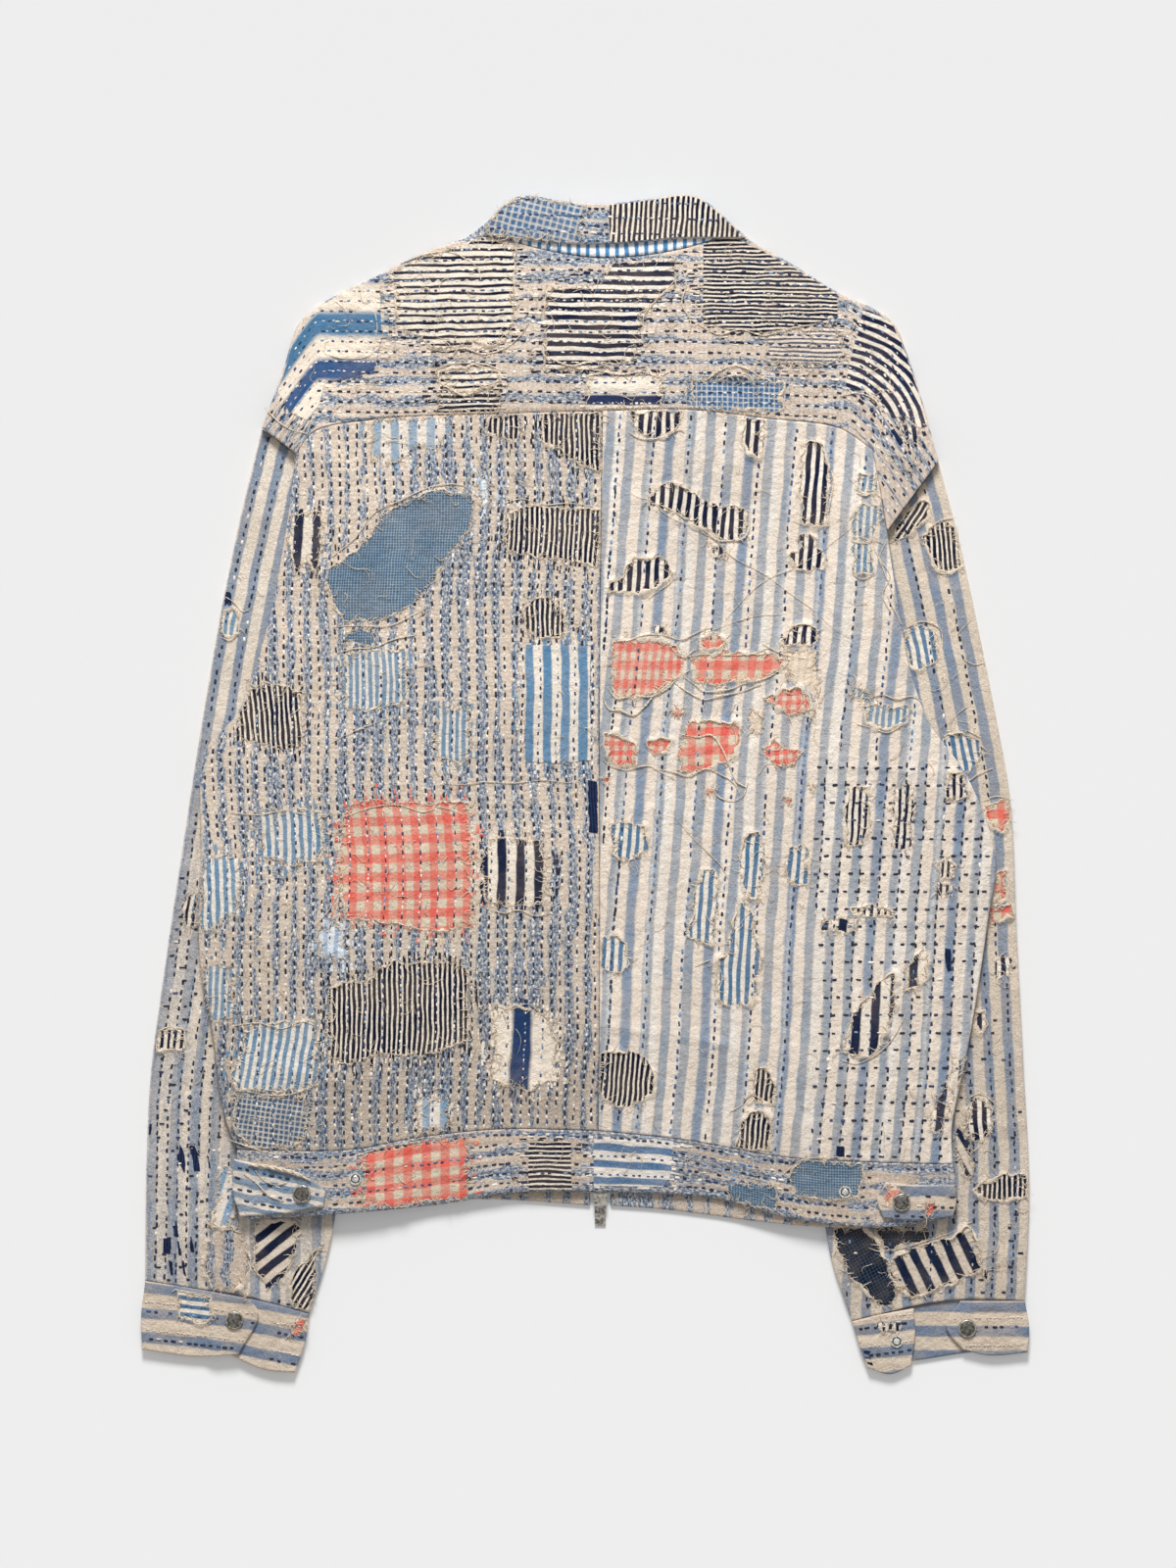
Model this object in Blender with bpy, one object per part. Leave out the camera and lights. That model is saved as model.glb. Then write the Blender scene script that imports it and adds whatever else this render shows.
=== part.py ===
"""A patched boro jacket laid flat, back side up, with its zip undone.

Every sewn piece is a wall of cloth on its own outline. The pieces lie in layers from the
surface up: sleeves, collar points, fronts, back. Sizes are in millimetres until a mesh is made.
The origin is the middle of the jacket's outline on the surface, +Y towards the collar.
"""

import math
from collections import namedtuple

import bpy
import numpy as np
from mathutils import Matrix, Vector

MM = 0.001

# Cloth and how it stacks
CLOTH = 2.4  # one ply of patched and quilted cotton
BAND = 2.8  # doubled cloth of bands, cuffs, tabs and collar
SEAM_GAP = 0.3  # between the edges of two pieces sewn together
LAY_GAP = 0.4  # between two layers that lie on each other
PLY_GAP = 0.8  # between front and back at their side seams
SLACK = 1.5  # how much further apart they are inside those seams
CLEAR = 0.95  # between a sleeve and the front that is draped over it
PUFF = 2.0  # how far a sleeve's upper side stands off its under side
SLEEVE_SLOPE = 60.0  # width of the slope where a front comes down off a sleeve
SLEEVE_MARGIN = 10.0  # the slope starts this far outside the sleeve
COLLAR_SLOPE = 75.0
PUFF_REACH = 55.0
SLACK_REACH = 40.0

# Zip
ZIP_X = 10.5  # the zip's middle line
ZIP_HALF_GAP = 7.0  # from that line to each front's edge
TAPE_WIDTH = 13.0
TAPE_THICK = 1.1
TAPE_TOP = 314.0
TAPE_FOOT = -282.4
PIVOT_Y = -289.5
PIVOT_Z = 1.6
SLIDER = dict(width=9.0, length=8.6, floor=2.4, height=3.5, plate=1.1)
ARCH = dict(width=1.6, opening=2.2, bar=0.7, leg=0.8)
TAB = dict(width=7.5, length=15.5, thick=1.1, pin=1.0, window=3.6, window_length=3.2, tilt=2.5)

# Snaps: a domed cap on the outside, a small ring stud where the other half shows
CAP = dict(radius=6.3, height=2.6, rim=1.0, sides=24)
STUD = dict(radius=4.3, height=1.8, rim=0.8, sides=16)

Fold = namedtuple("Fold", "x0 y0 x1 y1 height width")
Snap = namedtuple("Snap", "name x y kind carrier")

# Large folds that lift the upper cloth of back, yoke and hem
FOLDS = (
    Fold(196, 262, 214, 96, 2.6, 22),
    Fold(-196, 250, -178, 190, 2.4, 20),
    Fold(-60, 60, -150, 40, 1.2, 30),
    Fold(2, -165, 150, -186, 1.4, 26),
)

# Edges, as points along each one from left to right, or from top to bottom
NECK_SEAM = [(-69, 384), (-34, 373), (2, 367), (29, 367), (70, 373), (103, 384)]
ROLL_LINE = [(-70, 389), (-48, 408), (-11, 405), (14, 403.5), (45, 407), (76, 409), (112, 380)]
LEAF_EDGE = [(-69, 381), (-35, 377), (2, 375), (29, 376), (70, 379), (107, 379)]
SHOULDER_LEFT = [(-224, 248), (-210, 286), (-199, 320), (-182, 335), (-148, 352), (-111, 370), (-69, 384)]
SHOULDER_RIGHT = [(103, 384), (138, 365), (174, 343), (212, 323), (226, 292), (245, 225)]
SLEEVE_HEAD_LEFT = [(-224, 248), (-200, 230)]
SLEEVE_HEAD_RIGHT = [(209, 176), (245, 225)]
YOKE_SEAM_LEFT = [(-200, 230), (-188, 245), (-148, 254), (-58, 258), (12, 260)]
YOKE_SEAM_RIGHT = [(12, 260), (69, 261), (124, 255), (176, 248), (199, 233)]
YOKE_SIDE_RIGHT = [(199, 233), (205, 201), (209, 176)]
SIDE_LEFT = [
    (-200, 230), (-209, 166), (-221, 107), (-241, 50), (-263, 24),
    (-266, -48), (-267, -120), (-258, -172), (-250, -228), (-241, -252),
]
SIDE_RIGHT = [
    (209, 176), (215, 137), (225, 81), (239, 43), (265, 6),
    (284, -48), (279, -95), (264, -188), (254, -237), (255, -262),
]
CENTRE_SEAM = [(12, 260), (10, 60), (10, -140), (9, -239)]
BAND_SEAM_LEFT = [(-241, -252), (-163, -252), (-118, -244), (-60, -238), (9, -239)]
BAND_SEAM_RIGHT = [(9, -239), (66, -245), (137, -257), (184, -260), (255, -262)]
BAND_HEM = [
    (-235, -300), (-163, -296), (-99, -290), (-50, -282), (5, -281.5),
    (56, -283), (90, -286), (141, -299), (200, -306), (255, -299),
]
BAND_END_LEFT = [(-241, -252), (-242, -276), (-235, -300)]
BAND_END_RIGHT = [(255, -262), (257, -280), (255, -299)]
FRONT_HEM_LEFT = [(-233, -297), (-125, -288), (-60, -287), (ZIP_X - ZIP_HALF_GAP, -291)]
FRONT_HEM_RIGHT = [(ZIP_X + ZIP_HALF_GAP, -291), (56, -294), (129, -303), (182, -306), (252, -297)]
FRONT_SEAM_Y = -248.0
FRONT_NECK_Y = 316.0
OPEN_HEM_Y = -360.0  # front and back are not sewn together at the hem

SLEEVE_LEFT = dict(
    outer=[
        (-224, 248), (-236, 200), (-250, 135), (-266, 43), (-278, -35), (-292, -129),
        (-301, -197), (-304, -257), (-305, -343),
    ],
    inner=[
        (-200, 230), (-186, 160), (-160, 80), (-148, 0), (-146, -90), (-155, -180),
        (-168, -264), (-177, -319), (-191, -366),
    ],
)
SLEEVE_RIGHT = dict(
    outer=[
        (245, 225), (260, 168), (274, 103), (286, 43), (295, -11), (299, -96),
        (304, -193), (308, -280), (305, -357),
    ],
    inner=[
        (209, 176), (194, 120), (170, 60), (152, -10), (146, -100), (152, -190),
        (162, -270), (170, -325), (185, -371),
    ],
)
CUFF_SEAM_LEFT = [(-305, -343), (-261, -350), (-236, -354), (-191, -366)]
CUFF_SEAM_RIGHT = [(185, -371), (206, -366), (226, -361), (262, -356), (305, -357)]

COLLAR_POINT_LEFT = dict(
    top=[(-91, 374), (-67, 392)],
    bottom=[(-44, 262), (2, 320)],
    left=[(-91, 374), (-72, 310), (-44, 262)],
    right=[(-67, 392), (-45, 350), (2, 320)],
)
COLLAR_POINT_RIGHT = dict(
    top=[(104, 388), (128, 368)],
    bottom=[(19, 320), (72, 258)],
    left=[(104, 388), (80, 346), (19, 320)],
    right=[(128, 368), (108, 306), (72, 258)],
)

CUFF_LEFT = dict(
    outer=dict(
        top=[(-305, -343), (-261, -350), (-233, -355)],
        bottom=[(-307, -391), (-270, -396), (-240, -394)],
        left=[(-305, -343), (-308, -368), (-307, -391)],
        right=[(-233, -355), (-226, -366), (-240, -394)],
    ),
    inner=dict(
        top=[(-250, -352), (-220, -358), (-191, -366)],
        bottom=[(-252, -392), (-222, -405), (-201, -407)],
        left=[(-250, -352), (-251, -372), (-252, -392)],
        right=[(-191, -366), (-194, -386), (-201, -407)],
    ),
    under=dict(
        top=CUFF_SEAM_LEFT,
        bottom=[(-306, -390), (-250, -393), (-203, -404)],
        left=[(-305, -343), (-307, -368), (-306, -390)],
        right=[(-191, -366), (-195, -386), (-203, -404)],
    ),
    step_x=-252.0,
)
CUFF_RIGHT = dict(
    outer=dict(
        top=[(260, -357), (282, -357), (305, -357)],
        bottom=[(262, -391), (280, -395), (307, -393)],
        left=[(260, -357), (250, -375), (262, -391)],
        right=[(305, -357), (308, -375), (307, -393)],
    ),
    inner=dict(
        top=[(185, -371), (206, -366), (228, -362)],
        bottom=[(196, -404), (212, -408), (226, -402)],
        left=[(185, -371), (190, -388), (196, -404)],
        right=[(228, -362), (229, -380), (226, -402)],
    ),
    under=dict(
        top=CUFF_SEAM_RIGHT,
        bottom=[(199, -403), (228, -399), (268, -393), (306, -391)],
        left=[(185, -371), (191, -388), (199, -403)],
        right=[(305, -357), (307, -375), (306, -391)],
    ),
    step_x=None,
)

TAB_LEFT = dict(
    top=[(-243, -258), (-216, -264), (-190, -272)],
    bottom=[(-239, -298), (-208, -296), (-181, -291)],
    left=[(-243, -258), (-244, -280), (-239, -298)],
    right=[(-190, -272), (-180, -281), (-181, -291)],
)
TAB_RIGHT = dict(
    top=[(208, -274), (230, -276), (256, -276)],
    bottom=[(206, -299), (230, -301), (255, -298)],
    left=[(208, -274), (202, -286), (206, -299)],
    right=[(256, -276), (257, -288), (255, -298)],
)

SNAPS = (
    Snap("hem_tab_left_snap", -196, -282, "cap", "tab"),
    Snap("hem_tab_right_snap", 219, -288, "cap", "tab"),
    Snap("cuff_left_snap", -243, -370, "cap", "cuff_left"),
    Snap("cuff_right_snap", 265, -376, "cap", "cuff_right"),
    Snap("hem_left_stud", -159, -272, "stud", "band"),
    Snap("hem_right_stud", 180, -281, "stud", "band"),
    Snap("cuff_right_stud", 216, -385, "stud", "cuff_right"),
)

BLUE_STRIPE = (0.42, 0.50, 0.58, 1)
CREAM = (0.78, 0.70, 0.58, 1)
INDIGO = (0.20, 0.30, 0.45, 1)
MENDED = (0.52, 0.50, 0.48, 1)
STEEL = (0.62, 0.62, 0.60, 1)
GUNMETAL = (0.06, 0.06, 0.065, 1)


# Curves and surfaces


def smooth_line(points, count):
    """Points spaced evenly along a smooth curve through the given ones."""
    given = np.array(points, float)
    if len(given) == 2:
        share = np.linspace(0, 1, count)[:, None]
        return given[0] * (1 - share) + given[1] * share
    ends = np.vstack([2 * given[0] - given[1], given, 2 * given[-1] - given[-2]])
    knots = np.concatenate([[0], np.cumsum(np.linalg.norm(np.diff(ends, axis=0), axis=1) ** 0.5)])
    fine = []
    for i in range(1, len(ends) - 2):
        p0, p1, p2, p3 = ends[i - 1 : i + 3]
        t0, t1, t2, t3 = knots[i - 1 : i + 3]
        t = np.linspace(t1, t2, 24, endpoint=False)[:, None]
        a1 = (t1 - t) / (t1 - t0) * p0 + (t - t0) / (t1 - t0) * p1
        a2 = (t2 - t) / (t2 - t1) * p1 + (t - t1) / (t2 - t1) * p2
        a3 = (t3 - t) / (t3 - t2) * p2 + (t - t2) / (t3 - t2) * p3
        b1 = (t2 - t) / (t2 - t0) * a1 + (t - t0) / (t2 - t0) * a2
        b2 = (t3 - t) / (t3 - t1) * a2 + (t - t1) / (t3 - t1) * a3
        fine.append((t2 - t) / (t2 - t1) * b1 + (t - t1) / (t2 - t1) * b2)
    line = np.vstack([*fine, given[-1:]])
    run = np.concatenate([[0], np.cumsum(np.linalg.norm(np.diff(line, axis=0), axis=1))])
    even = np.linspace(0, run[-1], count)
    return np.stack([np.interp(even, run, line[:, axis]) for axis in (0, 1)], axis=1)


def joined_line(*parts):
    """One row of points from several (points, cells) parts that follow each other."""
    rows = [smooth_line(points, cells + 1) for points, cells in parts]
    return np.vstack([rows[0], *(row[1:] for row in rows[1:])])


def filled_patch(top, bottom, left, right):
    """A grid of points spread between four edges (a Coons patch), rows from top to bottom."""
    v = np.linspace(0, 1, len(left))[:, None, None]
    u = np.linspace(0, 1, len(top))[None, :, None]
    between_rows = (1 - v) * top[None] + v * bottom[None]
    between_sides = (1 - u) * left[:, None] + u * right[:, None]
    corners = (
        (1 - u) * (1 - v) * top[0]
        + u * (1 - v) * top[-1]
        + (1 - u) * v * bottom[0]
        + u * v * bottom[-1]
    )
    return between_rows + between_sides - corners


def pulled_in(grid, by):
    """The grid with each edge moved towards its inside, which leaves the gap of a seam."""
    grid = grid.copy()
    for turned in (grid, grid[::-1], grid.transpose(1, 0, 2), grid[:, ::-1].transpose(1, 0, 2)):
        inward = turned[1] - turned[0]
        turned[0] += by * inward / np.linalg.norm(inward, axis=1)[:, None]
    return grid


def rising(t):
    """0 below 0, 1 above 1, and a smooth rise between them."""
    t = np.clip(t, 0, 1)
    return t * t * (3 - 2 * t)


def depth_inside(x, y, outline):
    """How far each point lies inside a closed outline; negative outside it."""
    ax, ay = outline[:, 0], outline[:, 1]
    bx, by = np.roll(ax, -1), np.roll(ay, -1)
    px, py = np.asarray(x)[..., None], np.asarray(y)[..., None]
    along = ((px - ax) * (bx - ax) + (py - ay) * (by - ay)) / ((bx - ax) ** 2 + (by - ay) ** 2)
    along = np.clip(along, 0, 1)
    away = np.hypot(px - ax - along * (bx - ax), py - ay - along * (by - ay)).min(axis=-1)
    crosses = (ay > py) != (by > py)
    drop = np.where(by == ay, 1, by - ay)
    inside = (crosses & (px < (bx - ax) * (py - ay) / drop + ax)).sum(axis=-1) % 2 == 1
    return np.where(inside, away, -away)


def closed_outline(*edges):
    """The outline that several edges make, in order round the piece."""
    return np.vstack([edge[:-1] for edge in edges])


# Outlines that others lie on


def sleeve_outline(sleeve, cuff_seam, head):
    outer = smooth_line(sleeve["outer"], 22)
    inner = smooth_line(sleeve["inner"], 22)
    seam = smooth_line(cuff_seam, 7)
    top = smooth_line(head, 4)
    if outer[0, 0] < 0:
        return closed_outline(outer, seam, inner[::-1], top[::-1])
    return closed_outline(inner, seam, outer[::-1], top[::-1])


def patch_outline(edges):
    lines = {key: smooth_line(points, 8) for key, points in edges.items()}
    return closed_outline(lines["top"], lines["right"], lines["bottom"][::-1], lines["left"][::-1])


SLEEVES = [
    sleeve_outline(SLEEVE_LEFT, CUFF_SEAM_LEFT, SLEEVE_HEAD_LEFT),
    sleeve_outline(SLEEVE_RIGHT, CUFF_SEAM_RIGHT, SLEEVE_HEAD_RIGHT),
]
COLLAR_POINTS = [patch_outline(COLLAR_POINT_LEFT), patch_outline(COLLAR_POINT_RIGHT)]
SEWN_SHUT = closed_outline(
    smooth_line(SHOULDER_LEFT, 20),
    smooth_line(NECK_SEAM, 12),
    smooth_line(SHOULDER_RIGHT, 20),
    smooth_line(SLEEVE_HEAD_RIGHT[::-1], 4),
    smooth_line(SIDE_RIGHT, 30),
    np.array([BAND_END_RIGHT[0], (BAND_END_RIGHT[0][0], OPEN_HEM_Y)]),
    np.array([(BAND_END_LEFT[0][0], OPEN_HEM_Y), BAND_END_LEFT[0]]),
    smooth_line(SIDE_LEFT[::-1], 30),
    smooth_line(SLEEVE_HEAD_LEFT[::-1], 4),
)


# How high each layer's underside lies


def sleeve_upper(x, y):
    """The sleeve's upper side stands off its under side, except at the folds."""
    depth = np.maximum(*(depth_inside(x, y, sleeve) for sleeve in SLEEVES))
    return CLOTH + LAY_GAP + PUFF * rising(depth / PUFF_REACH)


def front_layer(x, y):
    """A front lies on the surface and is draped over sleeves and collar points."""
    height = np.zeros_like(x)
    for sleeve in SLEEVES:
        depth = depth_inside(x, y, sleeve)
        over = (2 * CLOTH + LAY_GAP + CLEAR) * rising(1 + (depth + SLEEVE_MARGIN) / SLEEVE_SLOPE)
        height = np.maximum(height, over + PUFF * rising(depth / PUFF_REACH))
    for point in COLLAR_POINTS:
        over = (BAND + CLEAR) * rising(1 + depth_inside(x, y, point) / COLLAR_SLOPE)
        height = np.maximum(height, over)
    return height


def fold_height(x, y):
    """Soft ridges: each is a bell across its line, fading out past the ends."""
    height = np.zeros_like(x)
    for f in FOLDS:
        dx, dy = f.x1 - f.x0, f.y1 - f.y0
        along = np.clip(((x - f.x0) * dx + (y - f.y0) * dy) / (dx * dx + dy * dy), 0, 1)
        away = np.hypot(x - f.x0 - along * dx, y - f.y0 - along * dy)
        height = np.maximum(height, f.height * np.exp(-((away / f.width) ** 2)))
    return height


def ply_gap(x, y):
    """Front and back come together at the side seams."""
    return PLY_GAP + SLACK * rising(depth_inside(x, y, SEWN_SHUT) / SLACK_REACH)


def back_layer(x, y):
    return front_layer(x, y) + CLOTH + ply_gap(x, y) + fold_height(x, y)


def band_layer(x, y):
    return front_layer(x, y) + BAND + ply_gap(x, y) + fold_height(x, y)


def tab_layer(x, y):
    return band_layer(x, y) + BAND + LAY_GAP


def tape_layer(x, y):
    return front_layer(x, y) + BAND + LAY_GAP


def leaf_layer(x, y):
    return back_layer(x, y) + BAND + LAY_GAP


def lying(x, y):
    return np.zeros_like(x)


def cuff_layer(x, y):
    return lying(x, y) + BAND + LAY_GAP


def cuff_lap(step_x):
    """The snapped end of a cuff climbs onto the end below it."""
    def layer(x, y):
        return cuff_layer(x, y) + (BAND + LAY_GAP) * rising((x - step_x + 14) / 12)
    return layer


# Meshes


def finish(name, mesh, colour, roughness, metallic):
    material = bpy.data.materials.new(name)
    material.use_nodes = True
    shader = material.node_tree.nodes["Principled BSDF"]
    shader.inputs["Base Color"].default_value = colour
    shader.inputs["Roughness"].default_value = roughness
    shader.inputs["Metallic"].default_value = metallic
    mesh.materials.append(material)
    piece = bpy.data.objects.new(name, mesh)
    bpy.context.scene.collection.objects.link(piece)
    return piece


def cloth(name, grid, layer, thick, colour):
    """A wall of cloth: the grid on its layer's height, and the same grid one thickness up."""
    rows, columns = grid.shape[:2]
    x, y = grid[..., 0], grid[..., 1]
    under = layer(x, y)
    lower = np.stack([x, y, under], axis=-1).reshape(-1, 3)
    upper = np.stack([x, y, under + thick], axis=-1).reshape(-1, 3)
    index = np.arange(rows * columns).reshape(rows, columns)
    a, b = index[:-1, :-1].ravel(), index[:-1, 1:].ravel()
    c, d = index[1:, 1:].ravel(), index[1:, :-1].ravel()
    top_faces = np.stack([a, d, c, b], axis=1) + rows * columns
    under_faces = np.stack([a, b, c, d], axis=1)
    rim = np.concatenate([index[0], index[1:, -1], index[-1, -2::-1], index[-2:0:-1, 0]])
    after = np.roll(rim, -1)
    shift = rows * columns
    rim_faces = np.stack([rim, rim + shift, after + shift, after], axis=1)
    mesh = bpy.data.meshes.new(name)
    faces = np.vstack([top_faces, under_faces, rim_faces])
    mesh.from_pydata((np.vstack([lower, upper]) * MM).tolist(), [], faces.tolist())
    mesh.update()
    return finish(name, mesh, colour, 0.9, 0.0)


def patch(edges, across, along, gap=SEAM_GAP / 2):
    """A grid between four named edges."""
    lines = [smooth_line(edges[key], across + 1) for key in ("top", "bottom")]
    lines += [smooth_line(edges[key], along + 1) for key in ("left", "right")]
    return pulled_in(filled_patch(*lines), gap)


def box_mesh(name, low, high):
    """A closed box between two corners, in millimetres."""
    low, high = Vector(low), Vector(high)
    mesh = bpy.data.meshes.new(name)
    corners = [
        (x, y, z)
        for z in (low.z, high.z)
        for x, y in ((low.x, low.y), (high.x, low.y), (high.x, high.y), (low.x, high.y))
    ]
    faces = [(3, 2, 1, 0), (4, 5, 6, 7), (0, 1, 5, 4), (1, 2, 6, 5), (2, 3, 7, 6), (3, 0, 4, 7)]
    mesh.from_pydata([(x * MM, y * MM, z * MM) for x, y, z in corners], [], faces)
    mesh.update()
    return mesh


def combine(piece, mesh, operation):
    """Adds or cuts one mesh, in the piece's own axes."""
    tool = bpy.data.objects.new(mesh.name, mesh)
    bpy.context.scene.collection.objects.link(tool)
    tool.hide_render = True
    tool.display_type = "WIRE"
    tool.parent = piece
    step = piece.modifiers.new(mesh.name, "BOOLEAN")
    step.operation = operation
    step.solver = "EXACT"
    step.object = tool


def turned(name, profile, sides, colour, roughness):
    """A solid of revolution about Z, from (radius, height) pairs running up its outside."""
    rings = []
    for radius, height in profile:
        angles = [2 * math.pi * k / sides for k in range(sides)]
        rings += [(radius * math.cos(t), radius * math.sin(t), height) for t in angles]
    faces = [tuple(range(sides - 1, -1, -1))]
    for level in range(len(profile) - 1):
        low, high = level * sides, (level + 1) * sides
        for k in range(sides):
            after = (k + 1) % sides
            faces.append((low + k, low + after, high + after, high + k))
    last = (len(profile) - 1) * sides
    faces.append(tuple(range(last, last + sides)))
    mesh = bpy.data.meshes.new(name)
    mesh.from_pydata([(x * MM, y * MM, z * MM) for x, y, z in rings], [], faces)
    mesh.shade_smooth()
    mesh.set_sharp_from_angle(angle=math.radians(40))
    return finish(name, mesh, colour, roughness, 1.0)


# The jacket's pieces


def make_body():
    left_seam, right_seam = (YOKE_SEAM_LEFT, 9), (YOKE_SEAM_RIGHT, 9)
    yoke_foot = joined_line(left_seam, right_seam, (YOKE_SIDE_RIGHT, 3))
    yoke_top = joined_line((SHOULDER_LEFT, 7), (NECK_SEAM, 7), (SHOULDER_RIGHT, 7))
    left_end = smooth_line(SLEEVE_HEAD_LEFT, 7)
    right_end = smooth_line(SLEEVE_HEAD_RIGHT[::-1], 7)
    grid = filled_patch(yoke_top, yoke_foot, left_end, right_end)
    cloth("back_yoke", pulled_in(grid, SEAM_GAP / 2), back_layer, CLOTH, MENDED)

    down = 16
    left_side, centre = smooth_line(SIDE_LEFT, down + 1), smooth_line(CENTRE_SEAM, down + 1)
    right_side = joined_line((YOKE_SIDE_RIGHT, 3), (SIDE_RIGHT, down - 3))
    foot_left, foot_right = smooth_line(BAND_SEAM_LEFT, 10), smooth_line(BAND_SEAM_RIGHT, 10)
    top_left, top_right = smooth_line(YOKE_SEAM_LEFT, 10), smooth_line(YOKE_SEAM_RIGHT, 10)
    for name, edges, colour in (
        ("back_panel_left", (top_left, foot_left, left_side, centre), MENDED),
        ("back_panel_right", (top_right, foot_right, centre, right_side), BLUE_STRIPE),
    ):
        grid = pulled_in(filled_patch(*edges), SEAM_GAP / 2)
        cloth(name, grid, back_layer, CLOTH, colour)

    band_top = joined_line((BAND_SEAM_LEFT, 9), (BAND_SEAM_RIGHT, 9))
    ends = [smooth_line(end, 4) for end in (BAND_END_LEFT, BAND_END_RIGHT)]
    grid = filled_patch(band_top, smooth_line(BAND_HEM, 19), *ends)
    cloth("back_band", pulled_in(grid, SEAM_GAP / 2), band_layer, BAND, MENDED)


def make_front(side):
    """One front, from the neck and shoulder to its hem band, and the band below it."""
    left = side == "left"
    edge_x = ZIP_X - ZIP_HALF_GAP if left else ZIP_X + ZIP_HALF_GAP
    if left:
        top = joined_line((SHOULDER_LEFT, 6), ([(-69, 384), (-46, 340), (edge_x, FRONT_NECK_Y)], 3))
        outer = joined_line((SLEEVE_HEAD_LEFT, 1), (SIDE_LEFT, 13))
        foot = smooth_line([tuple(outer[-1]), (-120, FRONT_SEAM_Y), (edge_x, FRONT_SEAM_Y)], 10)
        hem = smooth_line(FRONT_HEM_LEFT, 10)
    else:
        top = joined_line(([(edge_x, FRONT_NECK_Y), (80, 340), (103, 384)], 3), (SHOULDER_RIGHT, 6))
        outer = joined_line((SLEEVE_HEAD_RIGHT[::-1], 1), (SIDE_RIGHT, 13))
        foot = smooth_line([(edge_x, FRONT_SEAM_Y), (140, FRONT_SEAM_Y - 4), tuple(outer[-1])], 10)
        hem = smooth_line(FRONT_HEM_RIGHT, 10)
    middle = smooth_line([(edge_x, FRONT_NECK_Y), (edge_x, FRONT_SEAM_Y)], len(outer))
    sides = (outer, middle) if left else (middle, outer)
    grid = pulled_in(filled_patch(top, foot, *sides), SEAM_GAP / 2)
    cloth(f"front_{side}", grid, front_layer, CLOTH, BLUE_STRIPE)
    ends = [np.linspace(foot[end], hem[end], 3) for end in (0, -1)]
    grid = pulled_in(filled_patch(foot, hem, *ends), SEAM_GAP / 2)
    cloth(f"front_band_{side}", grid, front_layer, BAND, MENDED)


def make_sleeve(side, sleeve, head, seam):
    """A sleeve lies flat: its upper side and its under side, cut alike."""
    outer, inner = (smooth_line(sleeve[key], 19) for key in ("outer", "inner"))
    sides = (outer, inner) if side == "left" else (inner, outer)
    grid = filled_patch(smooth_line(head, 7), smooth_line(seam, 7), *sides)
    grid = pulled_in(grid, SEAM_GAP / 2)
    cloth(f"sleeve_{side}_upper", grid, sleeve_upper, CLOTH, BLUE_STRIPE)
    cloth(f"sleeve_{side}_under", grid, lying, CLOTH, CREAM)


def make_cuff(side, parts):
    """A cuff goes round the wrist and laps over itself where it snaps."""
    lap = cuff_layer if parts["step_x"] is None else cuff_lap(parts["step_x"])
    cloth(f"cuff_{side}_under", patch(parts["under"], 6, 2), lying, BAND, CREAM)
    cloth(f"cuff_{side}_inner", patch(parts["inner"], 4, 3), cuff_layer, BAND, CREAM)
    cloth(f"cuff_{side}_outer", patch(parts["outer"], 8, 4), lap, BAND, CREAM)
    return lap


def make_collar():
    grid = patch(dict(top=ROLL_LINE, bottom=NECK_SEAM, left=[ROLL_LINE[0], NECK_SEAM[0]],
                      right=[ROLL_LINE[-1], NECK_SEAM[-1]]), 7, 2)
    cloth("collar_stand", grid, back_layer, BAND, BLUE_STRIPE)
    grid = patch(dict(top=ROLL_LINE, bottom=LEAF_EDGE, left=[ROLL_LINE[0], LEAF_EDGE[0]],
                      right=[ROLL_LINE[-1], LEAF_EDGE[-1]]), 14, 2)
    cloth("collar_leaf", grid, leaf_layer, BAND, INDIGO)
    for side, edges in (("left", COLLAR_POINT_LEFT), ("right", COLLAR_POINT_RIGHT)):
        cloth(f"collar_point_{side}", patch(edges, 3, 5), lying, BAND, INDIGO)


def make_tabs():
    for side, edges in (("left", TAB_LEFT), ("right", TAB_RIGHT)):
        cloth(f"hem_tab_{side}", patch(edges, 5, 3), tab_layer, BAND, CREAM)


def top_under(x, y, radius, layer, thick):
    """The highest point of a piece below a round part of this radius."""
    turns = np.linspace(0, 2 * math.pi, 16, endpoint=False)
    xs = np.append(x + radius * np.cos(turns), x)
    ys = np.append(y + radius * np.sin(turns), y)
    return float(layer(xs, ys).max() + thick)


def make_snaps(layers):
    for snap in SNAPS:
        size = CAP if snap.kind == "cap" else STUD
        radius, height, rim = size["radius"], size["height"], size["rim"]
        if snap.kind == "cap":
            dome = [
                (radius * math.cos(t), rim + (height - rim) * math.sin(t))
                for t in (0.35, 0.75, 1.1, 1.35)
            ]
            profile = [(radius * 0.93, 0), (radius, rim * 0.5), (radius * 0.99, rim), *dome]
            colour, roughness = GUNMETAL, 0.25
        else:
            profile = [
                (radius, 0), (radius, rim), (radius * 0.6, rim * 1.1), (radius * 0.52, height),
                (radius * 0.3, height),
            ]
            colour, roughness = STEEL, 0.3
        piece = turned(snap.name, profile, size["sides"], colour, roughness)
        seat = top_under(snap.x, snap.y, radius, layers[snap.carrier], BAND)
        piece.location = Vector((snap.x, snap.y, seat + SEAM_GAP)) * MM


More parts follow.
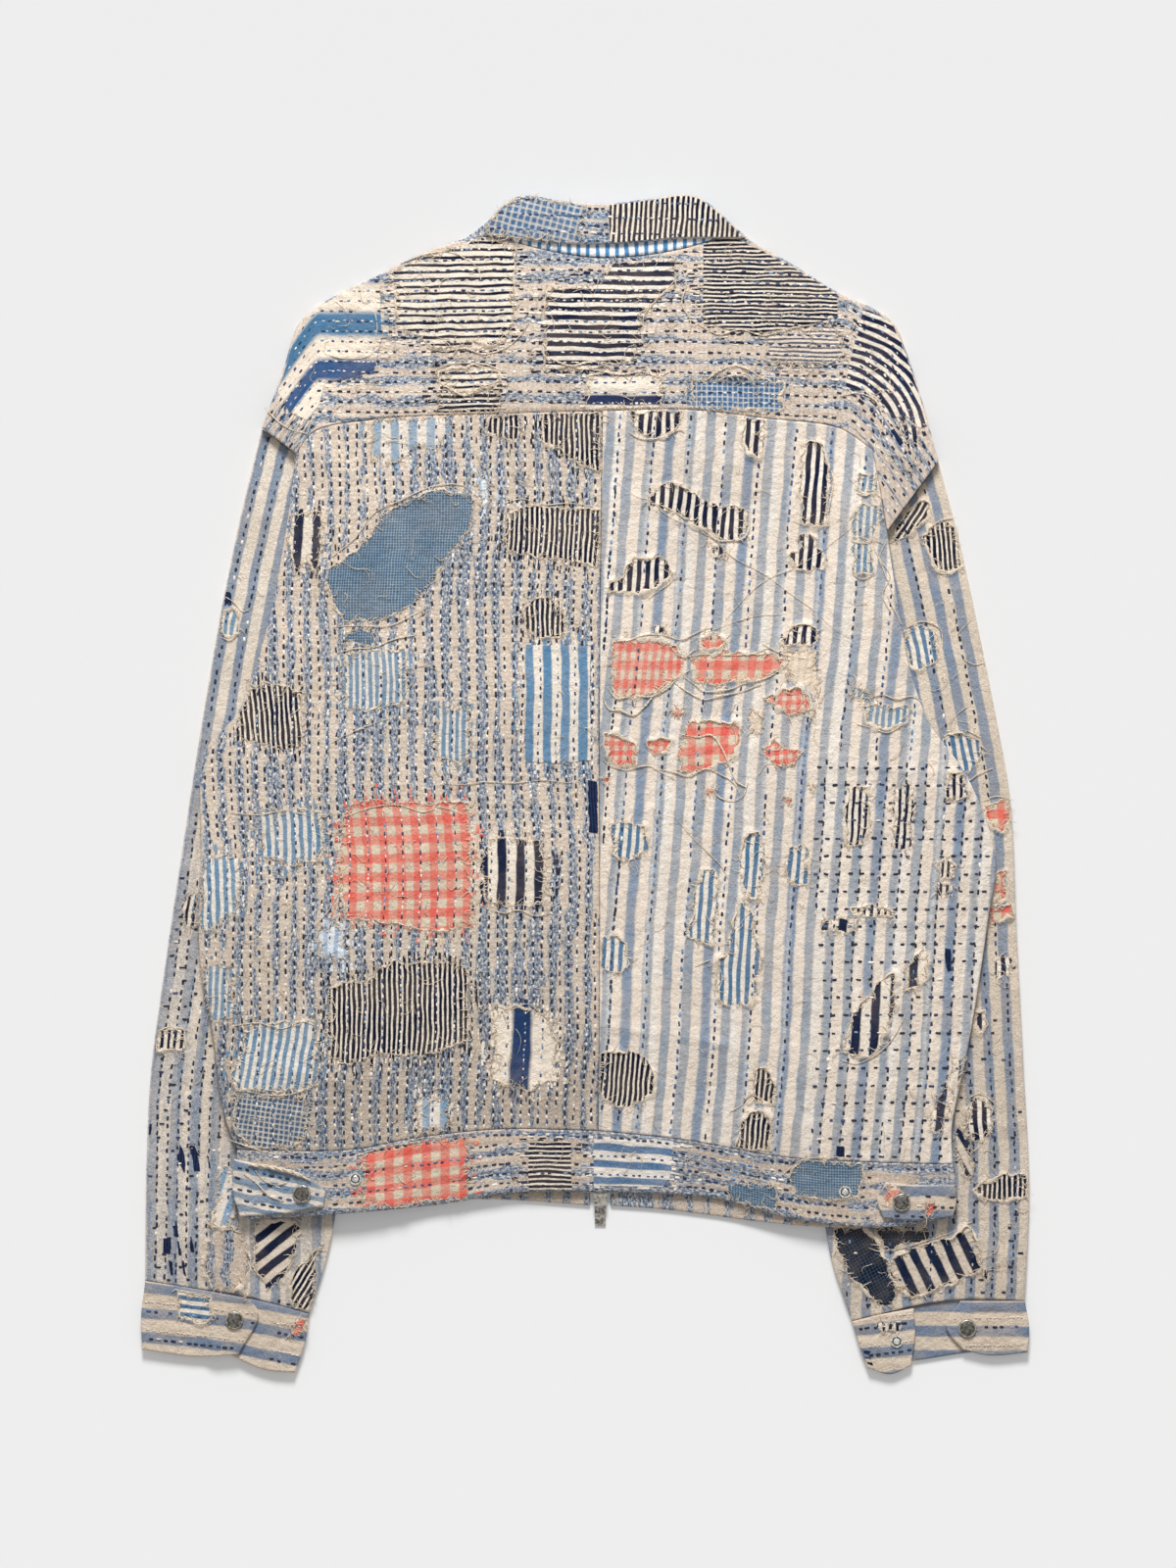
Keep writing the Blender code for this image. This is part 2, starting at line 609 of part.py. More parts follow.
def make_tapes():
    for side, near, far in (("left", -1.2 - TAPE_WIDTH, -1.2), ("right", 1.2, 1.2 + TAPE_WIDTH)):
        edges = dict(
            top=[(ZIP_X + near, TAPE_TOP), (ZIP_X + far, TAPE_TOP)],
            bottom=[(ZIP_X + near, TAPE_FOOT), (ZIP_X + far, TAPE_FOOT)],
            left=[(ZIP_X + near, TAPE_TOP), (ZIP_X + near, TAPE_FOOT)],
            right=[(ZIP_X + far, TAPE_TOP), (ZIP_X + far, TAPE_FOOT)],
        )
        cloth(f"zip_tape_{side}", patch(edges, 1, 24), tape_layer, TAPE_THICK, CREAM)


def make_slider():
    """Two plates joined by a neck, with a small arch on the outer face for the pull tab."""
    s, a = SLIDER, ARCH
    near, far = PIVOT_Y - a["opening"] / 2 - a["leg"], PIVOT_Y - 1.9 + s["length"]
    low, high = s["floor"], s["floor"] + s["height"]
    half = s["width"] / 2
    plate = box_mesh("slider_outer_plate", (-half, near, low), (half, far, low + s["plate"]))
    slider = finish("zip_slider", plate, STEEL, 0.3, 1.0)
    rounding = slider.modifiers.new("Rounding", "BEVEL")
    rounding.width = 0.35 * MM
    rounding.segments = 1
    top = box_mesh("slider_inner_plate", (-half, near, high - s["plate"]), (half, far, high))
    neck = box_mesh("slider_neck", (-1.8, near + 0.5, low + 0.5), (1.8, far - 4, high - 0.5))
    foot = PIVOT_Z - TAB["pin"] / 2 - 0.3 - a["bar"]
    wide = a["width"] / 2
    inner, outer = a["opening"] / 2, a["opening"] / 2 + a["leg"]
    bar_end = PIVOT_Y + outer - 0.1
    bar_start = PIVOT_Y - outer + 0.1
    bar = box_mesh("arch_bar", (-wide, bar_start, foot), (wide, bar_end, foot + a["bar"]))
    legs = [
        box_mesh(f"arch_leg_{k}", (-wide, PIVOT_Y + y0, foot), (wide, PIVOT_Y + y1, low + 0.4))
        for k, (y0, y1) in enumerate(((-outer, -inner), (inner, outer)))
    ]
    for part in (top, neck, *legs, bar):
        combine(slider, part, "UNION")
    slider.location = Vector((ZIP_X, 0, 0)) * MM


def make_pull_tab():
    """A flat tab that hangs on its pin in the slider's arch, its origin on the pin's axis."""
    t = TAB
    half, thick = t["width"] / 2, t["thick"] / 2
    body = box_mesh("pull_tab_body", (-half, -t["length"], -thick), (half, t["pin"] / 2, thick))
    tab = finish("zip_pull_tab", body, STEEL, 0.3, 1.0)
    window_half = t["window"] / 2
    near, far = -t["pin"] / 2 - t["window_length"], -t["pin"] / 2
    window = box_mesh("pull_tab_window", (-window_half, near, -2), (window_half, far, 2))
    combine(tab, window, "DIFFERENCE")
    rounding = tab.modifiers.new("Rounding", "BEVEL")
    rounding.width = 0.2 * MM
    rounding.segments = 1
    tab.location = Vector((ZIP_X, PIVOT_Y, PIVOT_Z)) * MM
    tab.rotation_euler = (math.radians(t["tilt"]), 0, 0)


def centre_on_origin():
    """Moves every piece so that the origin is the middle of the whole outline."""
    bpy.context.view_layer.update()
    pieces = [o for o in bpy.context.scene.objects if not o.hide_render]
    corners = np.array([o.matrix_world @ Vector(c) for o in pieces for c in o.bound_box])
    low, high = corners.min(axis=0), corners.max(axis=0)
    shift = Vector((-(low[0] + high[0]) / 2, -(low[1] + high[1]) / 2, -low[2]))
    for piece in pieces:
        piece.matrix_world = Matrix.Translation(shift) @ piece.matrix_world


def main():
    for old in list(bpy.data.objects):
        bpy.data.objects.remove(old)
    make_body()
    for side in ("left", "right"):
        make_front(side)
    make_sleeve("left", SLEEVE_LEFT, SLEEVE_HEAD_LEFT, CUFF_SEAM_LEFT)
    make_sleeve("right", SLEEVE_RIGHT, SLEEVE_HEAD_RIGHT, CUFF_SEAM_RIGHT)
    lap_left = make_cuff("left", CUFF_LEFT)
    lap_right = make_cuff("right", CUFF_RIGHT)
    make_collar()
    make_tabs()
    make_snaps(dict(tab=tab_layer, band=band_layer, cuff_left=lap_left, cuff_right=lap_right))
    make_tapes()
    make_slider()
    make_pull_tab()
    centre_on_origin()


main()
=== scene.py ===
import bpy
import numpy as np
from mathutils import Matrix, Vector
from mathutils.geometry import delaunay_2d_cdt


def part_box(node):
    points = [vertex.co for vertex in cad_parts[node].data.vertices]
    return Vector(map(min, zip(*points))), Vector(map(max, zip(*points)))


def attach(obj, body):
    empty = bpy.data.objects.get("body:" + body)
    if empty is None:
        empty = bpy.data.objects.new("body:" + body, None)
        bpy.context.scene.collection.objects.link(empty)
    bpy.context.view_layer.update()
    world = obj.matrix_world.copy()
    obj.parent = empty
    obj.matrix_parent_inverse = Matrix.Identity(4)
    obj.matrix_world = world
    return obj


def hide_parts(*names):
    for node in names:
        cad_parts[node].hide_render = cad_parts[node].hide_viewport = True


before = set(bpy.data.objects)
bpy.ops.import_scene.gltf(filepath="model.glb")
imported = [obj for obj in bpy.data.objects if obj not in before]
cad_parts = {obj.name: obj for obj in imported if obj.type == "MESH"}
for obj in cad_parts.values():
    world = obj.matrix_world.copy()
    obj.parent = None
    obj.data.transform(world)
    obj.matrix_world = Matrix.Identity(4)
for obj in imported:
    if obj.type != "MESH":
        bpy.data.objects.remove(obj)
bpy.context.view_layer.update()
print("frame loaded:", len(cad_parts), "nodes")

mm = 0.001

# Cloth and how it is stacked, in millimetres, as in the solids
ply = 2.4
bandPly = 2.8
seamGap = 0.3
layGap = 0.4
clearGap = 0.95
sleevePuff = 2.0
zipX = 10.5

# The solids' own table is shifted so that the jacket's middle is the origin. The stud below the
# left hem tab, at studAt in that table, shows by how much.
studAt = np.array([-159, -272])
studBox = np.array([list(corner)[:2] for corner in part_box("hem_left_stud")])
shift = studBox.sum(axis=0) / 2 / mm - studAt


# The four edges of a small piece: its upper and lower one, and both sides by the point half way
# down each
def fourEdges(top, bottom, leftMiddle, rightMiddle):
    left = [top[0], leftMiddle, bottom[0]]
    right = [top[-1], rightMiddle, bottom[-1]]
    return dict(top=top, bottom=bottom, left=left, right=right)


# Edges of the pieces, from left to right or from top to bottom
neckSeam = [(-69, 384), (-34, 373), (2, 367), (29, 367), (70, 373), (103, 384)]
rollLine = [(-70, 389), (-48, 408), (-11, 405), (14, 403.5), (45, 407), (76, 409), (112, 380)]
leafEdge = [(-69, 381), (-35, 377), (2, 375), (29, 376), (70, 379), (107, 379)]
shoulderLeft = [(-224, 248), (-210, 286), (-199, 320), (-182, 335), (-148, 352), (-111, 370), (-69, 384)]
shoulderRight = [(103, 384), (138, 365), (174, 343), (212, 323), (226, 292), (245, 225)]
sleeveHeadLeft = [(-224, 248), (-200, 230)]
sleeveHeadRight = [(209, 176), (245, 225)]
yokeSeamLeft = [(-200, 230), (-188, 245), (-148, 254), (-58, 258), (12, 260)]
yokeSeamRight = [(12, 260), (69, 261), (124, 255), (176, 248), (199, 233)]
yokeSideRight = [(199, 233), (205, 201), (209, 176)]
sideLeft = [
    (-200, 230), (-209, 166), (-221, 107), (-241, 50), (-263, 24),
    (-266, -48), (-267, -120), (-258, -172), (-250, -228), (-241, -252),
]
sideRight = [
    (209, 176), (215, 137), (225, 81), (239, 43), (265, 6),
    (284, -48), (279, -95), (264, -188), (254, -237), (255, -262),
]
centreSeam = [(12, 260), (10, 60), (10, -140), (9, -239)]
bandSeamLeft = [(-241, -252), (-163, -252), (-118, -244), (-60, -238), (9, -239)]
bandSeamRight = [(9, -239), (66, -245), (137, -257), (184, -260), (255, -262)]
bandHem = [
    (-235, -300), (-163, -296), (-99, -290), (-50, -282), (5, -281.5),
    (56, -283), (90, -286), (141, -299), (200, -306), (255, -299),
]
bandEndLeft = [(-241, -252), (-242, -276), (-235, -300)]
bandEndRight = [(255, -262), (257, -280), (255, -299)]
sleeveLeft = dict(
    outer=[
        (-224, 248), (-236, 200), (-250, 135), (-266, 43), (-278, -35), (-292, -129),
        (-301, -197), (-304, -257), (-305, -343),
    ],
    inner=[
        (-200, 230), (-186, 160), (-160, 80), (-148, 0), (-146, -90), (-155, -180),
        (-168, -264), (-177, -319), (-191, -366),
    ],
)
sleeveRight = dict(
    outer=[
        (245, 225), (260, 168), (274, 103), (286, 43), (295, -11), (299, -96),
        (304, -193), (308, -280), (305, -357),
    ],
    inner=[
        (209, 176), (194, 120), (170, 60), (152, -10), (146, -100), (152, -190),
        (162, -270), (170, -325), (185, -371),
    ],
)
cuffSeamLeft = [(-305, -343), (-261, -350), (-236, -354), (-191, -366)]
cuffSeamRight = [(185, -371), (206, -366), (226, -361), (262, -356), (305, -357)]
tabLeft = fourEdges(
    [(-243, -258), (-216, -264), (-190, -272)], [(-239, -298), (-208, -296), (-181, -291)],
    (-244, -280), (-180, -281),
)
tabRight = fourEdges(
    [(208, -274), (230, -276), (256, -276)], [(206, -299), (230, -301), (255, -298)],
    (202, -286), (257, -288),
)
collarPointLeft = fourEdges([(-91, 374), (-67, 392)], [(-44, 262), (2, 320)], (-72, 310), (-45, 350))
collarPointRight = fourEdges([(104, 388), (128, 368)], [(19, 320), (72, 258)], (80, 346), (108, 306))


# Lines and grids


spanPoints = 24


# A smooth curve through the given points: each span is a cubic whose knots are spaced by the
# square root of the distance between the points.
def denseLine(points):
    given = np.array(points, float)
    if len(given) == 2:
        return given
    ends = np.vstack([2 * given[0] - given[1], given, 2 * given[-1] - given[-2]])
    knots = np.concatenate([[0], np.cumsum(np.linalg.norm(np.diff(ends, axis=0), axis=1) ** 0.5)])
    fine = []
    for i in range(1, len(ends) - 2):
        p0, p1, p2, p3 = ends[i - 1 : i + 3]
        t0, t1, t2, t3 = knots[i - 1 : i + 3]
        t = np.linspace(t1, t2, spanPoints, endpoint=False)[:, None]
        a1 = (t1 - t) / (t1 - t0) * p0 + (t - t0) / (t1 - t0) * p1
        a2 = (t2 - t) / (t2 - t1) * p1 + (t - t1) / (t2 - t1) * p2
        a3 = (t3 - t) / (t3 - t2) * p2 + (t - t2) / (t3 - t2) * p3
        b1 = (t2 - t) / (t2 - t0) * a1 + (t - t0) / (t2 - t0) * a2
        b2 = (t3 - t) / (t3 - t1) * a2 + (t - t1) / (t3 - t1) * a3
        fine.append((t2 - t) / (t2 - t1) * b1 + (t - t1) / (t2 - t1) * b2)
    return np.vstack([*fine, given[-1:]])


# Several edges that follow each other, read as one line
def joined(*edges):
    lines = [denseLine(edge) for edge in edges]
    return np.vstack([lines[0], *(line[1:] for line in lines[1:])])


def lengthOf(line):
    return float(np.linalg.norm(np.diff(line, axis=0), axis=1).sum())


# How far along a line each of its points lies
def runOf(line):
    return np.concatenate([[0], np.cumsum(np.linalg.norm(np.diff(line, axis=0), axis=1))])


# Points at the given shares of a line's length
def alongLine(line, shares):
    run = runOf(line)
    at = np.asarray(shares) * run[-1]
    return np.stack([np.interp(at, run, line[:, k]) for k in range(line.shape[1])], axis=1)


# Where the cloth turns down at an edge: the radius of the turn, and grid lines close enough to
# follow it
edgeRound = 1.3
edgeLines = np.array([0, 0.25, 0.7, edgeRound, 2.2])


# Shares along an edge of that length: evenly spaced between the close ones at both ends
def edgeShares(length, step):
    inner = np.linspace(edgeLines[-1], length - edgeLines[-1], max(2, round(length / step)))
    return np.concatenate([edgeLines[:-1], inner, length - edgeLines[-2::-1]]) / length


# A grid between four edges: the mean of going straight across and straight down, less the
# corners' own share (a Coons patch). Rows run from top to bottom.
def panelGrid(top, bottom, left, right, step):
    across = edgeShares(max(lengthOf(top), lengthOf(bottom)), step)
    down = edgeShares(max(lengthOf(left), lengthOf(right)), step)
    top, bottom = alongLine(top, across), alongLine(bottom, across)
    left, right = alongLine(left, down), alongLine(right, down)
    u, v = across[None, :, None], down[:, None, None]
    corners = (1 - u) * (1 - v) * top[0] + u * (1 - v) * top[-1]
    corners = corners + (1 - u) * v * bottom[0] + u * v * bottom[-1]
    grid = (1 - v) * top[None] + v * bottom[None] + (1 - u) * left[:, None] + u * right[:, None] - corners
    for turned in (grid, grid[::-1], grid.transpose(1, 0, 2), grid[:, ::-1].transpose(1, 0, 2)):
        inward = turned[2] - turned[0]
        turned[0] += seamGap / 2 * inward / np.linalg.norm(inward, axis=1)[:, None]
    return grid


# Each grid point's way to the nearest edge, measured along its row and its column
def edgeDistance(grid):
    rows = np.cumsum(np.linalg.norm(np.diff(grid, axis=0, prepend=grid[:1]), axis=2), axis=0)
    columns = np.cumsum(np.linalg.norm(np.diff(grid, axis=1, prepend=grid[:, :1]), axis=2), axis=1)
    return np.minimum.reduce([rows, rows[-1:] - rows, columns, columns[:, -1:] - columns])


# 0 below 0, 1 above 1, a smooth rise between them: 3t^2 - 2t^3
def rising(t):
    t = np.clip(t, 0, 1)
    return t * t * (3 - 2 * t)


# How far each point lies inside a closed outline; negative outside it
def depthInside(x, y, outline):
    shape = np.shape(x)
    px, py = np.ravel(x), np.ravel(y)
    ax, ay = outline[:, 0], outline[:, 1]
    bx, by = np.roll(ax, -1), np.roll(ay, -1)
    squares = np.maximum((bx - ax) ** 2 + (by - ay) ** 2, 1e-9)
    rise = np.where(by == ay, 1, by - ay)
    result = np.empty(len(px))
    for some in np.array_split(np.arange(len(px)), 1 + len(px) * len(ax) // 2000000):
        qx, qy = px[some, None], py[some, None]
        along = np.clip(((qx - ax) * (bx - ax) + (qy - ay) * (by - ay)) / squares, 0, 1)
        away = np.hypot(qx - ax - along * (bx - ax), qy - ay - along * (by - ay)).min(axis=1)
        crosses = ((ay > qy) != (by > qy)) & (qx < (bx - ax) * (qy - ay) / rise + ax)
        result[some] = np.where(crosses.sum(axis=1) % 2 == 1, away, -away)
    return result.reshape(shape)


def closedOutline(*edges):
    return np.vstack([edge[:-1] for edge in edges])


# The mean of the four values round a place, weighted by its shares a and b of the way from row i
# and column j to the next ones
def blended(values, i, j, a, b):
    afterI, afterJ = (i + 1) % len(values), (j + 1) % len(values[0])
    low = values[i, j] * (1 - a) + values[afterI, j] * a
    high = values[i, afterJ] * (1 - a) + values[afterI, afterJ] * a
    return low * (1 - b) + high * b


noiseRows, noiseColumns = 61, 67


# Smooth hills and hollows between -1 and 1, about one for every size millimetres: random
# heights on a lattice that repeats, blended with 3t^2 - 2t^3 between its points
def unevenness(x, y, size, seed):
    heights = np.random.default_rng(seed).uniform(-1, 1, (noiseRows, noiseColumns))
    i, j = np.floor(x / size).astype(int), np.floor(y / size).astype(int)
    a, b = rising(x / size - i), rising(y / size - j)
    return blended(heights, i % noiseRows, j % noiseColumns, a, b)


# How the layers lie on each other


def evenly(points, cells):
    return alongLine(denseLine(points), np.linspace(0, 1, cells))


def sleeveOutline(sleeve, cuffSeam, head):
    outer, inner = evenly(sleeve["outer"], 22), evenly(sleeve["inner"], 22)
    seam, top = evenly(cuffSeam, 7), evenly(head, 4)
    if outer[0, 0] < 0:
        return closedOutline(outer, seam, inner[::-1], top[::-1])
    return closedOutline(inner, seam, outer[::-1], top[::-1])


def patchOutline(edges):
    lines = {key: evenly(points, 8) for key, points in edges.items()}
    return closedOutline(lines["top"], lines["right"], lines["bottom"][::-1], lines["left"][::-1])


sleeveOutlines = [
    sleeveOutline(sleeveLeft, cuffSeamLeft, sleeveHeadLeft),
    sleeveOutline(sleeveRight, cuffSeamRight, sleeveHeadRight),
]
pointOutlines = [patchOutline(collarPointLeft), patchOutline(collarPointRight)]
bodyOutline = closedOutline(
    evenly(shoulderLeft, 20),
    evenly(neckSeam, 12),
    evenly(shoulderRight, 20),
    evenly(sleeveHeadRight[::-1], 4),
    evenly(sideRight, 30),
    np.array([bandEndRight[0], (bandEndRight[0][0], -360.0)]),
    np.array([(bandEndLeft[0][0], -360.0), bandEndLeft[0]]),
    evenly(sideLeft[::-1], 30),
    evenly(sleeveHeadLeft[::-1], 4),
)

# Over how many millimetres each layer rises inward from its edge; a sleeve's rise starts
# outside the edge, by reach. The two plies of the body part by gap at its edge, and by slack more
# inside. A cuff's end laps from lapAt on.
stackLook = dict(
    reach=10, sleeveRun=60, crownRun=55, pointRun=75, gap=0.8, slack=1.5, slackRun=40, lapAt=-266, lapRun=12,
)

# Heights are worked out once on a lattice and read from it
latticeStep = 2.0
latticeX = np.arange(-330, 331, latticeStep)
latticeY = np.arange(-430, 431, latticeStep)


# Reads a lattice of heights between its points, and just short of its last ones at most
def latticeReader(values):
    def read(x, y):
        i = np.clip((x - latticeX[0]) / latticeStep, 0, len(latticeX) - 1.001)
        j = np.clip((y - latticeY[0]) / latticeStep, 0, len(latticeY) - 1.001)
        i0, j0 = i.astype(int), j.astype(int)
        return blended(values, i0, j0, i - i0, j - j0)

    return read


def makeHeights():
    x, y = np.meshgrid(latticeX, latticeY, indexing="ij")
    depths = [depthInside(x, y, sleeve) for sleeve in sleeveOutlines]
    height = np.zeros_like(x)
    for depth in depths:
        over = rising(1 + (depth + stackLook["reach"]) / stackLook["sleeveRun"])
        over = (2 * ply + layGap + clearGap) * over
        height = np.maximum(height, over + sleevePuff * rising(depth / stackLook["crownRun"]))
    for point in pointOutlines:
        over = (bandPly + clearGap) * rising(1 + depthInside(x, y, point) / stackLook["pointRun"])
        height = np.maximum(height, over)
    return (
        latticeReader(height),
        latticeReader(sleevePuff * rising(np.maximum(*depths) / stackLook["crownRun"])),
        latticeReader(depthInside(x, y, bodyOutline)),
    )


frontUnder, sleeveRise, bodyDepth = makeHeights()

# Large folds that the solids have too: (x0, y0, x1, y1, height, width)
bigFolds = [
    (196, 262, 214, 96, 2.6, 22),
    (-196, 250, -178, 190, 2.4, 20),
    (-60, 60, -150, 40, 1.2, 30),
    (2, -165, 150, -186, 1.4, 26),
]


# The way of each point to a straight line between two ends, and how far along it lies
def awayFromLine(x, y, x0, y0, x1, y1):
    dx, dy = x1 - x0, y1 - y0
    along = ((x - x0) * dx + (y - y0) * dy) / (dx * dx + dy * dy)
    held = np.clip(along, 0, 1)
    return np.hypot(x - x0 - held * dx, y - y0 - held * dy), along


def bigFoldHeight(x, y):
    height = np.zeros_like(x)
    for x0, y0, x1, y1, rise, width in bigFolds:
        away = awayFromLine(x, y, x0, y0, x1, y1)[0]
        height = np.maximum(height, rise * np.exp(-((away / width) ** 2)))
    return height


def plyGap(x, y):
    return stackLook["gap"] + stackLook["slack"] * rising(bodyDepth(x, y) / stackLook["slackRun"])


def backUnder(x, y):
    return frontUnder(x, y) + ply + plyGap(x, y) + bigFoldHeight(x, y)


def bandUnder(x, y):
    return frontUnder(x, y) + bandPly + plyGap(x, y) + bigFoldHeight(x, y)


def sleeveUpperUnder(x, y):
    return ply + layGap + sleeveRise(x, y)


def tapeUnder(x, y):
    return frontUnder(x, y) + bandPly + layGap


def onFloor(x, y):
    return np.zeros_like(x)


def cuffUnder(x, y):
    return np.full_like(x, bandPly + layGap)


def cuffLap(x, y):
    over = rising((x - stackLook["lapAt"]) / stackLook["lapRun"])
    return cuffUnder(x, y) + (bandPly + layGap) * over


print("layers worked out")


# Creases and undulation


# Soft troughs (below 0) and ridges (above 0), listed one by one:
# (x0, y0, x1, y1, height, width), each fading towards its two ends
bodyCreases = [
    (-196, 238, -150, 210, 1.6, 6), (-190, 222, -166, 176, -1.2, 7), (-203, 200, -176, 130, 1.3, 8),
    (-214, 150, -196, 84, -1.0, 9), (-120, 214, -158, 178, 0.8, 9), (-92, 205, -140, 196, 1.5, 4),
    (-240, 40, -216, -30, 1.2, 12), (-205, 30, -228, -60, -0.9, 11), (-150, 20, -176, -40, 0.9, 12),
    (-100, 90, -150, 66, 1.0, 8), (-138, -10, -90, -42, -0.8, 14), (-70, -20, -84, -90, 0.9, 13),
    (-240, -70, -180, -86, 0.9, 8), (-236, -128, -170, -150, -0.8, 10), (-250, -150, -190, -172, 1.0, 9),
    (-222, -196, -150, -206, 1.0, 6), (-240, -214, -170, -224, -1.1, 5), (-130, -186, -60, -176, 0.9, 8),
    (-176, -118, -180, -190, -1.2, 5), (-170, -112, -172, -188, 1.0, 4), (-60, -206, -10, -214, 0.8, 7),
    (2, -165, 60, -172, 0.9, 4), (60, -172, 110, -182, 1.0, 4), (110, -182, 152, -186, 0.7, 5),
    (20, 208, 92, 168, 0.8, 3), (92, 168, 150, 128, 0.8, 3), (150, 128, 184, 96, 0.6, 3),
    (60, -10, 100, -60, 0.7, 4), (100, -60, 134, -126, 0.7, 4), (8, 120, 40, 150, -0.7, 12),
    (196, 260, 204, 196, 1.8, 5), (206, 240, 212, 170, -1.6, 5), (214, 205, 222, 120, 1.5, 6),
    (190, 214, 198, 140, 1.2, 5), (200, 150, 208, 86, -1.3, 5), (216, 120, 232, 60, 1.2, 6),
    (186, 72, 232, 60, 1.0, 5), (190, 44, 240, 50, -0.9, 5), (160, 14, 262, 8, 0.7, 3),
    (165, -90, 262, -96, 0.7, 3), (236, 10, 250, -70, 1.0, 10), (200, -30, 214, -110, -0.7, 12),
    (252, -60, 262, -140, 1.1, 9), (222, -176, 250, -190, 0.9, 7), (180, -206, 246, -214, 0.8, 6),
    (120, -140, 150, -190, 0.6, 9), (30, -190, 60, -228, -0.7, 10), (-20, 40, -34, -30, 0.7, 12),
]
yokeCreases = [
    (-184, 334, -184, 262, 1.3, 7), (-150, 268, -84, 272, 1.3, 5), (-140, 286, -92, 280, -1.1, 6),
    (-96, 344, -112, 322, 0.8, 6), (-60, 352, -54, 300, 0.8, 4), (-90, 298, -60, 300, 0.9, 4),
    (0, 276, 50, 274, 1.4, 4), (0, 284, 54, 284, -0.9, 4), (86, 288, 118, 284, 2.0, 4),
    (80, 278, 116, 277, -1.6, 4), (64, 340, 36, 300, 0.9, 5), (182, 292, 203, 246, 1.8, 6),
    (188, 300, 214, 250, -1.3, 5), (198, 292, 226, 240, 0.9, 6), (120, 314, 172, 304, 0.7, 8),
    (-30, 372, 60, 368, -1.0, 7), (-186, 300, -212, 262, -0.8, 8), (-170, 256, -120, 262, 0.7, 5),
    (-60, 266, -10, 268, 0.6, 5), (140, 262, 180, 258, 0.7, 5),
]
sleeveCreases = [
    (-232, 190, -206, 182, 1.0, 5), (-240, 140, -216, 128, 1.0, 6), (-226, 108, -248, 70, -0.9, 6),
    (-262, 56, -236, 40, 0.9, 5), (-268, 10, -244, 18, -0.8, 5), (-282, -60, -264, -52, 0.9, 6),
    (-288, -110, -262, -130, 1.0, 8), (-296, -160, -268, -150, -0.8, 7), (-302, -226, -262, -214, 1.1, 7),
    (-300, -250, -258, -262, -0.9, 6), (-292, -284, -250, -272, 1.2, 6), (-302, -312, -262, -318, 0.9, 6),
    (-256, -280, -236, -336, 1.5, 6), (-244, -290, -228, -340, -1.3, 5), (-232, -300, -212, -344, 1.4, 5),
    (-214, -312, -196, -338, 1.0, 6), (-204, -290, -184, -320, -0.9, 6), (-252, -330, -204, -346, 1.1, 5),
    (250, 190, 228, 178, 1.0, 5), (262, 140, 232, 150, -0.9, 7), (272, 84, 244, 96, 1.0, 7),
    (284, 30, 250, 44, 0.9, 5), (290, -20, 272, 2, -0.8, 6), (298, -80, 286, -50, 0.9, 6),
    (304, -150, 282, -130, 1.0, 8), (306, -200, 278, -214, -0.8, 7), (304, -240, 272, -232, 1.0, 6),
    (258, -276, 280, -346, 1.2, 4), (270, -262, 288, -330, -0.9, 7), (214, -316, 252, -352, 1.0, 6),
    (190, -322, 222, -346, -0.8, 7), (232, -300, 276, -316, 0.9, 5), (284, -322, 304, -330, 1.3, 4),
    (280, -334, 304, -340, -1.0, 4), (200, -344, 262, -346, 0.9, 5),
]
bandCreases = [
    (-236, -258, -190, -262, 1.2, 4), (-238, -268, -196, -276, -0.8, 4), (-170, -262, -120, -260, 0.8, 5),
    (-110, -268, -60, -262, 0.7, 6), (-50, -256, -6, -254, -0.7, 5), (30, -262, 90, -268, 0.7, 6),
    (100, -272, 150, -284, 0.8, 6), (200, -272, 250, -270, 1.0, 4), (-90, -284, -40, -276, 0.6, 5),
    (140, -266, 190, -272, -0.6, 5), (-20, -270, 10, -272, 0.6, 5),
]
cuffCreases = [
    (-300, -374, -262, -380, 0.7, 5), (-246, -352, -206, -372, 0.9, 5), (-240, -378, -206, -396, -0.7, 5),
    (-296, -358, -262, -362, -0.5, 5), (196, -386, 224, -392, 0.6, 4), (268, -384, 302, -380, 0.6, 5),
    (262, -366, 300, -366, -0.5, 4),
]
collarCreases = [
    (-60, 398, -24, 392, 0.7, 5), (10, 396, 40, 394, 0.6, 6), (84, 402, 108, 382, 1.3, 5),
    (92, 388, 112, 378, -1.0, 4), (60, 392, 88, 390, 0.5, 5),
]
capRadius, studRadius = 6.3, 4.3
snapPlaces = [
    (-196, -282, capRadius), (219, -288, capRadius), (-243, -370, capRadius), (265, -376, capRadius),
    (-159, -272, studRadius), (180, -281, studRadius), (216, -385, studRadius),
]
calmLook = dict(margin=1, run=7)


# The sum of all creases: each is height * exp(-(away / width)^2), times a smooth taper that
# brings it to nothing at its ends
def creased(x, y, creases):
    height = np.zeros_like(x)
    for x0, y0, x1, y1, rise, width in creases:
        away, along = awayFromLine(x, y, x0, y0, x1, y1)
        taper = rising(1.2 - np.abs(2 * along - 1))
        height += rise * np.exp(-((away / width) ** 2)) * taper
    return height


# 0 under a snap, so that it sits flat, rising to 1 around it
def calm(x, y):
    result = np.ones_like(x)
    for sx, sy, radius in snapPlaces:
        away = np.hypot(x - sx, y - sy) - radius - calmLook["margin"]
        result = result * rising(away / calmLook["run"])
    return result


# Where each piece's rows of stitches and stripes run. across stays the same along a row. A flow
# gives (across, along) for a place, and its place the other way round.


# A back panel's rows: they lean by so much for each millimetre down from the yoke, and wander by
# waves of (height, length, start)
def wavyFlow(waves, lean=0.0, panelTop=260):
    def wander(y):
        return sum(height * np.sin(y / length + start) for height, length, start in waves)

    def flow(x, y):
        return x - lean * (y - panelTop) + wander(y), y

    def place(across, along):
        return across + lean * (along - panelTop) - wander(along), along

    return flow, place


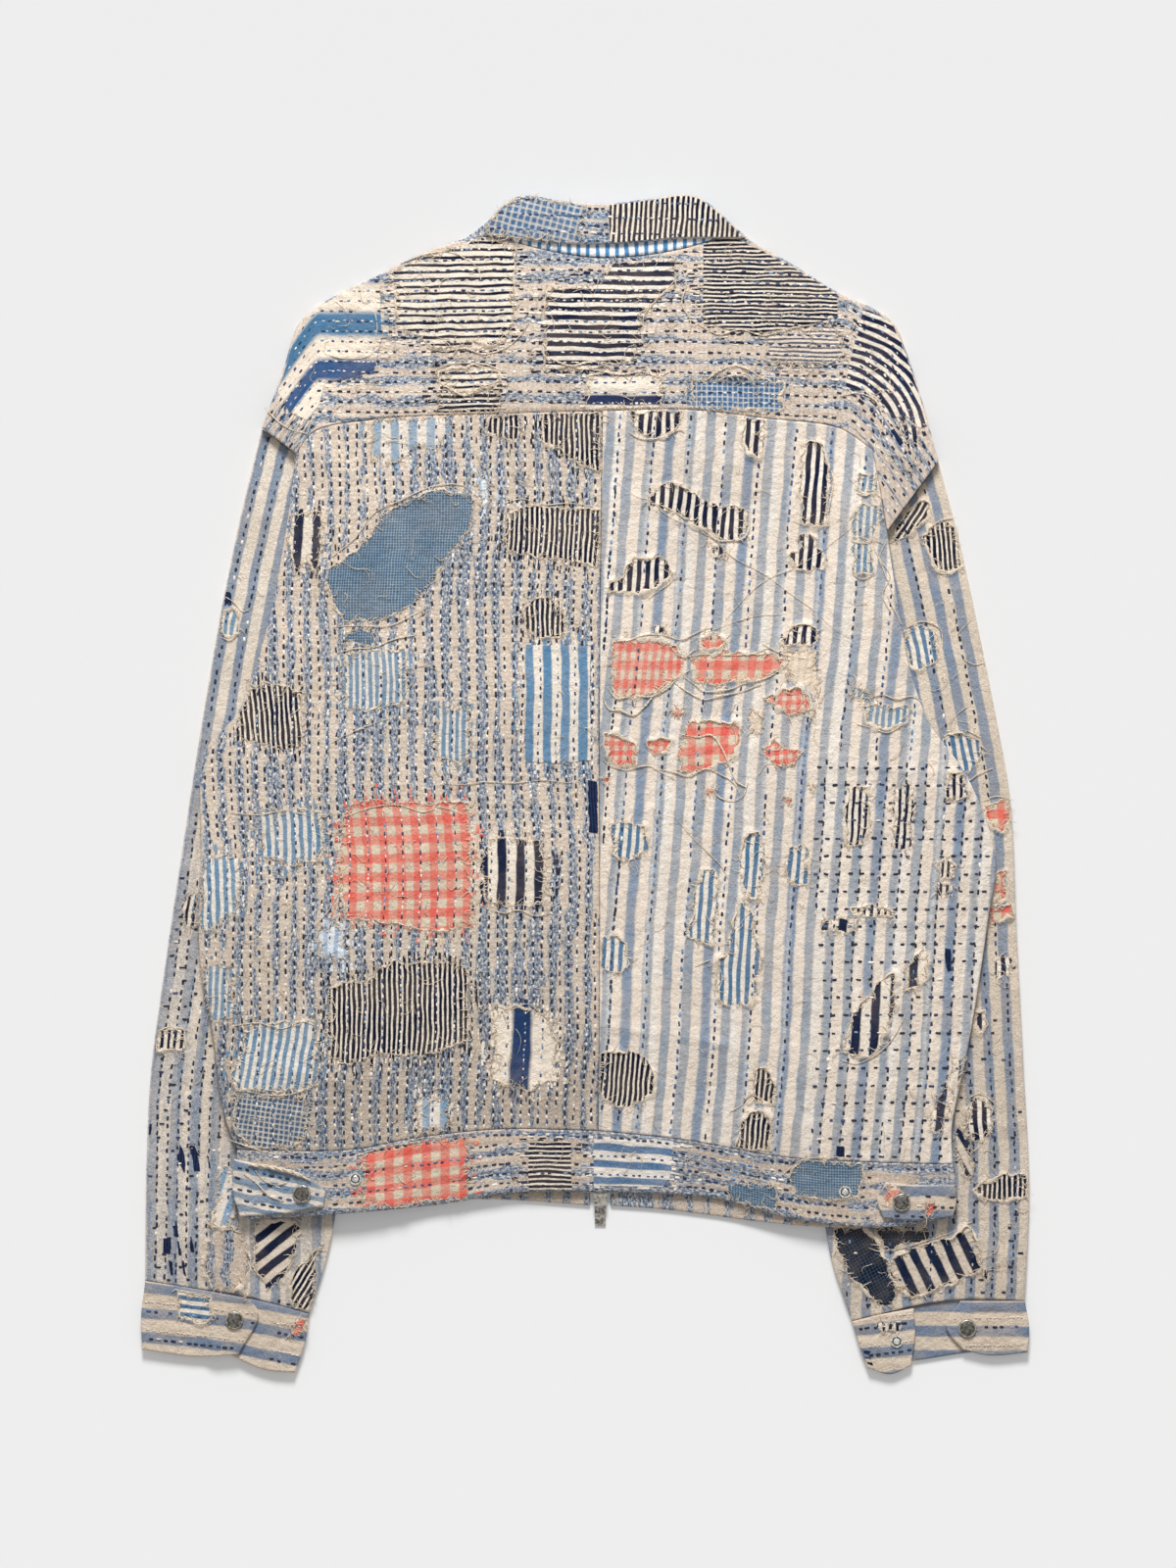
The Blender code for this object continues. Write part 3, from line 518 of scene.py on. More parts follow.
leftFlows = wavyFlow([(1.6, 52, 0), (0.9, 19, 1)])
rightFlows = wavyFlow([(1.2, 61, 2), (0.5, 23, 0)], 0.078)


# Rows on the yoke turn down over both shoulders, by fall * d^2 / (d + soft) at d past the turn,
# and lean a little beyond leanFrom
yokeLook = dict(
    left=dict(turn=184, fall=1.5, soft=5), right=dict(turn=180, fall=1.75, soft=24),
    leanFrom=60, lean=0.03, wave=0.4, waveRun=26,
)


def turnDown(x, turn, fall, soft):
    past = np.maximum(x - turn, 0)
    return fall * past**2 / (past + soft)


def yokeDrop(x):
    lean = yokeLook["lean"] * np.maximum(x - yokeLook["leanFrom"], 0)
    lean = lean + yokeLook["wave"] * np.sin(x / yokeLook["waveRun"])
    return turnDown(-x, **yokeLook["left"]) + turnDown(x, **yokeLook["right"]) + lean


def yokeFlow(x, y):
    return y + yokeDrop(x), x


def yokePlace(across, along):
    return along, across - yokeDrop(along)


hemLine = denseLine(bandHem)
bandTopLine = joined(bandSeamLeft, bandSeamRight)
bandWidth = 46.0


def bandEdges(x):
    return np.interp(x, hemLine[:, 0], hemLine[:, 1]), np.interp(x, bandTopLine[:, 0], bandTopLine[:, 1])


def bandFlow(x, y):
    low, high = bandEdges(x)
    return (y - low) / (high - low) * bandWidth, x


def bandPlace(across, along):
    low, high = bandEdges(along)
    return along, low + across / bandWidth * (high - low)


# A sleeve's rows keep their distance from its outer fold
def foldedFlow(outer):
    line = denseLine(outer)[::-1]

    def fold(y):
        return np.interp(y, line[:, 1], line[:, 0])

    def flow(x, y):
        return x - fold(y), y

    def place(across, along):
        return across + fold(along), along

    return flow, place


def plainFlow(x, y):
    return x, y


# Rows turned by an angle, for cuffs, tabs and collar
def turnedFlow(degrees, upright=False):
    c, s = np.cos(np.radians(degrees)), np.sin(np.radians(degrees))

    def flow(x, y):
        level, climb = c * x + s * y, c * y - s * x
        return (level, climb) if upright else (climb, level)

    def place(across, along):
        level, climb = (across, along) if upright else (along, across)
        return c * level - s * climb, s * level + c * climb

    return flow, place


# Puckers between rows of stitches: -cos across the rows, weaker between stitches by dip, and
# uneven over size millimetres
puckerLook = dict(dip=0.3, least=0.65, most=0.55, size=23)


def puckers(flow, row, pitch, depth, seed):
    def height(x, y):
        across, along = flow(x, y)
        stitch = 1 - puckerLook["dip"] + puckerLook["dip"] * np.cos(2 * np.pi * along / pitch)
        wave = -np.cos(2 * np.pi * across / row) * stitch
        uneven = puckerLook["least"] + puckerLook["most"] * unevenness(x, y, puckerLook["size"], seed)
        return depth * wave * uneven

    return height


# Meshes


# A mesh from points in millimetres of the solids' table, with a UV map in millimetres unless uv
# is None. faces is a list of arrays, each with one row of corners for each face. Edges that turn
# by more than sharp degrees stay sharp.
def addPiece(name, points, faces, uv, materials, slots=None, sharp=60):
    place = np.array(points, float)
    place[:, :2] += shift
    mesh = bpy.data.meshes.new(name)
    mesh.from_pydata((place * mm).tolist(), [], [face for some in faces for face in some.tolist()])
    if uv is not None:
        corners = np.empty(len(mesh.loops), dtype=np.int32)
        mesh.loops.foreach_get("vertex_index", corners)
        layer = mesh.uv_layers.new(name="Cloth")
        layer.data.foreach_set("uv", np.asarray(uv, float)[corners].ravel())
    for material in materials:
        mesh.materials.append(material)
    if slots is not None:
        mesh.polygons.foreach_set("material_index", np.asarray(slots, dtype=np.int32))
    mesh.shade_smooth()
    mesh.set_sharp_from_angle(angle=np.radians(sharp))
    mesh.update()
    piece = bpy.data.objects.new(name, mesh)
    bpy.context.scene.collection.objects.link(piece)
    return piece


# What lies on a grid's border, once round from its first corner
def borderOf(grid):
    return np.concatenate([grid[0], grid[1:, -1], grid[-1, -2::-1], grid[-2:0:-1, 0]])


# A shell of cloth on a grid: a fine upper face, a coarser lower face that takes every few
# rows and columns, and a rim between them
def clothShell(name, grid, under, top, uv, materials, coarse):
    rows, columns = grid.shape[:2]
    x, y = grid[..., 0], grid[..., 1]
    pickRows = np.unique(np.append(np.arange(0, rows, coarse), rows - 1))
    pickColumns = np.unique(np.append(np.arange(0, columns, coarse), columns - 1))
    lowX, lowY = x[np.ix_(pickRows, pickColumns)], y[np.ix_(pickRows, pickColumns)]
    upper = np.stack([x, y, top(x, y)], axis=-1)
    turn = edgeRound - np.minimum(edgeDistance(grid), edgeRound)
    upper[..., 2] -= edgeRound - np.sqrt(np.maximum(edgeRound**2 - turn**2, 0))
    lower = np.stack([lowX, lowY, under(lowX, lowY)], axis=-1)
    index = np.arange(rows * columns).reshape(rows, columns)
    low = rows * columns + np.arange(lowX.size).reshape(lowX.shape)
    faces = np.stack([index[:-1, :-1], index[1:, :-1], index[1:, 1:], index[:-1, 1:]], axis=-1)
    back = np.stack([low[:-1, :-1], low[:-1, 1:], low[1:, 1:], low[1:, :-1]], axis=-1)
    rim, lowRim = borderOf(index), borderOf(low)
    stops = np.concatenate([
        pickColumns,
        columns - 1 + pickRows[1:],
        columns + rows - 2 + (columns - 1 - pickColumns[-2::-1]),
        2 * columns + rows - 3 + (rows - 1 - pickRows[-2:0:-1]),
    ])
    near = np.searchsorted(stops, np.arange(len(rim)), side="right") - 1
    wall = np.stack([lowRim[near], rim, np.roll(rim, -1)], axis=1)
    ends = np.append(stops[1:], len(rim)) % len(rim)
    foot = np.stack([lowRim, rim[ends], np.roll(lowRim, -1)], axis=1)
    points = np.vstack([upper.reshape(-1, 3), lower.reshape(-1, 3)])
    flat = np.stack(uv(points[:, 0], points[:, 1]), axis=1)
    every = [faces.reshape(-1, 4), back.reshape(-1, 4), wall, foot]
    return addPiece(name, points, every, flat, materials)


# Tubes along many paths at once. paths is (tubes, points, 3), radii (tubes, points). The ring
# at each point is centre + radius * (cos(turn) * sideways + sin(turn) * up).
def tubes(paths, radii, sides):
    count, length = paths.shape[:2]
    ahead = np.gradient(paths, axis=1)
    ahead /= np.maximum(np.linalg.norm(ahead, axis=2, keepdims=True), 1e-9)
    sideways = np.cross(ahead, [0.0, 0.0, 1.0])
    sideways /= np.maximum(np.linalg.norm(sideways, axis=2, keepdims=True), 1e-6)
    up = np.cross(sideways, ahead)
    turn = 2 * np.pi * np.arange(sides) / sides + np.pi / 2
    ring = np.cos(turn)[:, None] * sideways[:, :, None] + np.sin(turn)[:, None] * up[:, :, None]
    points = (paths[:, :, None] + radii[:, :, None, None] * ring).reshape(-1, 3)
    index = np.arange(count * length * sides).reshape(count, length, sides)
    here, after = index[:, :-1], index[:, 1:]
    wall = np.stack([here, np.roll(here, -1, axis=2), np.roll(after, -1, axis=2), after], axis=-1)
    return points, [wall.reshape(-1, 4), index[:, 0, ::-1], index[:, -1, :]]


# Joins several parts into one piece. slot is the part's place in the piece's own materials.
class Gathered:
    def __init__(self):
        self.points, self.faces, self.uv, self.slots = [], [], [], []
        self.count = 0

    def add(self, points, faces, uv, slot=0):
        self.faces += [some + self.count for some in faces]
        self.slots += [np.full(len(some), slot) for some in faces]
        self.points.append(points)
        self.uv.append(uv)
        self.count += len(points)

    def make(self, name, materials):
        points, uv, slots = np.vstack(self.points), np.vstack(self.uv), np.concatenate(self.slots)
        return addPiece(name, points, self.faces, uv, materials, slots)


# Cloths and finishes


def hexColour(text):
    share = np.array([int(text[k : k + 2], 16) for k in (1, 3, 5)]) / 255
    linear = np.where(share <= 0.04045, share / 12.92, ((share + 0.055) / 1.055) ** 2.4)
    return (*[float(c) for c in linear], 1.0)


# A new node. inputs are sockets to join to or plain values, by name or number.
def addNode(tree, kind, inputs=None, **settings):
    node = tree.nodes.new(kind)
    for key, value in settings.items():
        setattr(node, key, value)
    for key, value in (inputs or {}).items():
        if isinstance(value, bpy.types.NodeSocket):
            tree.links.new(value, node.inputs[key])
        else:
            node.inputs[key].default_value = value
    return node


def calc(tree, operation, *values, clamp=False):
    node = addNode(tree, "ShaderNodeMath", dict(enumerate(values)), operation=operation, use_clamp=clamp)
    return node.outputs[0]


def blendColour(tree, share, first, second):
    return addNode(tree, "ShaderNodeMix", {0: share, 6: first, 7: second}, data_type="RGBA").outputs[2]


# The same value three times over, as a colour or a vector
def greyOf(tree, value):
    return addNode(tree, "ShaderNodeCombineXYZ", {0: value, 1: value, 2: value}).outputs[0]


# A new material with some of its shader's values set; also its nodes and its shader
def newMaterial(name, values):
    material = bpy.data.materials.new(name)
    material.use_nodes = True
    shader = material.node_tree.nodes["Principled BSDF"]
    for key, value in values.items():
        shader.inputs[key].default_value = value
    return material, material.node_tree, shader


def addBump(tree, shader, height, distance, strength):
    bump = addNode(tree, "ShaderNodeBump", {"Height": height, "Distance": distance, "Strength": strength})
    tree.links.new(bump.outputs[0], shader.inputs["Normal"])


# Noise over a cloth: (hills for each millimetre across and along, detail, roughness, shift)
clothNoise = dict(
    wander=((0.09, 0.05), 1.0, 0.5, 0.0), ragged=((1.3, 1.3), 1.0, 0.5, 7.0),
    wear=((0.05, 0.028), 4.0, 0.62, 3.0), threads=((2.1, 0.55), 2.0, 0.7, 1.0),
    slubs=((0.5, 2.3), 2.0, 0.7, 5.0), stain=((0.03, 0.03), 4.0, 0.6, 11.0),
    grime=((0.022, 0.018), 4.0, 0.65, 17.0), crumple=((0.16, 0.16), 3.0, 0.6, 9.0),
    drift=((0.06, 0.011), 2.0, 0.5, 51.0), zone=((0.015, 0.01), 2.0, 0.5, 41.0),
    patchy=((0.2, 0.07), 3.0, 0.65, 61.0), white=((0.62, 0.34), 2.0, 0.62, 15.0),
    dark=((0.7, 0.36), 2.0, 0.62, 21.0), warm=((0.3, 0.13), 3.0, 0.6, 31.0),
)


def noiseAt(tree, where, kind):
    scale, detail, roughness, moved = clothNoise[kind]
    mapping = addNode(tree, "ShaderNodeMapping", {0: where, 1: (moved, moved, 0), 3: (*scale, 1)})
    inputs = {0: mapping.outputs[0], "Scale": 1.0, "Detail": detail, "Roughness": roughness}
    return addNode(tree, "ShaderNodeTexNoise", inputs, noise_dimensions="2D").outputs[0]


# Spreads a value from low..high to 0..1
def spread(tree, value, low, high):
    node = addNode(tree, "ShaderNodeMapRange", {0: value, 1: low, 2: high})
    return node.outputs[0]


# 1 on a stripe and 0 beside it: the share of the pitch around its middle, with soft edges
def stripeMask(tree, across, pitch, share, moved, soft):
    place = calc(tree, "FRACT", calc(tree, "MULTIPLY_ADD", across, 1 / pitch, moved))
    away = calc(tree, "ABSOLUTE", calc(tree, "SUBTRACT", place, 0.5))
    return spread(tree, away, share / 2 + soft, share / 2 - soft)


# A cloth with one run of stripes: ground, stripes' colour, their pitch, share and shift
def striped(ground, tint, pitch, share, moved=0.0, fade=0.0, **others):
    return dict(ground=ground, bands=[(tint, pitch, share, moved, False)], fade=fade, **others)


# A gingham: ground, stripes' colour, their (pitch, share) in both directions, strength and fade
def checked(ground, tint, level, crossing, strength, fade):
    bands = [(tint, *level, 0.0, False), (tint, *crossing, 0.0, True)]
    return dict(ground=ground, gingham=strength, fade=fade, bands=bands)


# A woven cotton. bands are (colour, pitch, share, shift, along) stripes laid over the ground one
# after the other, in millimetres; along is True for stripes across the rows, and two of them
# make a gingham. fade is how far stripes wear back to the ground, stain how far it has
# yellowed, rows the pitch of the white puckered line that follows each row of stitches, and
# mend is (columns' pitch, blueness, rose) of darning in mendColours, which mendFrom (none, full)
# brings in along the rows, to mendMost. hemDarkening is (evenAt, darkAt, most): the cloth grows
# darker along its rows from evenAt down to darkAt, by most there.
clothRecipes = dict(
    stripedCloth=dict(
        ground="#F4E5D5", fade=0.3, rows=24.5, stain=0.2,
        bands=[
            ("#98A3B0", 13.9, 0.47, 0.1, False), ("#F3ECE3", 55.6, 0.07, 0.05, False),
            ("#8799B1", 55.6, 0.11, 0.4, False),
        ],
    ),
    mendedCloth=dict(ground="#F6E5D2", bands=[], mend=(12.0, 0.5, 0.45), hemDarkening=(-70, -220, 0.25)),
    mendedYoke=dict(ground="#F3E3D3", bands=[], mend=(14.0, 0.4, 0.55)),
    mendedBand=dict(ground="#E8D6C4", bands=[], mend=(14.0, 0.5, 0.45), stain=0.3),
    leftSleeveCloth=dict(
        ground="#F6E8D7", bands=[("#8B9BB0", 14.3, 0.48, 0.1, False)], fade=0.2, stain=0.2,
        mend=(11.0, 0.4, 0.35), mendFrom=(62, 22), mendMost=0.3,
    ),
    rightSleeveCloth=dict(
        ground="#EFDFCC", bands=[("#899AB1", 14.3, 0.48, 0.1, False)], fade=0.2, stain=0.25,
        mend=(12.0, 0.4, 0.35), mendFrom=(-110, -210), mendMost=0.15,
    ),
    navySolid=striped("#1A2340", "#2C3D62", 2.1, 0.4, fade=0.6, stain=0.0),
    # The dark indigo check below is darker than the cloth it stands for: it also paints the shadow that the
    # body's hem casts over the lower right sleeve
    nightCheck=checked("#0B1424", "#3A5069", (2.3, 0.3), (2.3, 0.3), 0.6, 0.1),
    tabStripe=striped("#E6DCD0", "#6C89A6", 9.0, 0.56, 0.2, fade=0.25, stain=0.2, wander=9.0),
    cuffCloth=striped("#E3D2BF", "#72859F", 17.0, 0.44, 0.66, fade=0.2, stain=0.35),
    collarCloth=dict(ground="#DDD2C6", bands=[], mend=(9.0, 0.55, 0.3)),
    standCloth=striped("#FFFFFF", "#5A92C4", 6.7, 0.41, stain=0.0),
    pinstripe=striped("#F8ECDB", "#121730", 5.0, 0.39),
    fineStripe=striped("#F5E9D9", "#10142A", 3.5, 0.62),
    finestStripe=striped("#F5E9D9", "#10142A", 2.85, 0.6),
    wornFine=striped("#F1E2D2", "#39415C", 2.85, 0.46, fade=0.25),
    collarStripe=striped("#F5E9D9", "#10142A", 3.55, 0.57),
    thinDark=striped("#F2E6D7", "#151B33", 4.6, 0.45),
    navyStripe=striped("#F9EEDF", "#111B38", 6.2, 0.55, fade=0.01),
    navyWide=striped("#F6E9D8", "#12203F", 12.7, 0.48, 0.09, fade=0.02),
    navyShoulder=striped("#F5EADC", "#151F3E", 6.07, 0.54, 0.64, fade=0.01),
    wideNavy=striped("#F3E7D7", "#1C2F5A", 20.0, 0.34, 0.05, fade=0.02),
    deepColumn=striped("#F6E9D8", "#1F3D68", 41.0, 0.34, 0.549, fade=0.02),
    wideBlue=dict(
        ground="#F7E8D5", fade=0.03,
        bands=[("#47799F", 68.0, 0.25, 0.771, False), ("#1F4F82", 68.0, 0.23, 0.24, False)],
    ),
    blueWide=striped("#F4E9DB", "#5488B0", 12.4, 0.48, 0.42, fade=0.15),
    skyWide=striped("#F4E9DC", "#77A0C0", 12.5, 0.46, fade=0.35),
    skyNarrow=striped("#E9E2D6", "#6F91AE", 4.65, 0.58, fade=0.2),
    skyStripe=striped("#F0E8DC", "#5A89AE", 5.7, 0.52, fade=0.2),
    blueStripe=striped("#F5EBDD", "#46779F", 5.9, 0.5, fade=0.1),
    # The diagonal navy stripe below has a duller cream ground and deeper navy than its kin: painted shadow
    # of the body's hem over the lower right sleeve, shared by its small worn piece beside the body
    navyDiagonal=striped("#E3D4C2", "#12223F", 11.3, 0.53, fade=0.01, turn=-28),
    navyBars=striped("#E9DAC8", "#121F3D", 10.4, 0.56, fade=0.01, turn=52),
    skyDiagonal=striped("#F4E9DC", "#76A2C9", 12.5, 0.46, fade=0.3, turn=20),
    skyBars=striped("#F5ECE1", "#44729E", 12.6, 0.45, 0.675, fade=0.2),
    redGingham=checked("#E3D3BB", "#EE4A40", (11.3, 0.5), (12.9, 0.5), 0.68, 0.2),
    redCheck=checked("#E6D6C0", "#EE4A40", (5.9, 0.52), (12.9, 0.5), 0.62, 0.2),
    redSmall=checked("#E6D6C0", "#EE4A40", (6.1, 0.52), (6.6, 0.52), 0.66, 0.2),
    blueGingham=checked("#4C6580", "#E2D8CB", (3.5, 0.34), (3.5, 0.34), 0.75, 0.3),
    skyGingham=checked("#47709A", "#DDDAD3", (3.6, 0.3), (3.6, 0.3), 0.75, 0.25),
    skyCheck=checked("#4C7299", "#DCD6CB", (4.6, 0.36), (4.6, 0.36), 0.7, 0.2),
    indigoCheck=dict(
        ground="#416380", gingham=0.75, fade=0.3,
        bands=[("#AFBAC0", 1.9, 0.3, 0.0, False), ("#A3B3BF", 1.9, 0.3, 0.0, True)],
    ),
    paleCloth=striped("#E9EEF2", "#9DB9D6", 7.0, 0.4, fade=0.4),
    peachCloth=striped("#F2DFC8", "#E2CFBB", 5.0, 0.4, fade=0.5),
    tapeCloth=striped("#D8CAB9", "#C4B5A2", 2.2, 0.5, fade=0.2, stain=0.3),
    frayedCotton=dict(ground="#F1E3D0", bands=[("#D3BFA5", 1.1, 0.36, 0.0, True)], fade=0.2, stain=0.1),
)
# worn is the darker tan of the rungs across plain darning: painted shade between its ribs
mendColours = dict(white="#F9F3EA", rose="#E9CBB4", blue="#768EAA", deep="#243D63", worn="#B9A48C")
stainColour = "#CDB69C"
cottonLook = {"Roughness": 0.92, "Specular IOR Level": 0.08, "Sheen Weight": 0.03, "Sheen Roughness": 0.5}
# wander and ragged move the stripes' edges by so many millimetres. worn and stained are the
# ranges of noise that become 0 to 1, halo the (share, shift, softness) of the white line along a
# row. A plain cloth's and a mended one's threads show by weave and stand up by rough.
clothLook = dict(
    wander=2.2, ragged=0.5, wear=0.6, worn=(0.36, 0.62), stained=(0.42, 0.72), stain=0.12,
    halo=(0.11, 0.5, 0.05), haloSlubs=(1.1, -0.15), mendRun=2.2, darkeningRun=90.0, grime=0.3, level=0.93,
    slubs=0.08, plain=dict(weave=0.5, rough=0.4), mended=dict(weave=0.8, rough=0.7), crumple=1.8,
    bump=(0.0012, 0.85),
)


def overlaid(tree, share, colour, mending):
    return blendColour(tree, share, colour, hexColour(mendColours[mending]))


def clothMaterial(name):
    recipe = clothRecipes[name]
    mend = recipe.get("mend")
    material, tree, shader = newMaterial(name, cottonLook)
    where = addNode(tree, "ShaderNodeUVMap", uv_map="Cloth").outputs[0]
    if "turn" in recipe:
        turned = addNode(tree, "ShaderNodeMapping", {0: where, 2: (0, 0, np.radians(recipe["turn"]))})
        where = turned.outputs[0]
    split = addNode(tree, "ShaderNodeSeparateXYZ", {0: where})
    # the weave wanders a little, and so do the stripes' edges
    wander = noiseAt(tree, where, "wander")
    ragged = noiseAt(tree, where, "ragged")
    across = calc(tree, "MULTIPLY_ADD", wander, recipe.get("wander", clothLook["wander"]), split.outputs[0])
    across = calc(tree, "MULTIPLY_ADD", ragged, clothLook["ragged"], across)
    along = calc(tree, "MULTIPLY_ADD", ragged, clothLook["ragged"], split.outputs[1])
    wear = noiseAt(tree, where, "wear")
    threads = noiseAt(tree, where, "threads")
    slubs = noiseAt(tree, where, "slubs")
    worn = calc(tree, "MULTIPLY", threads, 1 - clothLook["wear"])
    worn = spread(tree, calc(tree, "MULTIPLY_ADD", wear, clothLook["wear"], worn), *clothLook["worn"])
    colour = hexColour(recipe["ground"])
    strength = recipe.get("gingham", 1.0)
    for tint, pitch, share, moved, crossing in recipe["bands"]:
        mask = stripeMask(tree, along if crossing else across, pitch, share, moved, 0.03 + 0.1 / pitch)
        kept = calc(tree, "MULTIPLY_ADD", worn, -recipe["fade"], strength)
        colour = blendColour(tree, calc(tree, "MULTIPLY", mask, kept), colour, hexColour(tint))
    if mend:
        darning = darned(tree, hexColour(recipe["ground"]), where, across, along, mend)
        if "mendFrom" in recipe:
            none, full = recipe["mendFrom"]
            run = (none - full) * clothLook["mendRun"]
            reach = calc(tree, "MULTIPLY_ADD", wear, run, along)
            reach = spread(tree, reach, none + run / 2, full + run / 2)
            darning = blendColour(tree, calc(tree, "MULTIPLY", reach, recipe["mendMost"]), colour, darning)
        colour = darning
    if "rows" in recipe:
        halo = stripeMask(tree, across, recipe["rows"], *clothLook["halo"])
        shown = calc(tree, "MULTIPLY_ADD", slubs, *clothLook["haloSlubs"], clamp=True)
        halo = calc(tree, "MULTIPLY", halo, shown)
        colour = overlaid(tree, halo, colour, "white")
    stained = spread(tree, noiseAt(tree, where, "stain"), *clothLook["stained"])
    stained = calc(tree, "MULTIPLY", stained, recipe.get("stain", clothLook["stain"]))
    colour = blendColour(tree, stained, colour, hexColour(stainColour))
    grime = noiseAt(tree, where, "grime")
    surface = clothLook["mended" if mend else "plain"]
    weave = surface["weave"]
    shade = calc(tree, "MULTIPLY_ADD", slubs, weave - clothLook["slubs"], clothLook["level"] - weave)
    shade = calc(tree, "MULTIPLY_ADD", threads, weave, shade)
    shade = calc(tree, "MULTIPLY_ADD", grime, clothLook["grime"], shade)
    # the cloth grows darker down its rows towards the hem
    if "hemDarkening" in recipe:
        evenAt, darkAt, most = recipe["hemDarkening"]
        run = clothLook["darkeningRun"]
        hemDarkening = calc(tree, "MULTIPLY_ADD", wear, run, split.outputs[1])
        hemDarkening = spread(tree, hemDarkening, evenAt + run / 2, darkAt + run / 2)
        shade = calc(tree, "SUBTRACT", shade, calc(tree, "MULTIPLY", hemDarkening, most))
    inputs = {0: colour, 1: greyOf(tree, shade)}
    shaded = addNode(tree, "ShaderNodeVectorMath", inputs, operation="MULTIPLY")
    tree.links.new(shaded.outputs[0], shader.inputs["Base Color"])
    crumple = noiseAt(tree, where, "crumple")
    height = calc(tree, "MULTIPLY", slubs, surface["rough"])
    height = calc(tree, "MULTIPLY_ADD", threads, surface["rough"], height)
    height = calc(tree, "MULTIPLY_ADD", crumple, clothLook["crumple"], height)
    addBump(tree, shader, height, *clothLook["bump"])
    return material


# Darning: blue columns flecked with white and deep blue, between plain ones with a few rose
# flecks. A column is blue where its width exceeds the distance from its middle, and
# the width drifts, so that the columns' edges are ragged. Rungs of stitching cross them all: pale
# over the blue columns, and over the plain ones a darker tan, which is painted shade between the
# cloth's ribs.
darnLook = dict(
    drift=0.6, zone=0.75, patchy=0.75, white=0.3, edge=(-0.05, 0.04), rosy=(0.42, 0.62), rungDrift=3.0,
    rung=(3.3, 0.34, 0.0, 0.1), rungShade=0.34, blue=0.9, whites=(0.5, 0.6), rungWhite=0.25,
    whiteShares=(0.55, 0.2), darks=(0.54, 0.62), darkShares=(0.75, 0.06),
)


def darned(tree, colour, where, across, along, mend):
    pitch, blueness, rose = mend
    kinds = ("drift", "zone", "patchy", "white", "dark", "warm")
    drift, zone, patchy, white, dark, warm = [noiseAt(tree, where, kind) for kind in kinds]
    moved = calc(tree, "MULTIPLY", drift, darnLook["drift"])
    place = calc(tree, "FRACT", calc(tree, "MULTIPLY_ADD", across, 1 / pitch, moved))
    away = calc(tree, "ABSOLUTE", calc(tree, "SUBTRACT", place, 0.5))
    # each noise is about a half, and half of its share is taken off again
    width = calc(tree, "MULTIPLY_ADD", zone, darnLook["zone"], (blueness - darnLook["zone"]) / 2)
    for noise, share in ((patchy, darnLook["patchy"]), (white, darnLook["white"])):
        width = calc(tree, "MULTIPLY_ADD", noise, share, calc(tree, "SUBTRACT", width, share / 2))
    blue = spread(tree, calc(tree, "SUBTRACT", width, away), *darnLook["edge"])
    rosy = calc(tree, "MULTIPLY", spread(tree, warm, *darnLook["rosy"]), rose)
    colour = overlaid(tree, rosy, colour, "rose")
    # rungs of stitching: on the plain columns darkened to the worn tan as painted shade between ribs, and
    # flecked pale
    rung = calc(tree, "MULTIPLY_ADD", white, darnLook["rungDrift"], along)
    rung = stripeMask(tree, rung, *darnLook["rung"])
    rungShade = calc(tree, "MULTIPLY_ADD", blue, -darnLook["rungShade"], darnLook["rungShade"])
    colour = overlaid(tree, calc(tree, "MULTIPLY", rung, rungShade), colour, "worn")
    colour = overlaid(tree, calc(tree, "MULTIPLY", blue, darnLook["blue"]), colour, "blue")
    flecked = spread(tree, white, *darnLook["whites"])
    flecked = calc(tree, "MULTIPLY_ADD", rung, darnLook["rungWhite"], flecked, clamp=True)
    flecked = calc(tree, "MULTIPLY", flecked, calc(tree, "MULTIPLY_ADD", blue, *darnLook["whiteShares"]))
    colour = overlaid(tree, flecked, colour, "white")
    flecks = spread(tree, dark, *darnLook["darks"])
    flecks = calc(tree, "MULTIPLY", flecks, calc(tree, "MULTIPLY_ADD", blue, *darnLook["darkShares"]))
    return overlaid(tree, flecks, colour, "deep")


metalLook = dict(darker=(0.4, 0.62), rougher=0.3, scratch=0.0003)


# Metal with a plain worn finish: darker in its hollows, and a little scratched
def metalMaterial(name, colour, dark, roughness, grain, dents):
    material, tree, shader = newMaterial(name, {"Metallic": 1.0})
    where = addNode(tree, "ShaderNodeTexCoord").outputs["Object"]
    noise = {"Vector": where, "Scale": grain, "Detail": 4.0}
    patina = addNode(tree, "ShaderNodeTexNoise", noise).outputs[0]
    darker = spread(tree, patina, *metalLook["darker"])
    tint = blendColour(tree, darker, hexColour(colour), hexColour(dark))
    tree.links.new(tint, shader.inputs["Base Color"])
    rough = calc(tree, "MULTIPLY_ADD", patina, metalLook["rougher"], roughness)
    tree.links.new(rough, shader.inputs["Roughness"])
    addBump(tree, shader, patina, metalLook["scratch"], dents)
    return material


threadLook = dict(
    values={"Roughness": 0.8, "Specular IOR Level": 0.3, "Sheen Weight": 0.1}, grain=1400.0,
    paler=(0.3, 0.8), pale="#8A93A8", share=0.15, bump=(0.0003, 0.4),
)


# Sewing thread in the colour that each stitch carries
def threadMaterial():
    material, tree, shader = newMaterial("sewingThread", threadLook["values"])
    colour = addNode(tree, "ShaderNodeAttribute", attribute_name="Thread").outputs[0]
    where = addNode(tree, "ShaderNodeTexCoord").outputs["Object"]
    noise = {"Vector": where, "Scale": threadLook["grain"], "Detail": 1.0}
    twist = addNode(tree, "ShaderNodeTexNoise", noise).outputs[0]
    paler = spread(tree, twist, *threadLook["paler"])
    shade = blendColour(tree, paler, colour, hexColour(threadLook["pale"]))
    tree.links.new(blendColour(tree, threadLook["share"], colour, shade), shader.inputs["Base Color"])
    addBump(tree, shader, twist, *threadLook["bump"])
    return material


cloths = {name: clothMaterial(name) for name in clothRecipes}
thread = threadMaterial()
print("cloths made:", len(cloths))


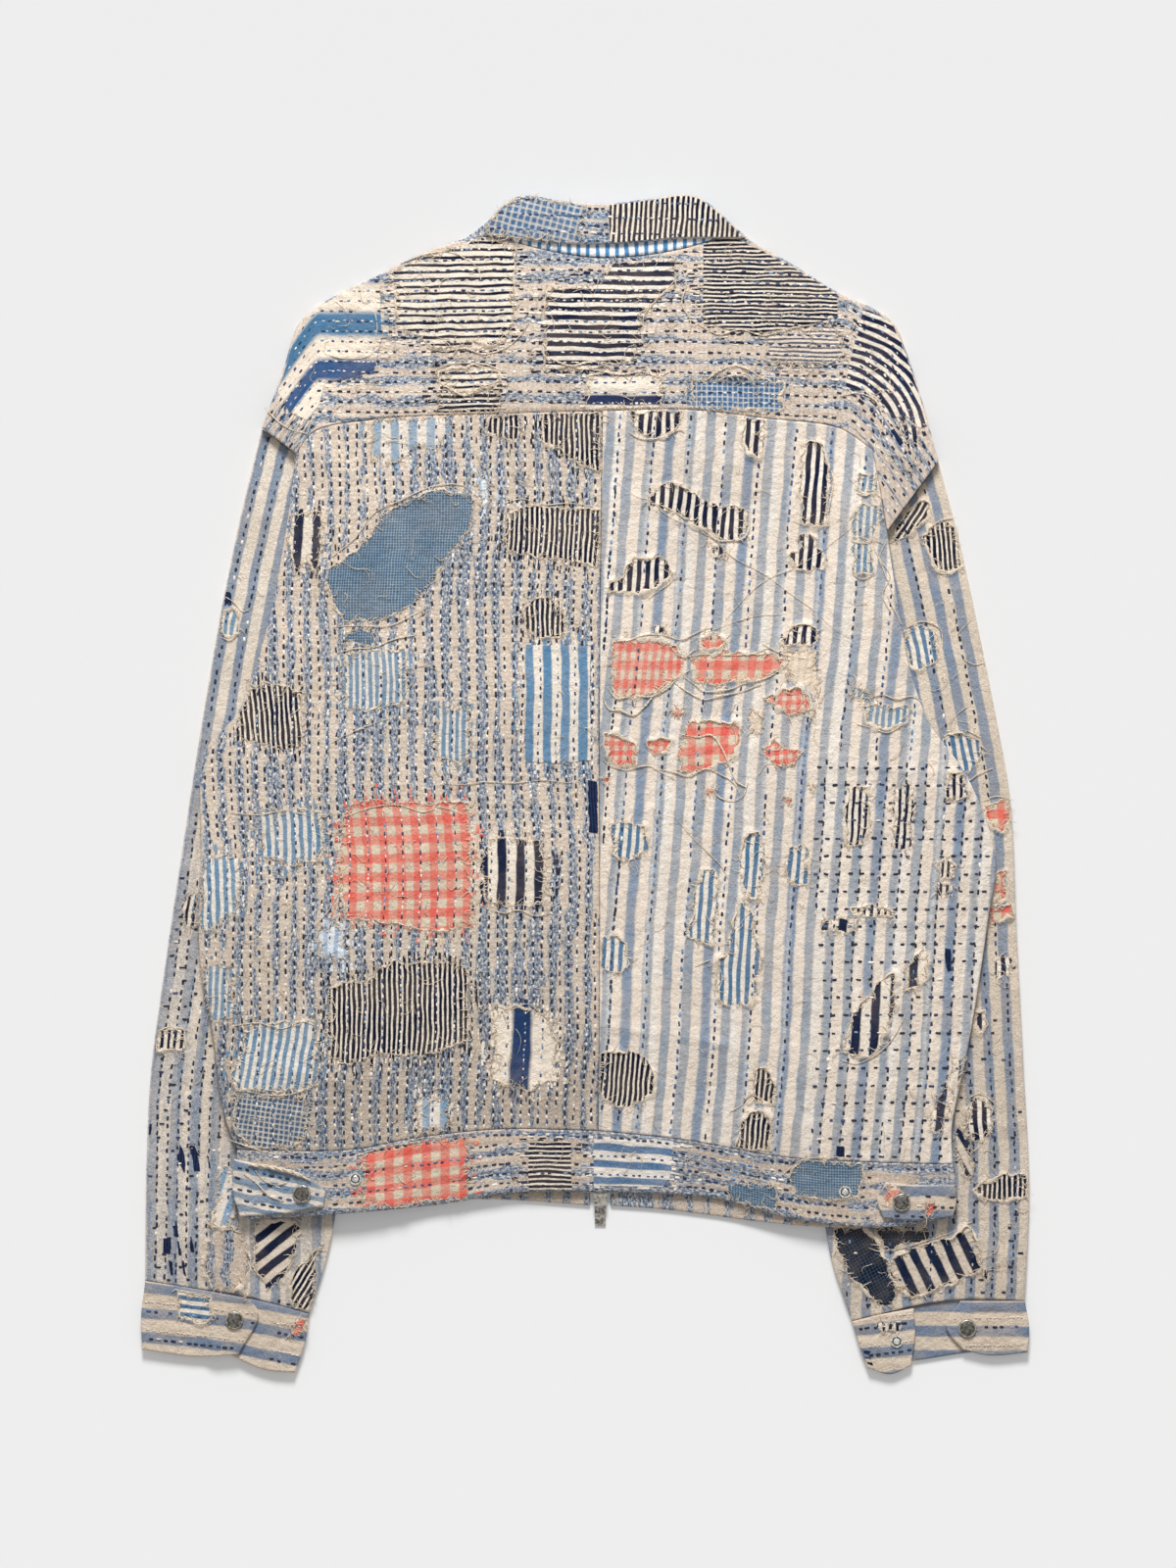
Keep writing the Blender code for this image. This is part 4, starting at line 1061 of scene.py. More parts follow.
# Patches: (cloth, turn of its stripes, edge, outline), laid in this order. A torn edge has a
# rolled lip of the worn-through cloth round it, a turned edge is folded under, and a worn edge
# thins out.
yokePatches = [
    ("pinstripe", 0, "torn", [
        (-133, 356), (-109, 367), (-90, 373), (-69, 382), (-48, 371), (-50, 316), (-55, 306), (-78, 307),
        (-92, 303), (-107, 305), (-118, 313), (-131, 318),
    ]),
    ("wideBlue", 0, "turned", [
        (-143, 351), (-156, 352), (-175, 343), (-184, 337), (-192, 329), (-200, 316), (-214, 275),
        (-205, 259), (-192, 253), (-184, 265), (-180, 279), (-146, 288), (-141, 312),
    ]),
    ("navyStripe", 0, "torn", [
        (-27, 343), (-12, 346), (10, 348), (21, 362), (39, 364), (61, 367), (63, 348), (51, 338),
        (39, 329), (39, 310), (33, 294), (2, 289), (-27, 289),
    ]),
    ("finestStripe", -1.5, "turned", [
        (82, 378), (95, 382), (112, 376), (143, 360), (175, 342), (175, 325), (146, 318), (120, 314),
        (102, 315), (82, 322),
    ]),
    ("navyShoulder", (170.4, 239.1), "turned", [
        (193, 331), (199, 329), (213, 320), (222, 300), (231, 272), (239, 250), (232, 248), (221, 258),
        (214, 255), (202, 271), (194, 274), (181, 275), (181, 282), (184, 295), (187, 307), (190, 317),
    ]),
    ("navyShoulder", (170.4, 239.1), "worn", [
        (216, 250), (222, 253), (228, 250), (232, 245), (230, 238), (222, 238), (217, 244),
    ]),
    ("navySolid", 0, "cut", [(211.5, 246), (214, 247.5), (220.5, 237.5), (218, 235.5)]),
    ("wornFine", -1.5, "worn", [
        (128, 312), (150, 315), (172, 319), (182, 296), (165, 293), (146, 291), (127, 297),
    ]),
    ("wideNavy", 0, "torn", [(1, 284), (29, 286), (52, 284), (53, 262), (29, 261), (1, 261)]),
    ("skyGingham", 0, "torn", [
        (75, 280), (97, 283), (123, 282), (138, 279), (137, 261), (104, 260), (75, 261),
    ]),
    ("pinstripe", 0, "torn", [
        (-101, 288), (-84, 290), (-65, 290), (-58, 282), (-66, 277), (-82, 271), (-96, 277), (-103, 282),
    ]),
    ("fineStripe", 0, "worn", [(-102, 273), (-58, 273), (-58, 258), (-102, 257)]),
]
leftPanelPatches = [
    ("skyWide", 0, "worn", [
        (-148, 257), (-95, 258), (-94, 246), (-101, 235), (-118, 233), (-131, 226), (-147, 228),
    ]),
    ("fineStripe", 0, "worn", [(-69, 259), (-45, 259), (-45, 243), (-56, 240), (-68, 242)]),
    ("fineStripe", 0, "torn", [
        (-30, 259), (11, 259), (12, 216), (2, 219), (-8, 226), (-17, 234), (-29, 239),
    ]),
    ("indigoCheck", 0, "torn", [
        (-177, 152), (-167, 158), (-148, 172), (-141, 187), (-131, 194), (-114, 201), (-101, 205),
        (-80, 204), (-76, 197), (-79, 179), (-89, 169), (-97, 158), (-106, 143), (-114, 129),
        (-131, 119), (-141, 115), (-165, 113), (-172, 122), (-177, 136),
    ]),
    ("indigoCheck", 0, "worn", [(-167, 107), (-146, 107), (-147, 99), (-166, 99)]),
    ("fineStripe", 0, "torn", [
        (-55, 185), (-48, 191), (-38, 194), (-16, 191), (10, 191), (10, 152), (-4, 156), (-30, 158),
        (-53, 163),
    ]),
    ("fineStripe", 0, "torn", [
        (-42, 110), (-41, 122), (-35, 130), (-25, 129), (-16, 124), (-14, 110), (-15, 104), (-41, 104),
    ]),
    ("skyNarrow", 0, "torn", [
        (-167, 91), (-148, 94), (-125, 94), (-124, 61), (-137, 54), (-154, 53), (-166, 54),
    ]),
    ("skyNarrow", 0, "worn", [(-103, 54), (-80, 54), (-80, 17), (-92, 16), (-102, 20)]),
    ("blueWide", 0, "turned", [(-41, 98), (4, 97), (3, 61), (5, 18), (-18, 16), (-41, 17)]),
    ("navyWide", 0, "torn", [
        (-203, 188), (-182, 190), (-182, 158), (-186, 147), (-194, 154), (-200, 148), (-204, 167),
    ]),
    ("fineStripe", 6, "torn", [
        (-241, 34), (-239, 54), (-231, 67), (-219, 71), (-205, 68), (-196, 63), (-196, 27), (-212, 26),
        (-228, 31), (-241, 32),
    ]),
    ("skyStripe", 0, "torn", [
        (-226, -18), (-202, -16), (-182, -18), (-183, -53), (-202, -56), (-222, -48),
    ]),
    ("skyStripe", 4, "worn", [
        (-262, -50), (-238, -48), (-237, -67), (-243, -90), (-266, -101), (-267, -70),
    ]),
    ("skyNarrow", -4, "worn", [(-265, -124), (-245, -122), (-244, -161), (-259, -163)]),
    ("skyStripe", -6, "torn", [
        (-235, -170), (-209, -164), (-186, -162), (-185, -207), (-209, -211), (-240, -211), (-245, -201),
        (-237, -186),
    ]),
    ("blueGingham", -8, "torn", [
        (-244, -212), (-228, -216), (-194, -214), (-191, -237), (-197, -249), (-228, -251), (-242, -240),
    ]),
    ("redGingham", 2, "torn", [
        (-168, -20), (-160, -12), (-137, -10), (-120, -12), (-100, -10), (-81, -12), (-79, -33),
        (-80, -67), (-79, -97), (-107, -99), (-134, -95), (-167, -92), (-171, -60),
    ]),
    ("navyWide", 0, "torn", [
        (-71, -53), (-66, -39), (-55, -37), (-43, -37), (-31, -39), (-29, -67), (-30, -82), (-52, -82),
        (-69, -80),
    ]),
    ("fineStripe", 0, "torn", [
        (-177, -188), (-177, -141), (-167, -136), (-151, -135), (-141, -128), (-131, -122), (-114, -124),
        (-97, -122), (-81, -125), (-80, -177), (-100, -184), (-120, -186), (-137, -184), (-165, -192),
    ]),
    ("deepColumn", 0, "torn", [
        (-64, -155), (-56, -159), (-50, -153), (-35, -155), (-25, -163), (-20, -175), (-21, -203),
        (-39, -210), (-63, -203),
    ]),
    ("navySolid", 0, "cut", [(2, 4), (8.5, 3), (9.5, -14), (9, -33), (2.5, -32)]),
    ("skyWide", 0, "worn", [(-117, -216), (-95, -218), (-95, -237), (-115, -239)]),
    ("paleCloth", 0, "worn", [(-183, -98), (-167, -98), (-165, -118), (-182, -118)]),
    ("paleCloth", 0, "worn", [(-74, 214), (-65, 212), (-66, 192), (-73, 192)]),
]
rightPanelPatches = [
    ("navyStripe", 0, "torn", [(30, 260), (67, 260), (66, 250), (56, 243), (46, 241), (36, 246)]),
    ("navyStripe", 0, "torn", [(111, 255), (124, 255), (125, 239), (123, 228), (113, 228), (109, 239)]),
    ("navyStripe", 0, "torn", [
        (150, 230), (153, 237), (158, 240), (164, 237), (167, 228), (169, 212), (168, 192), (167, 180),
        (150, 180), (149, 205),
    ]),
    ("navyStripe", 0, "torn", [
        (45, 197), (52, 208), (59, 211), (71, 206), (85, 197), (99, 194), (113, 190), (112, 177),
        (106, 172), (94, 171), (80, 180), (71, 186), (59, 190), (48, 193),
    ]),
    ("navyStripe", 0, "worn", [(84, 170), (92, 167), (101, 159), (99, 156), (90, 160)]),
    ("navyStripe", 0, "torn", [
        (143, 159), (149, 167), (146, 173), (153, 175), (160, 171), (161, 165), (167, 159), (165, 151),
        (156, 149), (147, 151),
    ]),
    ("navyStripe", 0, "torn", [
        (17, 143), (17, 135), (30, 133), (42, 135), (54, 139), (63, 147), (58, 156), (50, 158),
        (33, 158), (29, 152), (27, 144),
    ]),
    ("navyStripe", 0, "worn", [(48, 111), (56, 111), (57, 105), (48, 105)]),
    ("navyStripe", 0, "torn", [(144, 110), (152, 112), (161, 109), (162, 99), (146, 98), (135, 99)]),
    ("redCheck", 0, "torn", [
        (18, 100), (37, 102), (54, 101), (61, 97), (67, 92), (68, 84), (62, 73), (52, 65), (37, 61),
        (24, 62), (19, 67),
    ]),
    ("redGingham", 0, "torn", [(78, 103), (87, 105), (97, 101), (95, 96), (81, 95)]),
    ("redGingham", 0, "torn", [
        (73, 88), (85, 90), (99, 92), (116, 90), (131, 92), (138, 87), (135, 81), (127, 77), (113, 73),
        (92, 71), (82, 71), (74, 74),
    ]),
    ("redSmall", 3, "torn", [
        (123, 61), (134, 65), (146, 67), (154, 64), (156, 55), (148, 51), (139, 49), (134, 54),
        (126, 57),
    ]),
    ("redSmall", 0, "worn", [(59, 54), (69, 55), (69, 48), (61, 48)]),
    ("redGingham", 3, "torn", [
        (71, 45), (89, 46), (106, 43), (107, 27), (99, 17), (92, 14), (77, 10), (66, 11), (65, 22),
        (69, 33),
    ]),
    ("redSmall", 0, "torn", [(13, 37), (24, 36), (35, 27), (36, 14), (23, 13), (14, 19)]),
    ("redSmall", 0, "torn", [(42, 33), (51, 35), (60, 31), (59, 23), (48, 21), (43, 26)]),
    ("redSmall", 5, "torn", [
        (122, 27), (131, 32), (137, 27), (149, 24), (148, 18), (141, 13), (134, 14), (126, 20),
    ]),
    ("redGingham", 0, "worn", [(11, 7), (16, 6), (15, 2), (12, 3)]),
    ("redSmall", 0, "worn", [(83, -1), (91, -1), (90, -7), (85, -7)]),
    ("redGingham", 0, "worn", [(137, -6), (143, -7), (143, -12), (139, -11)]),
    ("redGingham", 0, "worn", [(156, 1), (160, 1), (160, -2), (156, -3)]),
    ("peachCloth", 0, "worn", [(139, 95), (160, 96), (161, 56), (156, 44), (146, 69), (139, 76)]),
    ("peachCloth", 0, "worn", [(114, 56), (124, 52), (123, 39), (115, 37)]),
    ("blueStripe", 0, "torn", [
        (17, -27), (29, -26), (43, -27), (44, -43), (37, -50), (27, -52), (18, -45),
    ]),
    ("blueStripe", 0, "torn", [
        (82, -57), (90, -59), (92, -80), (88, -96), (88, -110), (80, -108), (72, -103), (74, -88),
        (78, -69),
    ]),
    ("blueStripe", 0, "torn", [
        (109, -41), (113, -32), (120, -32), (123, -41), (123, -63), (120, -79), (111, -78), (107, -60),
    ]),
    ("blueStripe", 0, "torn", [
        (106, -82), (114, -80), (118, -106), (121, -118), (119, -149), (112, -152), (94, -150),
        (90, -135), (92, -122), (100, -114), (101, -98),
    ]),
    ("blueStripe", 0, "torn", [
        (139, -50), (142, -42), (152, -40), (156, -44), (156, -65), (150, -69), (141, -66), (138, -58),
    ]),
    ("blueStripe", 0, "torn", [(12, -105), (21, -103), (28, -109), (29, -124), (20, -129), (12, -124)]),
    ("fineStripe", 0, "torn", [
        (9, -186), (22, -184), (39, -186), (47, -196), (48, -213), (36, -221), (22, -223), (12, -218),
        (7, -203),
    ]),
    ("fineStripe", 0, "torn", [
        (117, -196), (125, -194), (129, -201), (131, -209), (130, -220), (118, -220), (116, -211),
    ]),
    ("fineStripe", 0, "torn", [
        (105, -252), (107, -235), (115, -226), (122, -224), (130, -230), (129, -253),
    ]),
    ("thinDark", 0, "torn", [(183, -3), (196, 0), (197, -24), (194, -41), (180, -41), (180, -26)]),
    ("thinDark", 0, "worn", [(214, -1), (226, 0), (226, -41), (214, -42)]),
    ("thinDark", 0, "torn", [(184, -84), (206, -83), (214, -85), (214, -91), (186, -90)]),
    ("thinDark", 0, "torn", [(250, 10), (264, 12), (265, -7), (250, -8)]),
    ("thinDark", 0, "torn", [(243, -53), (250, -50), (258, -54), (256, -63), (245, -64)]),
    ("thinDark", 0, "worn", [(245, -68), (255, -68), (255, -75), (245, -76)]),
    ("navyWide", 0, "worn", [(164, -92), (188, -92), (187, -100), (164, -100)]),
    ("navySolid", 0, "cut", [(249, -112), (253, -113), (254, -128), (251, -129), (249, -122)]),
    ("navyWide", 0, "torn", [
        (178, -184), (182, -167), (192, -151), (206, -135), (214, -129), (215, -151), (209, -169),
        (201, -185), (190, -189),
    ]),
    ("navyWide", 0, "torn", [(221, -143), (223, -124), (235, -114), (238, -133), (233, -137)]),
    ("navyWide", 0, "worn", [
        (255, -188), (262, -190), (256, -209), (250, -226), (243, -241), (239, -237), (244, -220),
        (251, -203),
    ]),
    ("navySolid", 0, "cut", [(174, -249.3), (179.5, -249.8), (179.8, -257.5), (173.5, -257)]),
    ("skyNarrow", 0, "torn", [(190, 217), (201, 216), (202, 205), (196, 203), (189, 205)]),
    ("skyNarrow", 0, "torn", [
        (186, 190), (192, 196), (207, 195), (206, 184), (199, 180), (199, 170), (186, 171),
    ]),
    ("skyNarrow", 0, "torn", [(185, 166), (197, 168), (199, 160), (198, 148), (186, 146)]),
    ("skyNarrow", 0, "worn", [(184, 69), (197, 68), (198, 61), (186, 60)]),
    ("skyNarrow", 0, "torn", [(191, 56), (206, 57), (224, 54), (221, 45), (209, 40), (195, 43)]),
]
rightSleevePatches = [
    ("fineStripe", -42, "torn", [
        (213, 178), (221, 189), (232, 199), (239, 196), (235, 184), (225, 174), (215, 169),
    ]),
    ("fineStripe", -8, "torn", [
        (234, 174), (241, 181), (252, 184), (258, 178), (261, 151), (254, 148), (243, 148), (239, 160),
    ]),
    ("blueStripe", 0, "torn", [(220, 107), (231, 112), (243, 107), (245, 87), (233, 80), (225, 84)]),
    ("blueStripe", 0, "torn", [(249, 34), (260, 37), (273, 33), (273, 14), (265, 8), (254, 11)]),
    ("thinDark", 8, "torn", [(248, 7), (258, 11), (263, 5), (262, -7), (251, -7)]),
    ("redGingham", 0, "torn", [(277, -14), (294, -10), (295, -24), (289, -33), (281, -30)]),
    ("redGingham", 0, "torn", [(283, -61), (292, -58), (292, -73), (288, -84), (283, -83)]),
    ("redGingham", 0, "torn", [(281, -85), (296, -82), (297, -91), (282, -93)]),
    ("navyStripe", 0, "torn", [(283, -121), (289, -116), (295, -120), (294, -132), (284, -133)]),
    ("navyStripe", 0, "torn", [(268, -156), (278, -155), (278, -170), (270, -173)]),
    ("navyStripe", 0, "torn", [
        (265, -224), (271, -216), (280, -219), (282, -237), (275, -247), (266, -243),
    ]),
    ("fineStripe", 0, "torn", [
        (269, -280), (278, -273), (290, -268), (305, -269), (305, -286), (289, -288), (274, -286),
    ]),
    ("navyDiagonal", 0, "torn", [
        (210, -330), (220, -324), (230, -320), (242, -316), (255, -312), (264, -305), (273, -316),
        (275, -332), (267, -339), (259, -345), (248, -347), (238, -351), (228, -355), (220, -351),
        (211, -340),
    ]),
    ("nightCheck", 30, "torn", [
        (173, -309), (190, -306), (200, -309), (206, -322), (212, -335), (217, -349), (214, -359),
        (204, -360), (195, -352), (184, -338), (176, -323),
    ]),
    ("nightCheck", 0, "worn", [
        (200, -307), (216, -306), (235, -307), (237, -312), (226, -316), (213, -321), (205, -318),
    ]),
    ("fineStripe", 0, "worn", [(275, -334), (281, -334), (281, -342), (275, -342)]),
    ("navyDiagonal", 0, "worn", [
        (258, -237), (263, -243), (267, -257), (271, -269), (265, -273), (259, -257),
    ]),
]
leftSleevePatches = [
    ("navySolid", 0, "cut", [(-250, 135), (-245.5, 134), (-245, 125), (-248, 126), (-250, 124)]),
    ("skyNarrow", 0, "torn", [(-251, 121), (-241, 121), (-240, 107), (-245, 103), (-252, 105)]),
    ("thinDark", 0, "worn", [(-278, -75), (-269, -75), (-270, -97), (-279, -98)]),
    ("thinDark", 0, "torn", [(-297, -170), (-279, -169), (-278, -182), (-296, -184)]),
    ("navySolid", 0, "cut", [
        (-281, -248.5), (-279.6, -250.5), (-278, -254), (-277, -262), (-277.6, -268.5), (-279.4, -264.5),
        (-282.6, -258.5), (-281.4, -253),
    ]),
    ("navySolid", 0, "cut", [
        (-274.5, -248), (-270.5, -248.3), (-269, -256), (-267, -264), (-266.8, -267.3), (-271, -267),
        (-271.5, -260),
    ]),
    ("navySolid", 0, "cut", [(-262.3, -256), (-260.6, -257), (-259.2, -265), (-261, -265.4)]),
    ("navySolid", 0, "cut", [(-292.5, -313.5), (-287, -312.5), (-287.3, -324.7), (-292.7, -324)]),
    ("navySolid", 0, "cut", [(-286, -305), (-282.6, -304.5), (-282, -312.5), (-284.6, -312)]),
    ("navySolid", 0, "cut", [(-283, -315), (-281.4, -315.5), (-279.5, -325.5), (-281.6, -325)]),
    ("navySolid", 0, "cut", [(-274, -311.5), (-272.3, -312.5), (-271, -323), (-273.4, -322.5)]),
    ("navySolid", 0, "cut", [(-288.5, -329), (-286.3, -330), (-285.6, -339), (-287.2, -339.5)]),
    ("navySolid", 0, "cut", [(-280, -327.5), (-278.2, -329), (-276.6, -340), (-278.8, -338)]),
    ("navySolid", 0, "cut", [(-304, -233), (-300.5, -234.5), (-300.8, -241.5), (-303.5, -242)]),
    ("mendedBand", 0, "torn", [
        (-262, -316), (-255, -307), (-247, -305), (-240, -310), (-234, -320), (-232, -334), (-236, -345),
        (-246, -350), (-257, -348), (-263, -336),
    ]),
    ("skyDiagonal", 0, "torn", [
        (-258, -305), (-255, -281), (-250, -264), (-243, -266), (-241, -288), (-247, -305), (-252, -309),
    ]),
    ("navyBars", 0, "torn", [
        (-228, -302), (-217, -301), (-199, -302), (-196, -309), (-202, -320), (-205, -333), (-213, -344),
        (-220, -349), (-227, -337), (-231, -333), (-230, -320),
    ]),
    ("fineStripe", -30, "torn", [
        (-180, -317), (-187, -327), (-188, -350), (-190, -364), (-202, -362), (-205, -345), (-197, -333),
    ]),
]
backBandPatches = [
    ("redGingham", 0, "worn", [
        (-153, -257), (-141, -249), (-114, -246), (-82, -243), (-82, -286), (-107, -288), (-134, -292),
        (-156, -288), (-152, -271),
    ]),
    ("fineStripe", 0, "turned", [(-39, -249), (-10, -246), (-9, -280), (-39, -280)]),
    ("skyBars", 0, "turned", [(6, -245), (61, -245), (59, -271), (54, -278), (6, -277)]),
    ("indigoCheck", 0, "torn", [
        (141, -271), (145, -264), (153, -259), (192, -260), (192, -271), (187, -283), (172, -286),
        (146, -284),
    ]),
    ("indigoCheck", 0, "worn", [
        (100, -279), (118, -275), (133, -277), (131, -292), (114, -292), (103, -287),
    ]),
]
rightTabPatches = [
    ("redGingham", 0, "worn", [(208, -277), (218, -275), (219, -288), (209, -289)]),
    ("redGingham", 20, "worn", [(236, -287), (243, -286), (240, -299), (234, -300)]),
]
leftCuffPatches = [
    ("blueStripe", 0, "torn", [(-282, -350), (-258, -354), (-258, -369), (-266, -374), (-281, -366)]),
    ("redGingham", 0, "worn", [(-237, -348), (-231, -350), (-232, -356), (-237, -355)]),
    ("redGingham", 0, "worn", [(-206, -379), (-201, -370), (-194, -369), (-198, -381), (-205, -384)]),
]
rightCuffPatches = [
    ("navySolid", 0, "cut", [(191, -391), (197.5, -392), (196.5, -393.6), (191.5, -393)]),
    ("navySolid", 0, "cut", [(191.5, -394.6), (198, -396), (198.5, -397.6), (192, -396.4)]),
    ("navySolid", 0, "cut", [(193, -398.4), (199, -400), (199.4, -401.4), (193.6, -400.2)]),
    ("thinDark", 90, "worn", [(204, -373), (218, -373), (218, -377), (204, -377)]),
]
collarLeafPatches = [
    ("skyCheck", 12, "worn", [
        (-81, 375), (-70, 394), (-56, 412), (-5, 409), (2, 399), (-3, 390), (-5, 367), (-39, 371),
    ]),
    ("collarStripe", 92, "turned", [
        (17, 412), (70, 415), (81, 413), (111, 388), (119, 375), (104, 378), (70, 370), (17, 369),
    ]),
]


# Cloth pieces


sewn = {}


def edgesOf(piece):
    return tuple(joined(piece[key]) for key in ("top", "bottom", "left", "right"))


# Undulation over size millimetres, with a share of a smaller one, and a relief's limits
reliefLook = dict(size=31, small=9, share=0.4, least=-1.5, most=3.5)


# Sews a cloth piece in place of its solid, and keeps what the later work on it needs
def sewPiece(node, edges, look, under, thick, flows, restsOn, step=1.6, coarse=4):
    grid = panelGrid(*edges, step)
    flow, place = flows

    def relief(x, y):
        rough, seed = look["rough"], look["seed"]
        height = creased(x, y, look["creases"]) + rough * unevenness(x, y, reliefLook["size"], seed)
        height += reliefLook["share"] * rough * unevenness(x, y, reliefLook["small"], seed + 1)
        for row, pitch, depth, share in look["rows"]:
            height += puckers(flow, row, pitch, depth, seed + 2)(x, y) * share(x, y)
        height = np.clip(height, reliefLook["least"], reliefLook["most"])
        return height * calm(x, y) * look["free"](x, y)

    def top(x, y):
        return under(x, y) + thick + relief(x, y)

    name = node + "_cloth"
    piece = clothShell(name, grid, under, top, flow, [cloths[look["cloth"]]], coarse)
    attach(piece, "jacket")
    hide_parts(node)
    sewn[node] = dict(
        piece=piece, grid=grid, top=top, flow=flow, place=place, outline=borderOf(grid)[::3], look=look,
        restsOn=restsOn, withPieces=[], patches=[],
    )


def everywhere(x, y):
    return np.ones_like(x)


def plainLook(cloth, seed, creases=(), rough=0.2, rows=(), free=everywhere):
    return dict(cloth=cloth, seed=seed, creases=creases, rough=rough, rows=rows, free=free)


# A plain piece that lies out of sight below the others
def sewHidden(node, edges, cloth, seed, under, thick, flows, restsOn, step=12):
    look = plainLook(cloth, seed, rough=0, free=underCollar)
    sewPiece(node, edges, look, under, thick, flows, restsOn, step, coarse=1)


# Relief fades out near the collar, under the tabs and where a sleeve lies below the body. One
# corner of the right back panel and the lower part of both sleeves are closely stitched. These
# are the places where such zones begin, and the runs over which they do.
zoneLook = dict(
    clearRun=8, bodyMargin=1.5, bodyRun=9, cornerX=154, cornerY=22, cornerRun=10,
    sleeveLeft=50, sleeveRight=-100, sleeveRun=50, lapLeft=-222, lapRun=8, lapRight=255, lapEdge=1, seamX=24,
)
tabOutlines = [patchOutline(tabLeft), patchOutline(tabRight)]
leafOutline = closedOutline(evenly(rollLine, 30), evenly(leafEdge[::-1], 30))


def clearOf(x, y, outline):
    run = zoneLook["clearRun"]
    return 1 - rising((depthInside(x, y, outline) + run) / run)


def clearOfCollar(x, y):
    return clearOf(x, y, leafOutline)


def clearOfTabs(x, y):
    return clearOf(x, y, tabOutlines[0]) * clearOf(x, y, tabOutlines[1])


def clearOfBody(x, y):
    return rising((-bodyDepth(x, y) - zoneLook["bodyMargin"]) / zoneLook["bodyRun"])


def denseCorner(x, y):
    run = zoneLook["cornerRun"]
    return rising((x - zoneLook["cornerX"]) / run) * rising((zoneLook["cornerY"] - y) / run)


def outsideCorner(x, y):
    return 1 - denseCorner(x, y)


def lowSleeve(x, y):
    start = np.where(x < 0, zoneLook["sleeveLeft"], zoneLook["sleeveRight"])
    return rising((start - y) / zoneLook["sleeveRun"])


def underCollar(x, y):
    return np.zeros_like(x)


noFlow = (plainFlow, plainFlow)
sewPiece(
    "back_panel_left",
    (joined(yokeSeamLeft), joined(bandSeamLeft), joined(sideLeft), joined(centreSeam)),
    plainLook("mendedCloth", 11, bodyCreases, 0.45, [(6.1, 4.6, 0.6, everywhere)]),
    backUnder, ply, leftFlows, ["front_left", "sleeve_left_upper"], step=1.75,
)
sewPiece(
    "back_panel_right",
    (joined(yokeSeamRight), joined(bandSeamRight), joined(centreSeam), joined(yokeSideRight, sideRight)),
    plainLook(
        "stripedCloth", 12, bodyCreases, 0.5,
        [(24.5, 6.0, 0.35, outsideCorner), (6.95, 11.0, 0.5, denseCorner)],
    ),
    backUnder, ply, rightFlows, ["front_right", "sleeve_right_upper"], step=1.75,
)
sewPiece(
    "back_yoke",
    (
        joined(shoulderLeft, neckSeam, shoulderRight), joined(yokeSeamLeft, yokeSeamRight, yokeSideRight),
        joined(sleeveHeadLeft), joined(sleeveHeadRight[::-1]),
    ),
    plainLook("mendedYoke", 13, yokeCreases, 0.4, [(7.0, 4.6, 0.55, everywhere)], clearOfCollar),
    backUnder, ply, (yokeFlow, yokePlace), ["front_left", "front_right"],
)
sewPiece(
    "back_band",
    (joined(bandSeamLeft, bandSeamRight), joined(bandHem), joined(bandEndLeft), joined(bandEndRight)),
    plainLook("mendedBand", 14, bandCreases, 0.35, [(7.0, 5.0, 0.5, everywhere)], clearOfTabs),
    bandUnder, bandPly, (bandFlow, bandPlace), ["front_band_left", "front_band_right"],
)
for side, sleeve, head, seam in (
    ("left", sleeveLeft, sleeveHeadLeft, cuffSeamLeft),
    ("right", sleeveRight, sleeveHeadRight, cuffSeamRight),
):
    flows = foldedFlow(sleeve["outer"])
    outer, inner = joined(sleeve["outer"]), joined(sleeve["inner"])
    sides = (outer, inner) if side == "left" else (inner, outer)
    edges = (joined(head), joined(seam), *sides)
    sewPiece(
        f"sleeve_{side}_upper", edges,
        plainLook(f"{side}SleeveCloth", 15, sleeveCreases, 0.5, [(7.15, 6.0, 0.4, lowSleeve)], clearOfBody),
        sleeveUpperUnder, ply, flows, [f"sleeve_{side}_under"], step=1.95,
    )
    sewHidden(
        f"sleeve_{side}_under", edges, f"{side}SleeveCloth", 16, onFloor, ply, flows, ["floor"], step=11
    )
print("panels sewn")

# Fronts and their bands lie face down, plain, under the back. Their edges part on both sides of
# the zip.
frontHemLeft = [(-233, -297), (-125, -288), (-60, -287), (3.5, -291)]
frontHemRight = [(17.5, -291), (56, -294), (129, -303), (182, -306), (252, -297)]
frontNeckLeft = [(-69, 384), (-46, 340), (3.5, 316)]
frontNeckRight = [(17.5, 316), (80, 340), (103, 384)]
frontFootLeft = [(-241, -252), (-120, -248), (3.5, -248)]
frontFootRight = [(17.5, -248), (140, -252), (255, -262)]
frontEdgeLeft = [(3.5, 316), (3.5, -248)]
frontEdgeRight = [(17.5, 316), (17.5, -248)]
sewHidden(
    "front_left",
    (
        joined(shoulderLeft, frontNeckLeft), joined(frontFootLeft),
        joined(sleeveHeadLeft, sideLeft), joined(frontEdgeLeft),
    ),
    "stripedCloth", 17, frontUnder, ply, noFlow, ["sleeve_left_upper", "floor"],
)
sewHidden(
    "front_right",
    (
        joined(frontNeckRight, shoulderRight), joined(frontFootRight),
        joined(frontEdgeRight), joined(sleeveHeadRight[::-1], sideRight),
    ),
    "stripedCloth", 17, frontUnder, ply, noFlow, ["sleeve_right_upper", "floor"],
)
for side, foot, hem in (("left", frontFootLeft, frontHemLeft), ("right", frontFootRight, frontHemRight)):
    ends = [joined([foot[end], hem[end]]) for end in (0, -1)]
    sewHidden(
        f"front_band_{side}", (joined(foot), joined(hem), *ends), "mendedBand", 18, frontUnder, bandPly,
        noFlow, ["floor"],
    )


# Collar: the stand, its leaf folded down over it, and the leaf's two front ends under the fronts
collarFlow = turnedFlow(-2)


